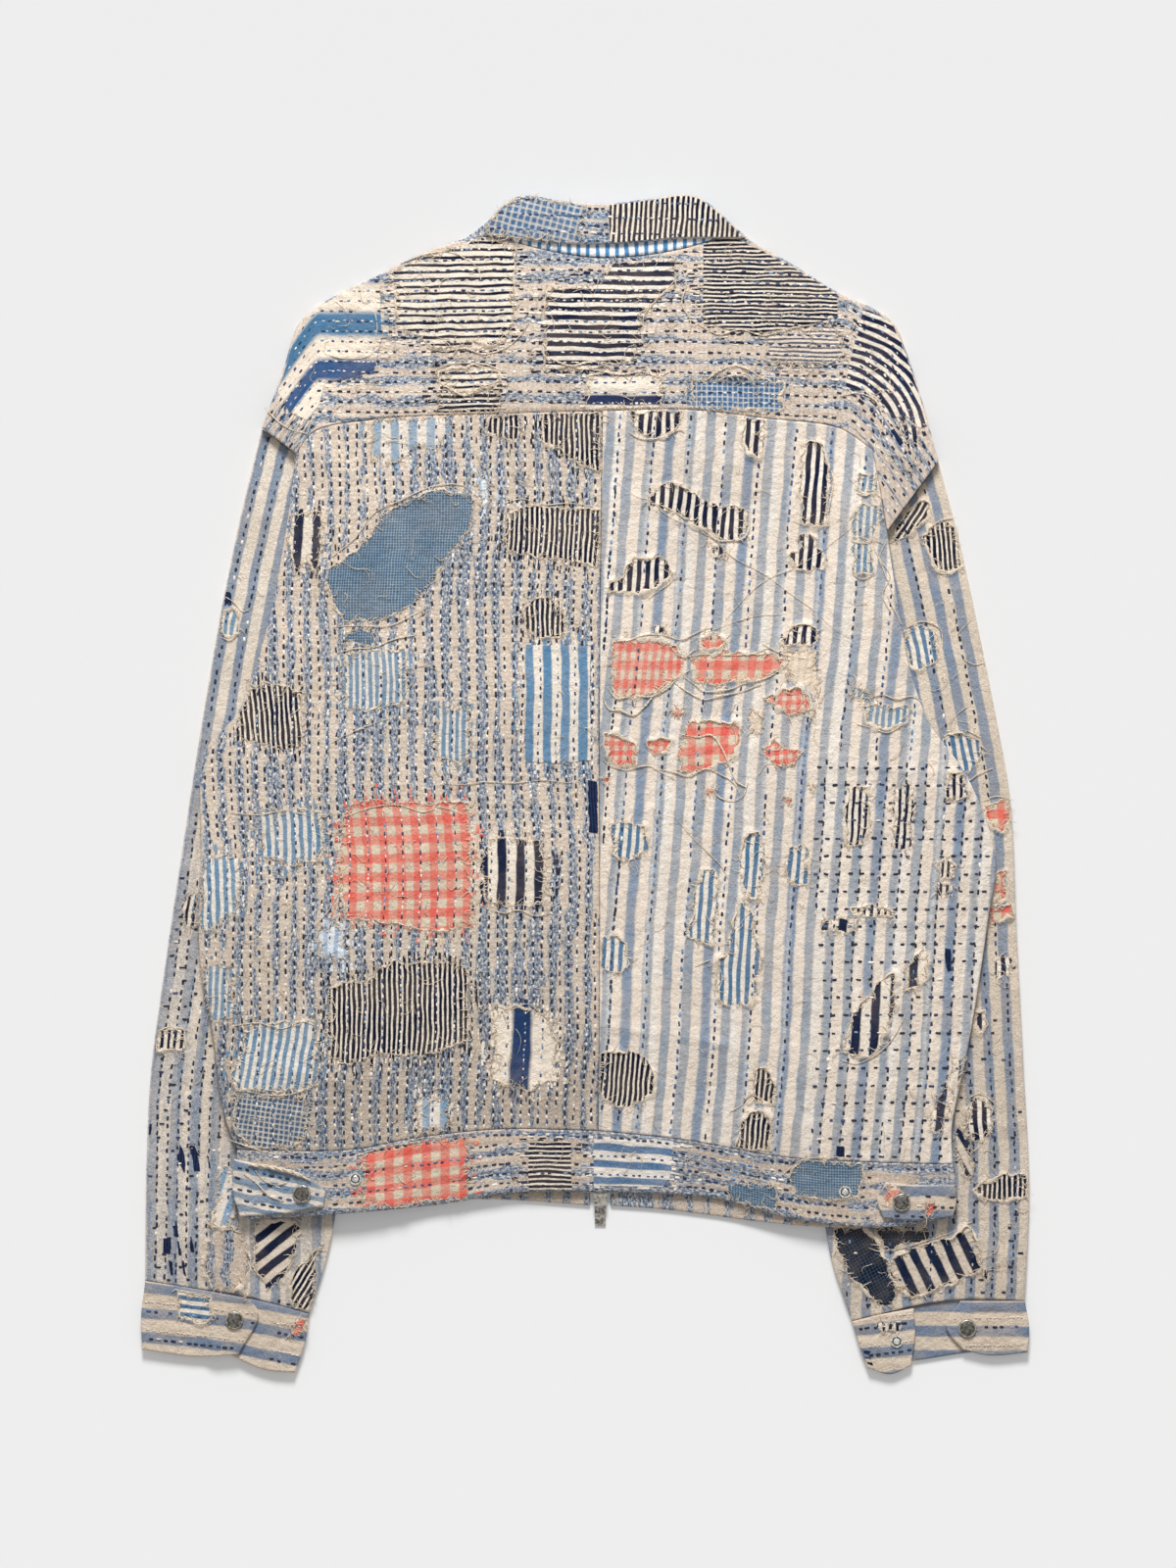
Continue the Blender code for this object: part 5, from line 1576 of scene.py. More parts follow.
def collarEdges(top, bottom):
    return joined(top), joined(bottom), joined([top[0], bottom[0]]), joined([top[-1], bottom[-1]])


def leafUnder(x, y):
    return backUnder(x, y) + bandPly + layGap


sewPiece(
    "collar_stand", collarEdges(rollLine, neckSeam), plainLook("standCloth", 21, rough=0.1),
    backUnder, bandPly, turnedFlow(0, upright=True), ["back_yoke"], step=2.2,
)
sewPiece(
    "collar_leaf", collarEdges(rollLine, leafEdge),
    plainLook("collarCloth", 22, collarCreases, 0.35, [(5.4, 5.0, 0.3, everywhere)]),
    leafUnder, bandPly, collarFlow, ["collar_stand"], step=1.4,
)
for side, point in (("left", collarPointLeft), ("right", collarPointRight)):
    sewHidden(
        f"collar_point_{side}", edgesOf(point), "collarCloth", 23, onFloor, bandPly, noFlow, ["floor"]
    )

# Cuffs: one band round each wrist, its snapped end lapping over the other
cuffs = dict(
    left=dict(
        outer=fourEdges(
            [(-305, -343), (-261, -350), (-233, -355)], [(-307, -391), (-270, -396), (-240, -394)],
            (-308, -368), (-226, -366),
        ),
        inner=fourEdges(
            [(-250, -352), (-220, -358), (-191, -366)], [(-252, -392), (-222, -405), (-201, -407)],
            (-251, -372), (-194, -386),
        ),
        under=fourEdges(
            cuffSeamLeft, [(-306, -390), (-250, -393), (-203, -404)], (-307, -368), (-195, -386)
        ),
        turn=dict(outer=-6, inner=-11), lap=cuffLap,
    ),
    right=dict(
        outer=fourEdges(
            [(260, -357), (282, -357), (305, -357)], [(262, -391), (280, -395), (307, -393)],
            (250, -375), (308, -375),
        ),
        inner=fourEdges(
            [(185, -371), (206, -366), (228, -362)], [(196, -404), (212, -408), (226, -402)],
            (190, -388), (229, -380),
        ),
        under=fourEdges(
            cuffSeamRight, [(199, -403), (228, -399), (268, -393), (306, -391)], (191, -388), (307, -375)
        ),
        turn=dict(outer=0, inner=6), lap=cuffUnder,
    ),
)


# Relief on a cuff's inner end fades out under the end that laps over it
def clearOfLap(x, y):
    left = rising((x - zoneLook["lapLeft"]) / zoneLook["lapRun"])
    return left * rising((zoneLook["lapRight"] - x) / zoneLook["lapEdge"])


for side, cuff in cuffs.items():
    for part, under, free in (("inner", cuffUnder, clearOfLap), ("outer", cuff["lap"], everywhere)):
        sewPiece(
            f"cuff_{side}_{part}", edgesOf(cuff[part]),
            plainLook("cuffCloth", 24, cuffCreases, 0.3, [(8.5, 6.0, 0.25, everywhere)], free),
            under, bandPly, turnedFlow(cuff["turn"][part]), [f"cuff_{side}_under"], step=1.5,
        )
    sewHidden(
        f"cuff_{side}_under", edgesOf(cuff["under"]), "cuffCloth", 25, onFloor, bandPly,
        turnedFlow(0), ["floor"],
    )


# Hem tabs, snapped to the band
def tabUnder(x, y):
    return bandUnder(x, y) + bandPly + layGap


for side, tab, turn, cloth in (
    ("left", tabLeft, -12, "tabStripe"), ("right", tabRight, -1, "cuffCloth")
):
    sewPiece(
        f"hem_tab_{side}", edgesOf(tab), plainLook(cloth, 26, (), 0.35, [(7.0, 6.0, 0.25, everywhere)]),
        tabUnder, bandPly, turnedFlow(turn), ["back_band"], step=1.4,
    )

# Zip tapes between the fronts' edges
tape = dict(near=1.2, far=14.2, top=314.0, foot=-282.4, thick=1.1)
for side, near, far in (("left", -tape["far"], -tape["near"]), ("right", tape["near"], tape["far"])):
    corners = [(zipX + k, y) for y in (tape["top"], tape["foot"]) for k in (near, far)]
    sewHidden(
        f"zip_tape_{side}",
        (joined(corners[:2]), joined(corners[2:]), joined(corners[::2]), joined(corners[1::2])),
        "tapeCloth", 27, tapeUnder, tape["thick"], noFlow, [f"front_{side}"], step=9,
    )
print("cloth sewn:", len(sewn), "pieces")


# Patches


# A rim's points are step apart, a cut one's cutStep, and it wanders by ragged times noise of
# (size, share). It is pulled inward until it lies margin inside its piece. rise is how far outside
# its rim a patch begins to rise, and over how much. A turned one has a fold along its rim.
patchLook = dict(
    step=1.9, cutStep=0.6, lattice=2.7, lift=0.45, tuck=0.35, tucked=0.2, deep=0.6,
    ragged=dict(torn=1.5, worn=1.7, turned=0.3, cut=0.35), noise=((13, 0.8), (5.5, 0.9), (2.4, 0.7)),
    margin=0.9, pull=0.8, pulls=50, rise=dict(cut=(0.6, 1.2), torn=(1.5, 3), worn=(1, 2.5)),
    fold=dict(high=0.45, at=1.3, wide=1.2),
)


# At each point of a closed line, the way at right angles to it; outward if it runs anticlockwise
def outwardOf(rim):
    turning = np.roll(rim, -1, axis=0) - np.roll(rim, 1, axis=0)
    outward = np.stack([turning[:, 1], -turning[:, 0]], axis=1)
    return outward / np.maximum(np.linalg.norm(outward, axis=1, keepdims=True), 1e-6)


# A closed line through the given points, evenly spaced, made uneven by noise along its outward
# side, and kept inside the piece that it lies on
def patchRim(points, edge, outline, seed):
    loop = np.array([*points, points[0]], dtype=float)
    count = max(12, round(lengthOf(loop) / patchLook["cutStep" if edge == "cut" else "step"]))
    rim = alongLine(loop, np.arange(count) / count)
    area = (rim[:, 0] * np.roll(rim[:, 1], -1) - rim[:, 1] * np.roll(rim[:, 0], -1)).sum()
    if area < 0:
        rim = rim[::-1]
    x, y = rim[:, 0], rim[:, 1]
    noise = sum(share * unevenness(x, y, size, seed + int(size)) for size, share in patchLook["noise"])
    rim = rim + patchLook["ragged"][edge] * noise[:, None] * outwardOf(rim)
    middle = rim.mean(axis=0)
    for _ in range(patchLook["pulls"]):
        out = depthInside(rim[:, 0], rim[:, 1], outline) < patchLook["margin"]
        if not out.any():
            break
        back = middle - rim[out]
        rim[out] += patchLook["pull"] * back / np.maximum(np.linalg.norm(back, axis=1, keepdims=True), 1)
    return rim


# How high a patch stands over its panel, by its edge and the depth inside it
def patchHeight(edge, depth):
    if edge == "turned":
        fold = patchLook["fold"]
        return patchLook["lift"] + fold["high"] * np.exp(-(((depth - fold["at"]) / fold["wide"]) ** 2))
    start, run = patchLook["rise"][edge]
    height = patchLook["lift"] * rising((depth + start) / run)
    if edge == "worn":
        height = height - patchLook["tuck"] * (depth < patchLook["tucked"])
    return height


# A patch's own run of stripes: turned from its panel's by some degrees, or round a point
def turnedUv(flow, x, y, turn):
    if isinstance(turn, tuple):
        away = np.hypot(x - turn[0], y - turn[1])
        return np.stack([away, away * np.arctan2(y - turn[1], x - turn[0])], axis=1)
    c, s = np.cos(np.radians(turn)), np.sin(np.radians(turn))
    across, along = flow(x, y)
    return np.stack([c * across + s * along, c * along - s * across], axis=1)


# A thin plate of cloth inside a rim: triangles between the rim and a lattice of points, the
# same again underneath, and a wall between the two
def patchPlate(piece, rim, edge, turn):
    low, high = rim.min(axis=0), rim.max(axis=0)
    pitch = patchLook["lattice"]
    lx, ly = np.meshgrid(np.arange(low[0], high[0], pitch), np.arange(low[1], high[1], pitch * 0.87))
    lx[1::2] += pitch / 2
    lx, ly = lx.ravel(), ly.ravel()
    inside = depthInside(lx, ly, rim) > 1.1
    flat = np.vstack([rim, np.stack([lx[inside], ly[inside]], axis=1)])
    found = delaunay_2d_cdt([Vector(point) for point in flat.tolist()], [], [list(range(len(rim)))], 1, 1e-5)
    flat, faces = np.array(found[0]), np.array(found[2])
    x, y = flat[:, 0], flat[:, 1]
    depth = np.maximum(depthInside(x, y, rim), 0)
    base = piece["top"](x, y)
    top = np.stack([x, y, base + patchHeight(edge, depth)], axis=1)
    under = np.stack([x, y, base - patchLook["deep"]], axis=1)
    ahead = np.vstack([faces[:, [0, 1]], faces[:, [1, 2]], faces[:, [2, 0]]])
    size = len(flat)
    single = ~np.isin(ahead[:, 0] * size + ahead[:, 1], ahead[:, 1] * size + ahead[:, 0])
    a, b = ahead[single, 0], ahead[single, 1]
    wall = np.stack([a + size, b + size, b, a], axis=1)
    uv = turnedUv(piece["flow"], x, y, turn)
    return np.vstack([top, under]), [faces, faces[:, ::-1] + size, wall], np.vstack([uv, uv])


# The rolled lip of worn-through cloth round a hole: a profile of (outward, up) carried along
# the rim. It comes and goes along the rim, and its inner side reaches in by uneven tongues. It is
# full where the piece has room for it. Noise is given as (share, size), in the order of its seeds.
lipLook = dict(
    profile=[(-0.7, 0.05), (-1.0, 0.75), (-0.3, 1.5), (0.8, 1.2), (2.2, 0.4), (3.8, -0.3), (1.2, -0.5)],
    frayedSides=3, margin=0.6, room=3.8, come=((0.85, 11.3), (0.5, 4.1)), mean=0.7, least=0.12, most=1.7,
    tall=(0.4, 7.1), low=0.4, reach=0.5, tongues=(2.1, 3.3),
    strength=dict(back_panel_left=0.55, back_yoke=0.6, back_band=0.5, collar_leaf=0.5),
)


def patchLip(piece, rim, strength, seed):
    profile = np.array(lipLook["profile"])
    x, y = rim[:, 0], rim[:, 1]
    room = (depthInside(x, y, piece["outline"]) - lipLook["margin"]) / lipLook["room"]
    room = np.clip(room, 0.1, 1)
    come = lipLook["mean"]
    for k, (share, size) in enumerate(lipLook["come"]):
        come = come + share * unevenness(x, y, size, seed + 2 * k)
    come = np.clip(come, lipLook["least"], lipLook["most"]) * strength
    wide = room * come
    share, size = lipLook["tall"]
    tall = come * (1 + share * unevenness(x, y, size, seed + 1))
    tall = tall * (lipLook["low"] + (1 - lipLook["low"]) * room)
    share, size = lipLook["tongues"]
    reach = lipLook["reach"] + share * np.maximum(unevenness(x, y, size, seed + 4), 0)
    outward = outwardOf(rim)
    count, sides = len(rim), len(profile)
    spans = np.where(profile[:, 0] < 0, reach[:, None] * wide[:, None], wide[:, None]) * profile[:, 0]
    flat = rim[:, None] + outward[:, None] * spans[:, :, None]
    px, py = flat[..., 0], flat[..., 1]
    height = piece["top"](px, py) + profile[:, 1] * tall[:, None]
    points = np.stack([px, py, height], axis=-1).reshape(-1, 3)
    index = np.arange(count * sides).reshape(count, sides)
    after = np.roll(index, -1, axis=0)
    quads = np.stack([index, after, np.roll(after, -1, axis=1), np.roll(index, -1, axis=1)], axis=-1)
    frayed, plain = quads[:, : lipLook["frayedSides"]], quads[:, lipLook["frayedSides"] :]
    uv = np.stack(piece["flow"](points[:, 0], points[:, 1]), axis=1)
    return points, [frayed.reshape(-1, 4), plain.reshape(-1, 4)], uv


# Loose yarn ends: short bent tubes that start at the rim and lie over the patch or the cloth, one
# in every so many millimetres of a torn rim and more closely, by worn, of another. They head
# inward, give or take a normal draw of astray radians, but for the share out. Strays are longer
# and lie anywhere further inside their piece than margin.
frayLook = dict(
    every=2.0, worn=0.8, astray=0.9, out=0.3, long=(2.2, 8.5), thick=(0.2, 0.42), bend=1.2, corners=4,
)
strayLook = dict(margin=9, long=(6, 21), thick=(0.18, 0.3), bend=2.2, corners=7)
# A yarn thins towards its end and humps up on the way; it is a tube with few sides
yarnLook = dict(start=1.1, taper=0.6, hump=(0.2, 1.5), sides=3)


def frays(piece, starts, headings, random, look=frayLook):
    count = len(starts)
    # mostly short, a few long: the share of the range is a square
    length = look["long"][0] + (look["long"][1] - look["long"][0]) * random.random(count) ** 2
    t = np.linspace(0, 1, look["corners"])
    curl = random.normal(0, look["bend"], (2, count, 1))
    angle = headings[:, None] + curl[0] * t + curl[1] * np.sin(3 * t)
    step = (length / (look["corners"] - 1))[:, None] * np.stack([np.cos(angle), np.sin(angle)])
    walk = np.cumsum(step, axis=2) - step
    x, y = starts[:, :1] + walk[0], starts[:, 1:] + walk[1]
    radius = random.uniform(*look["thick"], count)[:, None] * (yarnLook["start"] - yarnLook["taper"] * t)
    hump = random.uniform(*yarnLook["hump"], count)[:, None] * np.sin(np.pi * np.clip(t * 1.1, 0, 1))
    height = piece["top"](x, y) + patchLook["lift"] + radius + hump
    points, faces = tubes(np.stack([x, y, height], axis=-1), radius, yarnLook["sides"])
    uv = np.stack([points[:, 0], points[:, 1]], axis=1)
    return points, faces, uv


# Where points (u, v) of something small lie when it stands at x, y and is turned to a heading
def turnedAt(x, y, heading, u, v):
    c, s = np.cos(heading)[:, None], np.sin(heading)[:, None]
    return x[:, None] + c * u - s * v, y[:, None] + s * u + c * v


# Flakes of a patch that show between the mending round it: low boxes drawn out along the rows,
# fewer further from the rim
flakeLook = dict(
    every=2.2, nearest=0.8, reach=9.0, fewer=1.6, inside=3.5, apart=0.5, astray=0.12,
    long=(0.9, 2.6), wide=(0.5, 1.1), high=0.38, deep=0.5,
)


def flakes(piece, rim, turn, random):
    count = round(len(rim) * patchLook["step"] / flakeLook["every"])
    pick = random.integers(0, len(rim), count)
    away = flakeLook["reach"] * random.random(count) ** flakeLook["fewer"] + flakeLook["nearest"]
    x, y = (rim[pick] + outwardOf(rim)[pick] * away[:, None]).T
    keep = (depthInside(x, y, piece["outline"]) > flakeLook["inside"]) & (clearance(x, y) > 0)
    for _, other, _ in piece["patches"]:
        keep &= depthInside(x, y, other) < -flakeLook["apart"]
    x, y = x[keep], y[keep]
    across, along = piece["flow"](x, y)
    x1, y1 = piece["place"](across, along + 1)
    heading = np.arctan2(y1 - y, x1 - x) + random.normal(0, flakeLook["astray"], len(x))
    corner = np.array([(i, j) for i in (-1, 1) for j in (-1, 1)])
    u = corner[:, 0] * random.uniform(*flakeLook["long"], (len(x), 1))
    v = corner[:, 1] * random.uniform(*flakeLook["wide"], (len(x), 1))
    px, py = turnedAt(x, y, heading, u, v)
    base = piece["top"](px, py)
    levels = [np.stack([px, py, base + rise], axis=-1) for rise in (flakeLook["high"], -flakeLook["deep"])]
    points = np.stack(levels, axis=1).reshape(-1, 3)
    box = np.array([(0, 2, 3, 1), (4, 5, 7, 6), (0, 4, 6, 2), (1, 3, 7, 5), (0, 1, 5, 4), (2, 6, 7, 3)])
    faces = (box + 8 * np.arange(len(x))[:, None, None]).reshape(-1, 4)
    return points, [faces], turnedUv(piece["flow"], points[:, 0], points[:, 1], turn)


# One ply of a two-ply strand of bundled yarn that lies along given points: its centre
# goes round the line's at half a radius, one turn in every few radii, thinner at both ends. Noise
# is given as (share, size), and ply is its own radius as a share of the strand's.
strandLook = dict(step=1.6, turn=9, uneven=(0.45, 4.3), thin=0.35, swing=0.5, lift=(0.35, 9.1), ply=0.62)


def twisted(piece, points, radius, turn, seed):
    line = denseLine(points)
    count = max(6, round(lengthOf(line) / strandLook["step"]))
    line = alongLine(line, np.linspace(0, 1, count))
    ahead = np.gradient(line, axis=0)
    aside = np.stack([-ahead[:, 1], ahead[:, 0]], axis=1) / np.linalg.norm(ahead, axis=1, keepdims=True)
    way = runOf(line)
    phase = 2 * np.pi * way / (strandLook["turn"] * radius) + turn
    share, size = strandLook["uneven"]
    uneven = 1 + share * unevenness(line[:, 0], line[:, 1], size, seed + 5)
    full = np.sin(np.pi * np.linspace(0.04, 0.96, count)) ** 0.5
    thin = radius * uneven * (strandLook["thin"] + (1 - strandLook["thin"]) * full)
    swing = strandLook["swing"] * thin
    x, y = (line + (swing * np.cos(phase))[:, None] * aside).T
    share, size = strandLook["lift"]
    lift = share * unevenness(x, y, size, seed + 6)
    height = piece["top"](x, y) + patchLook["lift"] + thin + lift + swing * np.sin(phase)
    path = np.stack([x, y, height], axis=-1)
    made, faces = tubes(path[None], strandLook["ply"] * thin[None], 5)
    return made, faces, np.stack([made[:, 0], made[:, 1]], axis=1)


roomLook = dict(free=0.9, body=2)


# Nothing is sewn under a cap, a tab, the collar's leaf or, on a sleeve, the body
def clearance(x, y):
    return np.where(calm(x, y) > 0.05, 1.0, 0.0)


def offTabs(x, y):
    return np.where(clearOfTabs(x, y) > roomLook["free"], 1.0, 0.0)


def offLeaf(x, y):
    return np.where(clearOfCollar(x, y) > roomLook["free"], 1.0, 0.0)


def offBody(x, y):
    return np.where(bodyDepth(x, y) < -roomLook["body"], 1.0, 0.0)


# The radii in strands are all taken by this share
plyShare = 0.78
# Cloths that no stitch goes through
unsewnCloths = ("indigoCheck", "navySolid")
# Pieces whose mending shows flakes of the patches
mendedPieces = ("back_panel_left", "back_yoke", "back_band")
# How many stray yarns lie on each piece, and where they may
strayThreads = dict(
    back_panel_left=300, back_panel_right=110, back_yoke=200, sleeve_left_upper=110,
    sleeve_right_upper=110, back_band=40,
)
strayRoom = dict(back_yoke=offLeaf, back_band=offTabs, sleeve_left_upper=offBody, sleeve_right_upper=offBody)
# Strands: (radius, points)
strands = dict(
    back_panel_right=[
        (0.7, [(19, 104.3), (28, 100.4), (35.9, 103), (45, 105), (58, 103.7), (63.2, 101.7), (68.4, 101.7),
               (74.9, 105), (82.7, 108.9), (86.6, 110.2)]),
        (0.6, [(58, 101.7), (59.9, 95.9), (65.8, 90), (69.7, 89.4), (74.9, 93.9), (78.8, 95.2)]),
        (0.55, [(69.7, 89.4), (80.1, 91.3), (95.7, 90.7), (106, 90.7), (119, 92.6), (128, 95.6), (133, 92.6),
                (139, 92)]),
        (0.6, [(123, 98.5), (130, 94.6), (139, 90.7), (145, 89.4), (152, 88)]),
        (0.8, [(16.4, 67.3), (21.6, 60.7), (28, 61.4), (35.9, 62.3), (45, 62), (56.7, 67.3), (63.2, 73.8),
               (72.3, 80.3)]),
        (0.7, [(67, 76.4), (74.9, 71.2), (81.4, 66), (86.6, 65.3), (101, 67.3), (110, 70.9), (123, 73.8),
               (131, 77.7), (135, 80.3)]),
        (0.55, [(43.7, 129.7), (51.5, 135.6), (58, 140), (63.2, 145.3)]),
        (0.7, [(45, 196), (54, 194), (63, 189.5), (69.7, 185), (76, 184.4), (79, 187)]),
        (0.75, [(81.4, 180.4), (85, 175), (93, 170), (101, 170), (109, 171.3), (113, 176.5), (114, 185.7),
                (113, 191)]),
        (0.75, [(30, 245.5), (35.9, 241.6), (42.4, 240.3), (51.5, 241), (59.3, 244), (65.8, 247),
                (68.4, 245.5)]),
        (0.7, [(167, 227), (171, 217), (172, 208), (170, 199), (168, 187)]),
        (0.3, [(21.6, 211), (35.9, 200.6), (45, 198), (56.7, 187.6), (75, 179), (92, 168.8), (101, 159.6),
                (115, 151.8), (127, 145.3), (140, 135), (158, 122), (171, 110), (185.5, 101)]),
        (0.28, [(97, 115), (112.6, 132.3), (127, 144), (144, 150.5), (165, 163.5), (183, 177.8)]),
        (0.28, [(80, 105), (114, 116.7), (140, 119.3)]),
        (0.8, [(12, 62), (17, 53), (24, 52.5), (34, 49), (41, 55), (52, 68), (58, 73)]),
        (0.65, [(60, 73), (70, 66), (82, 60), (92, 62), (110, 66), (122, 71)]),
        (0.8, [(66, 36), (72, 34.5), (80, 34), (87, 35.5), (93, 29), (99, 17), (105, 3), (112, -1)]),
        (0.6, [(47, 12), (56, 11), (64, 9), (70, 7), (77, 9), (84, 12), (92, 9), (103, 2), (107, -5)]),
        (0.55, [(17, 14), (28, 11), (36, 13), (44, 14), (52, 10), (62, 5)]),
        (0.5, [(88, 5), (92, -7), (103, -10), (110, -6), (113, 3)]),
        (0.35, [(62, -21), (72, -33), (84, -45), (94, -55), (101, -68)]),
        (0.5, [(120, 8), (127, 16), (139, 13), (146, 18), (152, 25)]),
        (0.6, [(186, 62), (196, 61), (206, 63), (216, 60), (226, 62), (234, 58)]),
        (0.6, [(188, 43), (199, 40), (209, 37), (218, 41), (226, 47)]),
        (0.55, [(196, 176), (200, 165), (206, 151), (211, 138), (216, 126)]),
        (0.7, [(188, 203), (194, 201), (200, 203), (206, 199)]), (0.6, [(186, 146), (192, 143), (199, 146)]),
        (0.6, [(184, 170), (191, 168), (199, 170), (206, 168)]), (0.6, [(209, 132), (214, 122), (219, 112)]),
        (0.5, [(209, 170), (204, 158), (211, 146), (206, 132), (212, 120)]),
        (0.5, [(104, -100), (110, -92), (117, -85), (122, -78)]),
        (0.5, [(76, -125), (88, -121), (95, -131), (92, -148), (100, -154)]),
        (0.5, [(178, -190), (188, -192), (200, -187), (212, -176), (221, -160)]),
        (0.5, [(100, -226), (108, -221), (114, -214), (124, -218), (133, -222)]),
    ],
    back_panel_left=[
        (0.6, [(-176, 158), (-160, 171), (-146, 189), (-128, 198), (-104, 208), (-84, 208), (-74, 200)]),
        (0.5, [(-175, 110), (-158, 111), (-136, 111), (-122, 117), (-110, 124)]),
        (0.6, [(-172, 92), (-160, 95), (-146, 96), (-134, 101), (-116, 105)]),
        (0.45, [(-176, 30), (-164, 36), (-150, 42), (-136, 47)]),
        (0.55, [(-165, -21), (-148, -15), (-130, -13), (-112, -18), (-100, -15), (-84, -20)]),
        (0.6, [(-243, -166), (-226, -164), (-210, -168), (-196, -163), (-186, -166)]),
        (0.55, [(-236, -211), (-218, -214), (-202, -213), (-186, -207)]),
        (0.7, [(-246, -245), (-232, -250), (-212, -255), (-196, -253)]),
        (0.6, [(-176, -146), (-172, -156), (-176, -168), (-171, -180), (-174, -190)]),
        (0.5, [(-56, 196), (-44, 199), (-30, 195), (-12, 196), (4, 194)]),
        (0.5, [(-98, 2), (-84, 1), (-70, 3), (-50, 2), (-28, 4), (-10, 2)]),
        (0.6, [(-68, -85), (-56, -88), (-46, -86), (-34, -90), (-24, -88)]),
        (0.5, [(-246, -18), (-226, -20), (-208, -17), (-190, -21)]),
        (0.5, [(-186, -96), (-176, -84), (-170, -70), (-172, -52)]),
        (0.45, [(-62, -152), (-52, -155), (-40, -151), (-30, -158), (-19, -168)]),
        (0.45, [(-90, -140), (-78, -150), (-80, -166), (-76, -182), (-82, -196)]),
    ],
    back_yoke=[
        (0.6, [(-128, 362), (-112, 368), (-96, 370), (-84, 366), (-74, 358), (-72, 350)]),
        (0.55, [(-110, 304), (-98, 301), (-84, 303), (-70, 299), (-54, 304), (-45, 312), (-38, 322)]),
        (0.6, [(-104, 288), (-94, 292), (-80, 293), (-66, 291), (-56, 286)]),
        (0.8, [(-6, 289), (8, 288), (24, 285), (40, 287), (52, 284), (58, 287)]),
        (0.9, [(-24, 296), (-10, 291), (6, 294), (18, 290)]),
        (0.7, [(62, 350), (55, 342), (47, 334), (41, 326), (40, 314)]),
        (0.6, [(78, 320), (92, 313), (108, 316), (124, 312), (142, 317), (160, 320)]),
        (0.6, [(66, 362), (70, 348), (67, 334), (73, 322), (70, 306)]),
        (0.7, [(176, 270), (190, 272), (202, 266), (206, 252), (203, 238)]),
        (0.5, [(-182, 300), (-166, 296), (-150, 298), (-140, 306)]),
        (0.5, [(-146, 330), (-144, 318), (-147, 302), (-142, 286)]),
        (0.6, [(-222, 262), (-212, 252), (-202, 246), (-192, 244)]),
        (0.9, [(84, 281), (92, 287), (104, 291), (114, 288), (124, 281)]),
        (0.9, [(-103, 281), (-95, 276), (-83, 270.5), (-72, 276), (-58, 281)]),
    ],
    sleeve_left_upper=[
        (0.7, [(-249, 131), (-243, 127), (-238, 121), (-233, 122)]),
        (0.6, [(-252, 103), (-246, 101), (-240, 106)]),
        (0.6, [(-296, -170), (-288, -167), (-280, -171)]), (0.5, [(-262, -300), (-250, -307), (-240, -306)]),
        (0.6, [(-234, -296), (-220, -298), (-206, -297), (-194, -304)]),
    ],
    sleeve_right_upper=[
        (0.6, [(236, 176), (246, 184), (258, 186)]), (0.6, [(240, 150), (250, 147), (262, 152)]),
        (0.6, [(222, 110), (234, 114), (246, 109), (248, 96)]), (0.6, [(250, 38), (262, 39), (274, 34)]),
        (0.6, [(256, 9), (266, 4), (272, 8), (282, 12)]), (0.5, [(262, 88), (270, 84), (278, 86)]),
        (0.5, [(276, -10), (286, -7), (297, -10)]),
        (0.6, [(212, -322), (230, -317), (252, -310), (268, -302)]),
        (0.5, [(266, -216), (274, -213), (284, -220)]),
    ],
    hem_tab_left=[
        (1.7, [(-233, -262), (-224, -262.6), (-213, -264.6), (-201, -267.6), (-190, -273)]),
        (0.6, [(-236, -268), (-226, -276), (-218, -284), (-208, -287)]),
        (0.6, [(-228, -266), (-222, -273), (-214, -276), (-206, -274)]),
    ],
    back_band=[
        (0.5, [(-158, -256), (-140, -250), (-120, -247), (-100, -244)]),
        (0.5, [(138, -268), (150, -259), (170, -257), (190, -258)]),
    ],
)


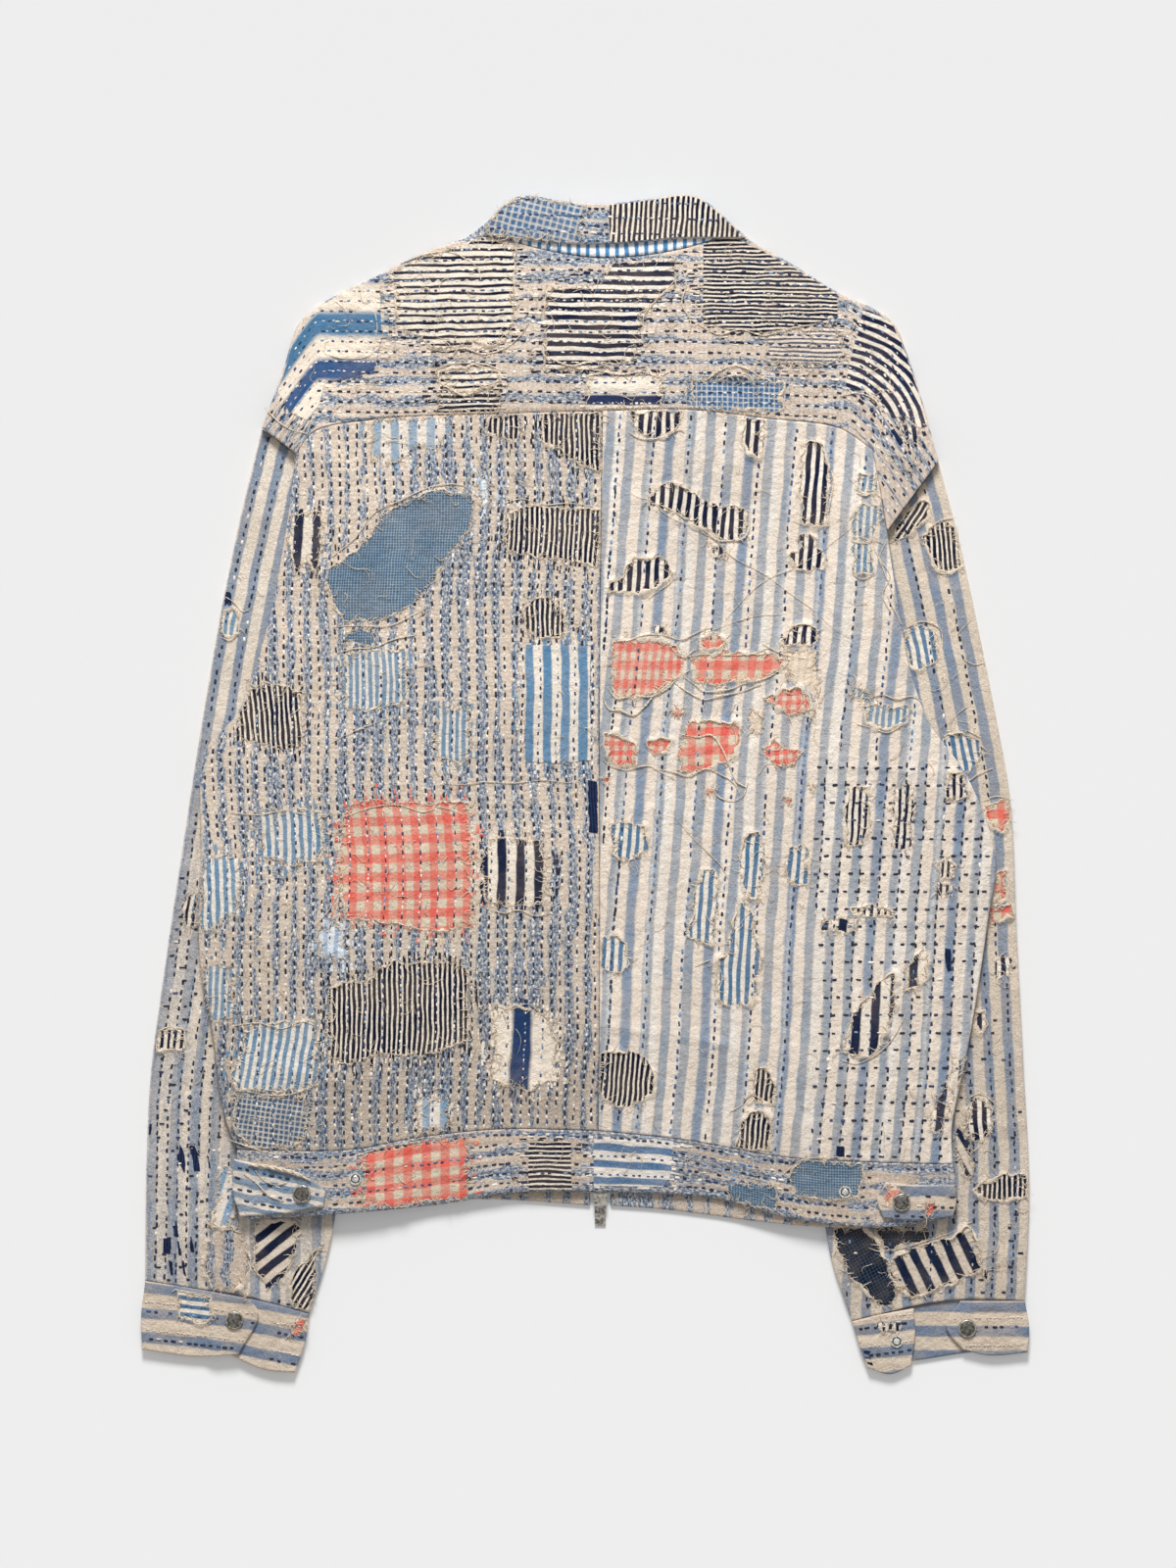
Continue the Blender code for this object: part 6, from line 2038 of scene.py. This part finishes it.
# All patches of one panel, as one piece with a slot for each cloth
def layPatches(node, table, seed):
    piece = sewn[node]
    names = sorted({row[0] for row in table})
    materials = [cloths[name] for name in names] + [cloths["frayedCotton"], cloths[piece["look"]["cloth"]]]
    gathered = Gathered()
    random = np.random.default_rng(seed)
    rims = []
    for k, (cloth, turn, edge, points) in enumerate(table):
        rim = patchRim(points, edge, piece["outline"], seed + 7 * k)
        piece["patches"].append((edge, rim, cloth not in unsewnCloths))
        rims.append((cloth, turn, rim))
        plate, faces, uv = patchPlate(piece, rim, edge, turn)
        gathered.add(plate, faces, uv, names.index(cloth))
        if edge in ("turned", "cut"):
            continue
        if edge == "torn":
            strength = lipLook["strength"].get(node, 1)
            lip, (frayed, plain), uv = patchLip(piece, rim, strength, seed + 7 * k + 3)
            gathered.add(lip, [frayed], uv, len(names))
            gathered.faces.append(plain + gathered.count - len(lip))
            gathered.slots.append(np.full(len(plain), len(names) + 1))
        apart = frayLook["every"] * (1 if edge == "torn" else frayLook["worn"])
        starts = rim[random.random(len(rim)) < patchLook["step"] / apart]
        inward = rim.mean(axis=0) - starts
        heading = np.arctan2(inward[:, 1], inward[:, 0])
        heading = heading + random.normal(0, frayLook["astray"], len(starts))
        heading += np.pi * (random.random(len(starts)) < frayLook["out"])
        gathered.add(*frays(piece, starts, heading, random), len(names))
    if node in mendedPieces:
        for cloth, turn, rim in [row for row in rims if row[0] not in unsewnCloths]:
            gathered.add(*flakes(piece, rim, turn, random), names.index(cloth))
    strays = strayThreads.get(node, 0)
    if strays:
        low, high = piece["outline"].min(axis=0), piece["outline"].max(axis=0)
        starts = random.uniform(low, high, (4 * strays, 2))
        inside = depthInside(starts[:, 0], starts[:, 1], piece["outline"]) > strayLook["margin"]
        starts = starts[inside][:strays]
        starts = starts[clearance(starts[:, 0], starts[:, 1]) > 0]
        starts = starts[strayRoom.get(node, everywhere)(starts[:, 0], starts[:, 1]) > 0.5]
        heading = random.uniform(0, 2 * np.pi, len(starts))
        gathered.add(*frays(piece, starts, heading, random, strayLook), len(names))
    for radius, points in strands.get(node, ()):
        for turn in (0, np.pi):
            gathered.add(*twisted(piece, points, plyShare * radius, turn, seed), len(names))
    made = gathered.make(node + "_patches", materials)
    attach(made, "jacket")
    piece["withPieces"].append(made)


for node, table, seed in (
    ("back_yoke", yokePatches, 100), ("back_panel_left", leftPanelPatches, 400),
    ("back_panel_right", rightPanelPatches, 800), ("sleeve_right_upper", rightSleevePatches, 1300),
    ("sleeve_left_upper", leftSleevePatches, 1500), ("back_band", backBandPatches, 1700),
    ("hem_tab_right", rightTabPatches, 1800), ("hem_tab_left", [], 1820),
    ("cuff_left_outer", leftCuffPatches[:2], 1850), ("cuff_left_inner", leftCuffPatches[2:], 1880),
    ("cuff_right_inner", rightCuffPatches, 1900), ("collar_leaf", collarLeafPatches, 1950),
):
    layPatches(node, table, seed)
print("patches laid:", sum(len(piece["patches"]) for piece in sewn.values()))


# Running stitches


# A stitch lies on the cloth as a small pad that goes in at both ends: two rings of four
# corners between two tips. u runs along it, v across, w up.
stitchShape = np.array([
    (-1, 0, -0.9), (-0.55, -1, -0.4), (-0.55, -0.55, 1), (-0.55, 0.55, 1), (-0.55, 1, -0.4),
    (0.55, -1, -0.4), (0.55, -0.55, 1), (0.55, 0.55, 1), (0.55, 1, -0.4), (1, 0, -0.9),
])
stitchQuads = np.array([(1, 5, 6, 2), (2, 6, 7, 3), (3, 7, 8, 4), (4, 8, 5, 1)])
stitchEnds = np.array([
    (0, 1, 2), (0, 2, 3), (0, 3, 4), (0, 4, 1), (9, 6, 5), (9, 7, 6), (9, 8, 7), (9, 5, 8),
])
threadColours = dict(navy="#12162A", ink="#232F52", slate="#4A5B80", sky="#7F9CBF", cream="#F2E8DB")


# How far a stitch turns out of its row, the range of its size and shade, and how much smaller it
# is on a patch and as a cream stitch between two dark ones, which is partly pale thread and partly
# a painted highlight for the glint of light between them
stitchLook = dict(astray=0.09, sizes=(0.75, 1.25), shades=(0.7, 1.2), onPatch=0.85, between=0.75)


def pickThreads(random, shares, count):
    share = np.array([shares.get(name, 0) for name in threadColours])
    return random.choice(len(share), count, p=share / share.sum())


# Each row starts anywhere in a pitch and wanders, and its stitches stray from their places by
# normal draws along and across it. They keep this far inside the piece's edge and from a torn
# rim. hidden is the lift that marks one to leave out.
rowLook = dict(along=0.4, across=0.22, wander=0.8, wanderSize=37, edge=2.4, rim=1.5, hidden=-9)


# Where the stitches of one look lie: across and along their rows, with the number of each one's
# row and its order in it
def rowsOf(piece, look, spans, place, seed, random):
    first, last = np.floor(spans[0].min() / look["row"]), np.ceil(spans[0].max() / look["row"])
    across = look["row"] * (np.arange(first, last + 1) + look["offset"])
    along = np.arange(spans[1].min(), spans[1].max(), look["pitch"])
    a, b = np.meshgrid(across, along, indexing="ij")
    number = np.broadcast_to(np.arange(len(across))[:, None], a.shape)
    order = np.broadcast_to(np.arange(len(along)), a.shape)
    b = b + random.uniform(0, look["pitch"], (len(across), 1)) + random.normal(0, rowLook["along"], b.shape)
    wander = rowLook["wander"] * unevenness(a, b, rowLook["wanderSize"], seed)
    a = a + random.normal(0, rowLook["across"], a.shape) + wander
    x, y = place(a, b)
    keep = (depthInside(x, y, piece["outline"]) > rowLook["edge"]) & (look["where"](x, y) > 0.5)
    keep &= random.random(a.shape) > look["missing"]
    keep &= clearance(x, y) > 0
    return a[keep], b[keep], number[keep], order[keep]


# How far each stitch stands up over its piece's patches
def liftOver(piece, look, x, y, number):
    lift = np.zeros_like(x)
    for edge, rim, sewnThrough in piece["patches"]:
        low, high = rim.min(axis=0), rim.max(axis=0)
        near = np.flatnonzero((x > low[0]) & (x < high[0]) & (y > low[1]) & (y < high[1]))
        depth = depthInside(x[near], y[near], rim)
        height = patchHeight(edge, np.maximum(depth, patchLook["tucked"]))
        lift[near] = np.where(depth > 0, height, lift[near])
        lift[near[(np.abs(depth) < rowLook["rim"]) & (edge == "torn")]] = rowLook["hidden"]
        lift[near[(depth > 0) & (number[near] % look["through"] != 0)]] = rowLook["hidden"]
        if not sewnThrough:
            lift[near[depth > 0]] = rowLook["hidden"]
    return lift


# Rows of stitches over a piece. Each look gives the distance between rows and between stitches,
# a stitch's half length, half width and height, and the share of each thread colour.
def sewRows(node, looks, seed):
    piece = sewn[node]
    random = np.random.default_rng(seed)
    spanAcross, spanAlong = piece["flow"](piece["grid"][..., 0], piece["grid"][..., 1])
    names = list(threadColours)
    every = []
    for look in looks:
        spans = (spanAlong, spanAcross) if look["crossing"] else (spanAcross, spanAlong)

        def at(a, b):
            return piece["place"](b, a) if look["crossing"] else piece["place"](a, b)

        a, b, number, order = rowsOf(piece, look, spans, at, seed, random)
        x, y = at(a, b)
        lift = liftOver(piece, look, x, y, number)
        keep = lift > rowLook["hidden"] / 2
        a, b, x, y, lift, order = a[keep], b[keep], x[keep], y[keep], lift[keep], order[keep]
        x0, y0 = at(a, b - 0.5)
        x1, y1 = at(a, b + 0.5)
        heading = np.arctan2(y1 - y0, x1 - x0) + random.normal(0, stitchLook["astray"], len(x))
        size = np.array([look["long"], look["wide"], look["high"]])
        size = size * random.uniform(*stitchLook["sizes"], (len(x), 3))
        onPatch = lift > 0
        pick = np.where(
            onPatch, pickThreads(random, patchThreads, len(x)), pickThreads(random, look["colours"], len(x))
        )
        size[onPatch] *= stitchLook["onPatch"]
        # every other stitch of such a row is a smaller cream one: partly pale thread, partly a painted
        # highlight for the glint between the dark stitches
        if look["between"]:
            glinting = order % 2 == 1
            pick[glinting] = names.index("cream")
            size[glinting] *= stitchLook["between"]
        u, v, w = (stitchShape[None, :, k] * size[:, k : k + 1] for k in range(3))
        px, py = turnedAt(x, y, heading, u, v)
        # a stitch lies half level, and follows the cloth below it by the other half
        base = piece["top"](px, py)
        level = base.mean(axis=1, keepdims=True) * 0.5 + base * 0.5
        points = np.stack([px, py, level + lift[:, None] + w], axis=-1)
        tint = np.array([hexColour(threadColours[name]) for name in names])[pick]
        tint[:, :3] *= random.uniform(*stitchLook["shades"], (len(x), 1))
        every.append((points, tint))
    points, tint = (np.vstack(some) for some in zip(*every))
    corners = len(stitchShape)
    start = corners * np.arange(len(points))[:, None, None]
    faces = [(stitchQuads + start).reshape(-1, 4), (stitchEnds + start).reshape(-1, 3)]
    made = addPiece(node + "_stitches", points.reshape(-1, 3), faces, None, [thread], sharp=80)
    layer = made.data.color_attributes.new("Thread", "FLOAT_COLOR", "POINT")
    layer.data.foreach_set("color", np.repeat(tint, corners, axis=0).ravel())
    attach(made, "jacket")
    piece["withPieces"].append(made)
    return len(points)


# Extra rows run down beside the centre seam, and the lower sleeves are closely stitched
def besideSeam(x, y):
    return np.where(x < zoneLook["seamX"], 1.0, 0.0)


def lowSleeveRoom(x, y):
    return offBody(x, y) * lowSleeve(x, y)


def highSleeveRoom(x, y):
    return offBody(x, y) * (1 - lowSleeve(x, y))


patchThreads = dict(slate=0.4, ink=0.35, sky=0.15, cream=0.1)
darkThreads = dict(navy=0.7, ink=0.17, slate=0.08, cream=0.05)
paleThreads = dict(navy=0.12, ink=0.22, slate=0.42, sky=0.24)
blueThreads = dict(navy=0.34, ink=0.26, slate=0.25, sky=0.1, cream=0.1)
smallStitch = dict(
    long=2.1, wide=0.85, high=0.6, missing=0.1, through=2, between=False, crossing=False, offset=0,
)


# A cuff's rows: dark ones half way and along its edge, and fine pale topstitching
def cuffRows(where):
    return [
        dict(row=19.0, pitch=5.2, where=where, colours=darkThreads, offset=0.27),
        dict(row=19.0, pitch=2.4, where=where, colours=dict(cream=1), offset=0.6, long=1.0, wide=0.4),
    ]


stitched = 0
for node, looks, seed in (
    (
        "back_panel_left",
        [dict(row=6.1, pitch=3.2, where=everywhere, colours=darkThreads, between=True, missing=0.12)],
        31,
    ),
    (
        "back_panel_right",
        [
            dict(row=24.5, pitch=6.2, where=outsideCorner, colours=paleThreads),
            dict(row=13.9, pitch=6.2, where=denseCorner, colours=darkThreads, offset=0.5, through=1),
            dict(row=12.2, pitch=8.0, where=denseCorner, colours=darkThreads, crossing=True, through=1),
            dict(row=12.2, pitch=4.6, where=besideSeam, colours=darkThreads, missing=0.2),
        ],
        32,
    ),
    (
        "back_yoke",
        [dict(row=7.0, pitch=3.3, where=offLeaf, colours=darkThreads, through=1, between=True)],
        33,
    ),
    (
        "sleeve_left_upper",
        [
            dict(row=14.3, pitch=6.0, where=highSleeveRoom, colours=darkThreads, offset=0.35),
            dict(row=7.15, pitch=5.8, where=lowSleeveRoom, colours=darkThreads),
            dict(row=9.0, pitch=14.3, where=lowSleeveRoom, colours=darkThreads, crossing=True, missing=0.35),
        ],
        34,
    ),
    (
        "sleeve_right_upper",
        [
            dict(row=21.4, pitch=6.4, where=highSleeveRoom, colours=darkThreads, offset=0.3),
            dict(row=14.3, pitch=6.0, where=lowSleeveRoom, colours=darkThreads, offset=0.35),
            dict(row=9.0, pitch=14.3, where=lowSleeveRoom, colours=darkThreads, crossing=True, missing=0.5),
        ],
        35,
    ),
    ("back_band", [dict(row=7.0, pitch=5.2, where=offTabs, colours=blueThreads)], 36),
    ("collar_leaf", [dict(row=5.4, pitch=5.0, where=everywhere, colours=blueThreads)], 37),
    ("hem_tab_left", [dict(row=7.0, pitch=5.6, where=everywhere, colours=blueThreads)], 38),
    ("hem_tab_right", [dict(row=7.0, pitch=5.6, where=everywhere, colours=darkThreads)], 39),
    ("cuff_left_outer", cuffRows(everywhere), 40),
    ("cuff_left_inner", cuffRows(clearOfLap), 41),
    ("cuff_right_outer", cuffRows(everywhere), 42),
    ("cuff_right_inner", cuffRows(clearOfLap), 43),
):
    stitched += sewRows(node, [{**smallStitch, **look} for look in looks], seed)
print("stitches sewn:", stitched)


# Metal: the caps have a plain groove round them, and the teeth of the open zip stand along both
# tapes, half a pitch apart


# dark is the near black of the painted shade in a snap's groove and of a cap's darkened middle
snapLook = dict(soft=0.4, dark="#0E0E10", bump=(0.0004, 0.8))


# A snap's finish, with a groove at a radius round the middle of its own box, its shade painted
# near black, and the disc inside it darkened by the share centre: on a cap this is partly its dark
# metal and partly leaves the rim lighter as a painted highlight
def snapMaterial(name, node, groove, width, centre, finish):
    material = metalMaterial(name, *finish)
    tree, shader = material.node_tree, material.node_tree.nodes["Principled BSDF"]
    low, high = np.min(node.bound_box, axis=0), np.max(node.bound_box, axis=0)
    middle = [float(value) for value in -(low + high) / 2]
    where = addNode(tree, "ShaderNodeTexCoord").outputs["Object"]
    centred = addNode(tree, "ShaderNodeMapping", {0: where, 1: middle})
    split = addNode(tree, "ShaderNodeSeparateXYZ", {0: centred.outputs[0]})
    flat = addNode(tree, "ShaderNodeCombineXYZ", {0: split.outputs[0], 1: split.outputs[1]})
    away = addNode(tree, "ShaderNodeVectorMath", {0: flat.outputs[0]}, operation="LENGTH").outputs["Value"]
    # the groove's near black is painted shade; a cap's darkened middle leaves its rim as a painted highlight
    beyond = calc(tree, "SUBTRACT", away, groove * mm)
    ring = spread(tree, calc(tree, "ABSOLUTE", beyond), 0.0, width * mm)
    darkMiddle = spread(tree, beyond, -snapLook["soft"] * mm, 0.0)
    darkMiddle = calc(tree, "MULTIPLY_ADD", darkMiddle, centre, 1 - centre)
    ring = calc(tree, "MULTIPLY", ring, darkMiddle)
    tint = shader.inputs["Base Color"].links[0].from_socket
    shown = blendColour(tree, calc(tree, "SUBTRACT", 1.0, ring), tint, hexColour(snapLook["dark"]))
    tree.links.new(shown, shader.inputs["Base Color"])
    dents = shader.inputs["Normal"].links[0].from_socket
    addBump(tree, shader, ring, *snapLook["bump"])
    grooved = shader.inputs["Normal"].links[0].from_node
    tree.links.new(dents, grooved.inputs["Normal"])
    return material


brightSteel = ("#ECEAE5", "#A3A09A", 0.2, 700.0, 0.3)
gunMetal = ("#BDB8AE", "#6E6A62", 0.2, 500.0, 0.5)
steel = metalMaterial("wornSteel", "#B4AFA6", "#55514A", 0.25, 420.0, 0.35)
for name in ("zip_slider", "zip_pull_tab"):
    bpy.data.objects[name].material_slots[0].material = steel
studs = ("hem_left_stud", "hem_right_stud", "cuff_right_stud")
caps = ("hem_tab_left_snap", "hem_tab_right_snap", "cuff_left_snap", "cuff_right_snap")
for names, groove, width, centre, finish in (
    (studs, 2.7, 0.7, 0.0, brightSteel), (caps, 5.0, 0.4, 0.62, gunMetal)
):
    for name in names:
        snap = bpy.data.objects[name]
        snap.material_slots[0].material = snapMaterial(name + "_finish", snap, groove, width, centre, finish)

# Each tooth is a box half wide on both sides of its middle, narrower at the tip
teethLook = dict(
    pitch=2.5, top=311.0, foot=-280.0, across=(0.15, 1.9), deep=(-0.5, 1.6), half=0.55, tip=0.75, inset=2,
)
for side, sign, offset in (("left", -1, 0), ("right", 1, 0.5)):
    rows = np.arange(teethLook["foot"], teethLook["top"], teethLook["pitch"]) + offset * teethLook["pitch"]
    corner = np.array([(i, j, k) for i in (0, 1) for j in (-1, 1) for k in (0, 1)])
    x = zipX + sign * np.array(teethLook["across"])[corner[:, 0]]
    half = teethLook["half"] * corner[:, 1] * np.where(corner[:, 0] == 0, teethLook["tip"], 1)
    y = rows[:, None] + half
    x = np.broadcast_to(x, y.shape)
    z = tapeUnder(np.full_like(y, zipX + sign * teethLook["inset"]), y)
    z = z + np.array(teethLook["deep"])[corner[:, 2]]
    box = np.array([(0, 1, 3, 2), (4, 6, 7, 5), (0, 4, 5, 1), (2, 3, 7, 6), (0, 2, 6, 4), (1, 5, 7, 3)])
    if sign < 0:
        box = box[:, ::-1]
    faces = (box + 8 * np.arange(len(rows))[:, None, None]).reshape(-1, 4)
    points = np.stack([x, y, z], axis=-1).reshape(-1, 3)
    teeth = addPiece(f"zip_tape_{side}_teeth", points, [faces], None, [steel], sharp=30)
    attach(teeth, "jacket")
    sewn[f"zip_tape_{side}"]["withPieces"].append(teeth)
print("metal and teeth done")


# The flat size of each cloth piece is the longest way across and down its cut
def cutOf(grid):
    across = np.linalg.norm(np.diff(grid, axis=1), axis=2).sum(axis=1).max()
    down = np.linalg.norm(np.diff(grid, axis=0), axis=2).sum(axis=0).max()
    one = np.diff(grid, axis=1)[:-1]
    other = np.diff(grid, axis=0)[:, :-1]
    area = np.abs(one[..., 0] * other[..., 1] - one[..., 1] * other[..., 0]).sum()
    return across, down, area


for node, piece in sewn.items():
    across, down, area = cutOf(piece["grid"])
    area = min(area, across * down)
    print(f"cut {node}: {across:.0f} x {down:.0f} mm, {area / 100:.0f} cm2")


# Floor, light and camera


# level is the light on the floor's middle from the lamp and the sky. Lengths here are in metres.
stageLook = dict(
    shown=0.847, level=1.01, most=0.8, light=156.5, sky=0.367, lightAt=(-0.15, 3.0, 2.4), lightSize=1.2,
    below=-0.0002, half=9,
)


# 1 for the rays that the eye and metal see by, and 0 for those that light the jacket
def raysSeen(tree):
    rays = addNode(tree, "ShaderNodeLightPath").outputs
    seen = calc(tree, "ADD", rays["Is Camera Ray"], rays["Is Glossy Ray"])
    return calc(tree, "ADD", seen, rays["Is Transmission Ray"], clamp=True)


# The floor's grey is what makes it shown = grey * lit, held below most. The rest of the level
# glows to the eye and in metal, so that the backdrop is even and keeps its shadow.
# lit = sky + lamp * facing * far^3 / away^4, for the lamp's distance far from the middle and away
# from each spot, and facing the part of away that lies along its beam
def floorMaterial():
    values = {"Roughness": 0.95, "Specular IOR Level": 0.0, "Emission Color": (1, 1, 1, 1)}
    material, tree, shader = newMaterial("paleFloor", values)
    lampAt = Vector(stageLook["lightAt"])
    spot = addNode(tree, "ShaderNodeTexCoord").outputs["Object"]
    ray = addNode(tree, "ShaderNodeVectorMath", {0: lampAt, 1: spot}, operation="SUBTRACT").outputs[0]
    away = addNode(tree, "ShaderNodeVectorMath", {0: ray}, operation="LENGTH").outputs["Value"]
    inputs = {0: ray, 1: lampAt.normalized()}
    facing = addNode(tree, "ShaderNodeVectorMath", inputs, operation="DOT_PRODUCT").outputs["Value"]
    facing = calc(tree, "MAXIMUM", facing, 0.0)
    beam = calc(tree, "DIVIDE", facing, calc(tree, "POWER", away, 4.0))
    lamp = (stageLook["level"] - stageLook["sky"]) * lampAt.length**3
    lit = calc(tree, "MULTIPLY_ADD", beam, lamp, stageLook["sky"])
    grey = calc(tree, "MINIMUM", calc(tree, "DIVIDE", stageLook["shown"], lit), stageLook["most"])
    tree.links.new(greyOf(tree, grey), shader.inputs["Base Color"])
    glow = calc(tree, "SUBTRACT", stageLook["shown"], calc(tree, "MULTIPLY", grey, lit))
    glow = calc(tree, "MAXIMUM", glow, 0.0)
    tree.links.new(calc(tree, "MULTIPLY", glow, raysSeen(tree)), shader.inputs["Emission Strength"])
    return material


def addFloor():
    mesh = bpy.data.meshes.new("floor")
    half = stageLook["half"]
    signs = ((-1, -1), (1, -1), (1, 1), (-1, 1))
    corners = [(half * i, half * j, stageLook["below"]) for i, j in signs]
    mesh.from_pydata(corners, [], [(0, 1, 2, 3)])
    floor = bpy.data.objects.new("floor", mesh)
    bpy.context.scene.collection.objects.link(floor)
    mesh.materials.append(floorMaterial())


def addLight():
    lamp = bpy.data.lights.new("softLight", "AREA")
    lamp.shape = "DISK"
    lamp.size = stageLook["lightSize"]
    lamp.energy = stageLook["light"]
    light = bpy.data.objects.new("softLight", lamp)
    light.location = stageLook["lightAt"]
    light.rotation_euler = (-Vector(stageLook["lightAt"])).to_track_quat("-Z", "Y").to_euler()
    bpy.context.scene.collection.objects.link(light)


def addSky():
    world = bpy.data.worlds.new("sky")
    world.use_nodes = True
    tree = world.node_tree
    background = tree.nodes["Background"]
    background.inputs["Color"].default_value = (1, 1, 1, 1)
    sky = stageLook["sky"]
    level = calc(tree, "MULTIPLY_ADD", raysSeen(tree), stageLook["shown"] - sky, sky)
    tree.links.new(level, background.inputs["Strength"])
    bpy.context.scene.world = world


# The camera looks straight down from height, and its image takes in across of the floor from side
# to side and aspect times as much the other way. at is the place below it in millimetres.
viewLook = dict(height=6.0, across=0.816, aspect=4 / 3, at=(2.02, 0.34), sensor=36, reach=30)


def addCamera():
    camera = bpy.data.cameras.new("camera")
    camera.sensor_fit = "AUTO"
    camera.sensor_width = viewLook["sensor"]
    camera.lens = viewLook["sensor"] * viewLook["height"] / (viewLook["across"] * viewLook["aspect"])
    camera.clip_end = viewLook["reach"]
    viewer = bpy.data.objects.new("camera", camera)
    viewer.location = (viewLook["at"][0] * mm, viewLook["at"][1] * mm, viewLook["height"])
    bpy.context.scene.collection.objects.link(viewer)
    bpy.context.scene.camera = viewer


addFloor()
addLight()
addSky()
addCamera()
bpy.context.scene.view_settings.view_transform = "Standard"
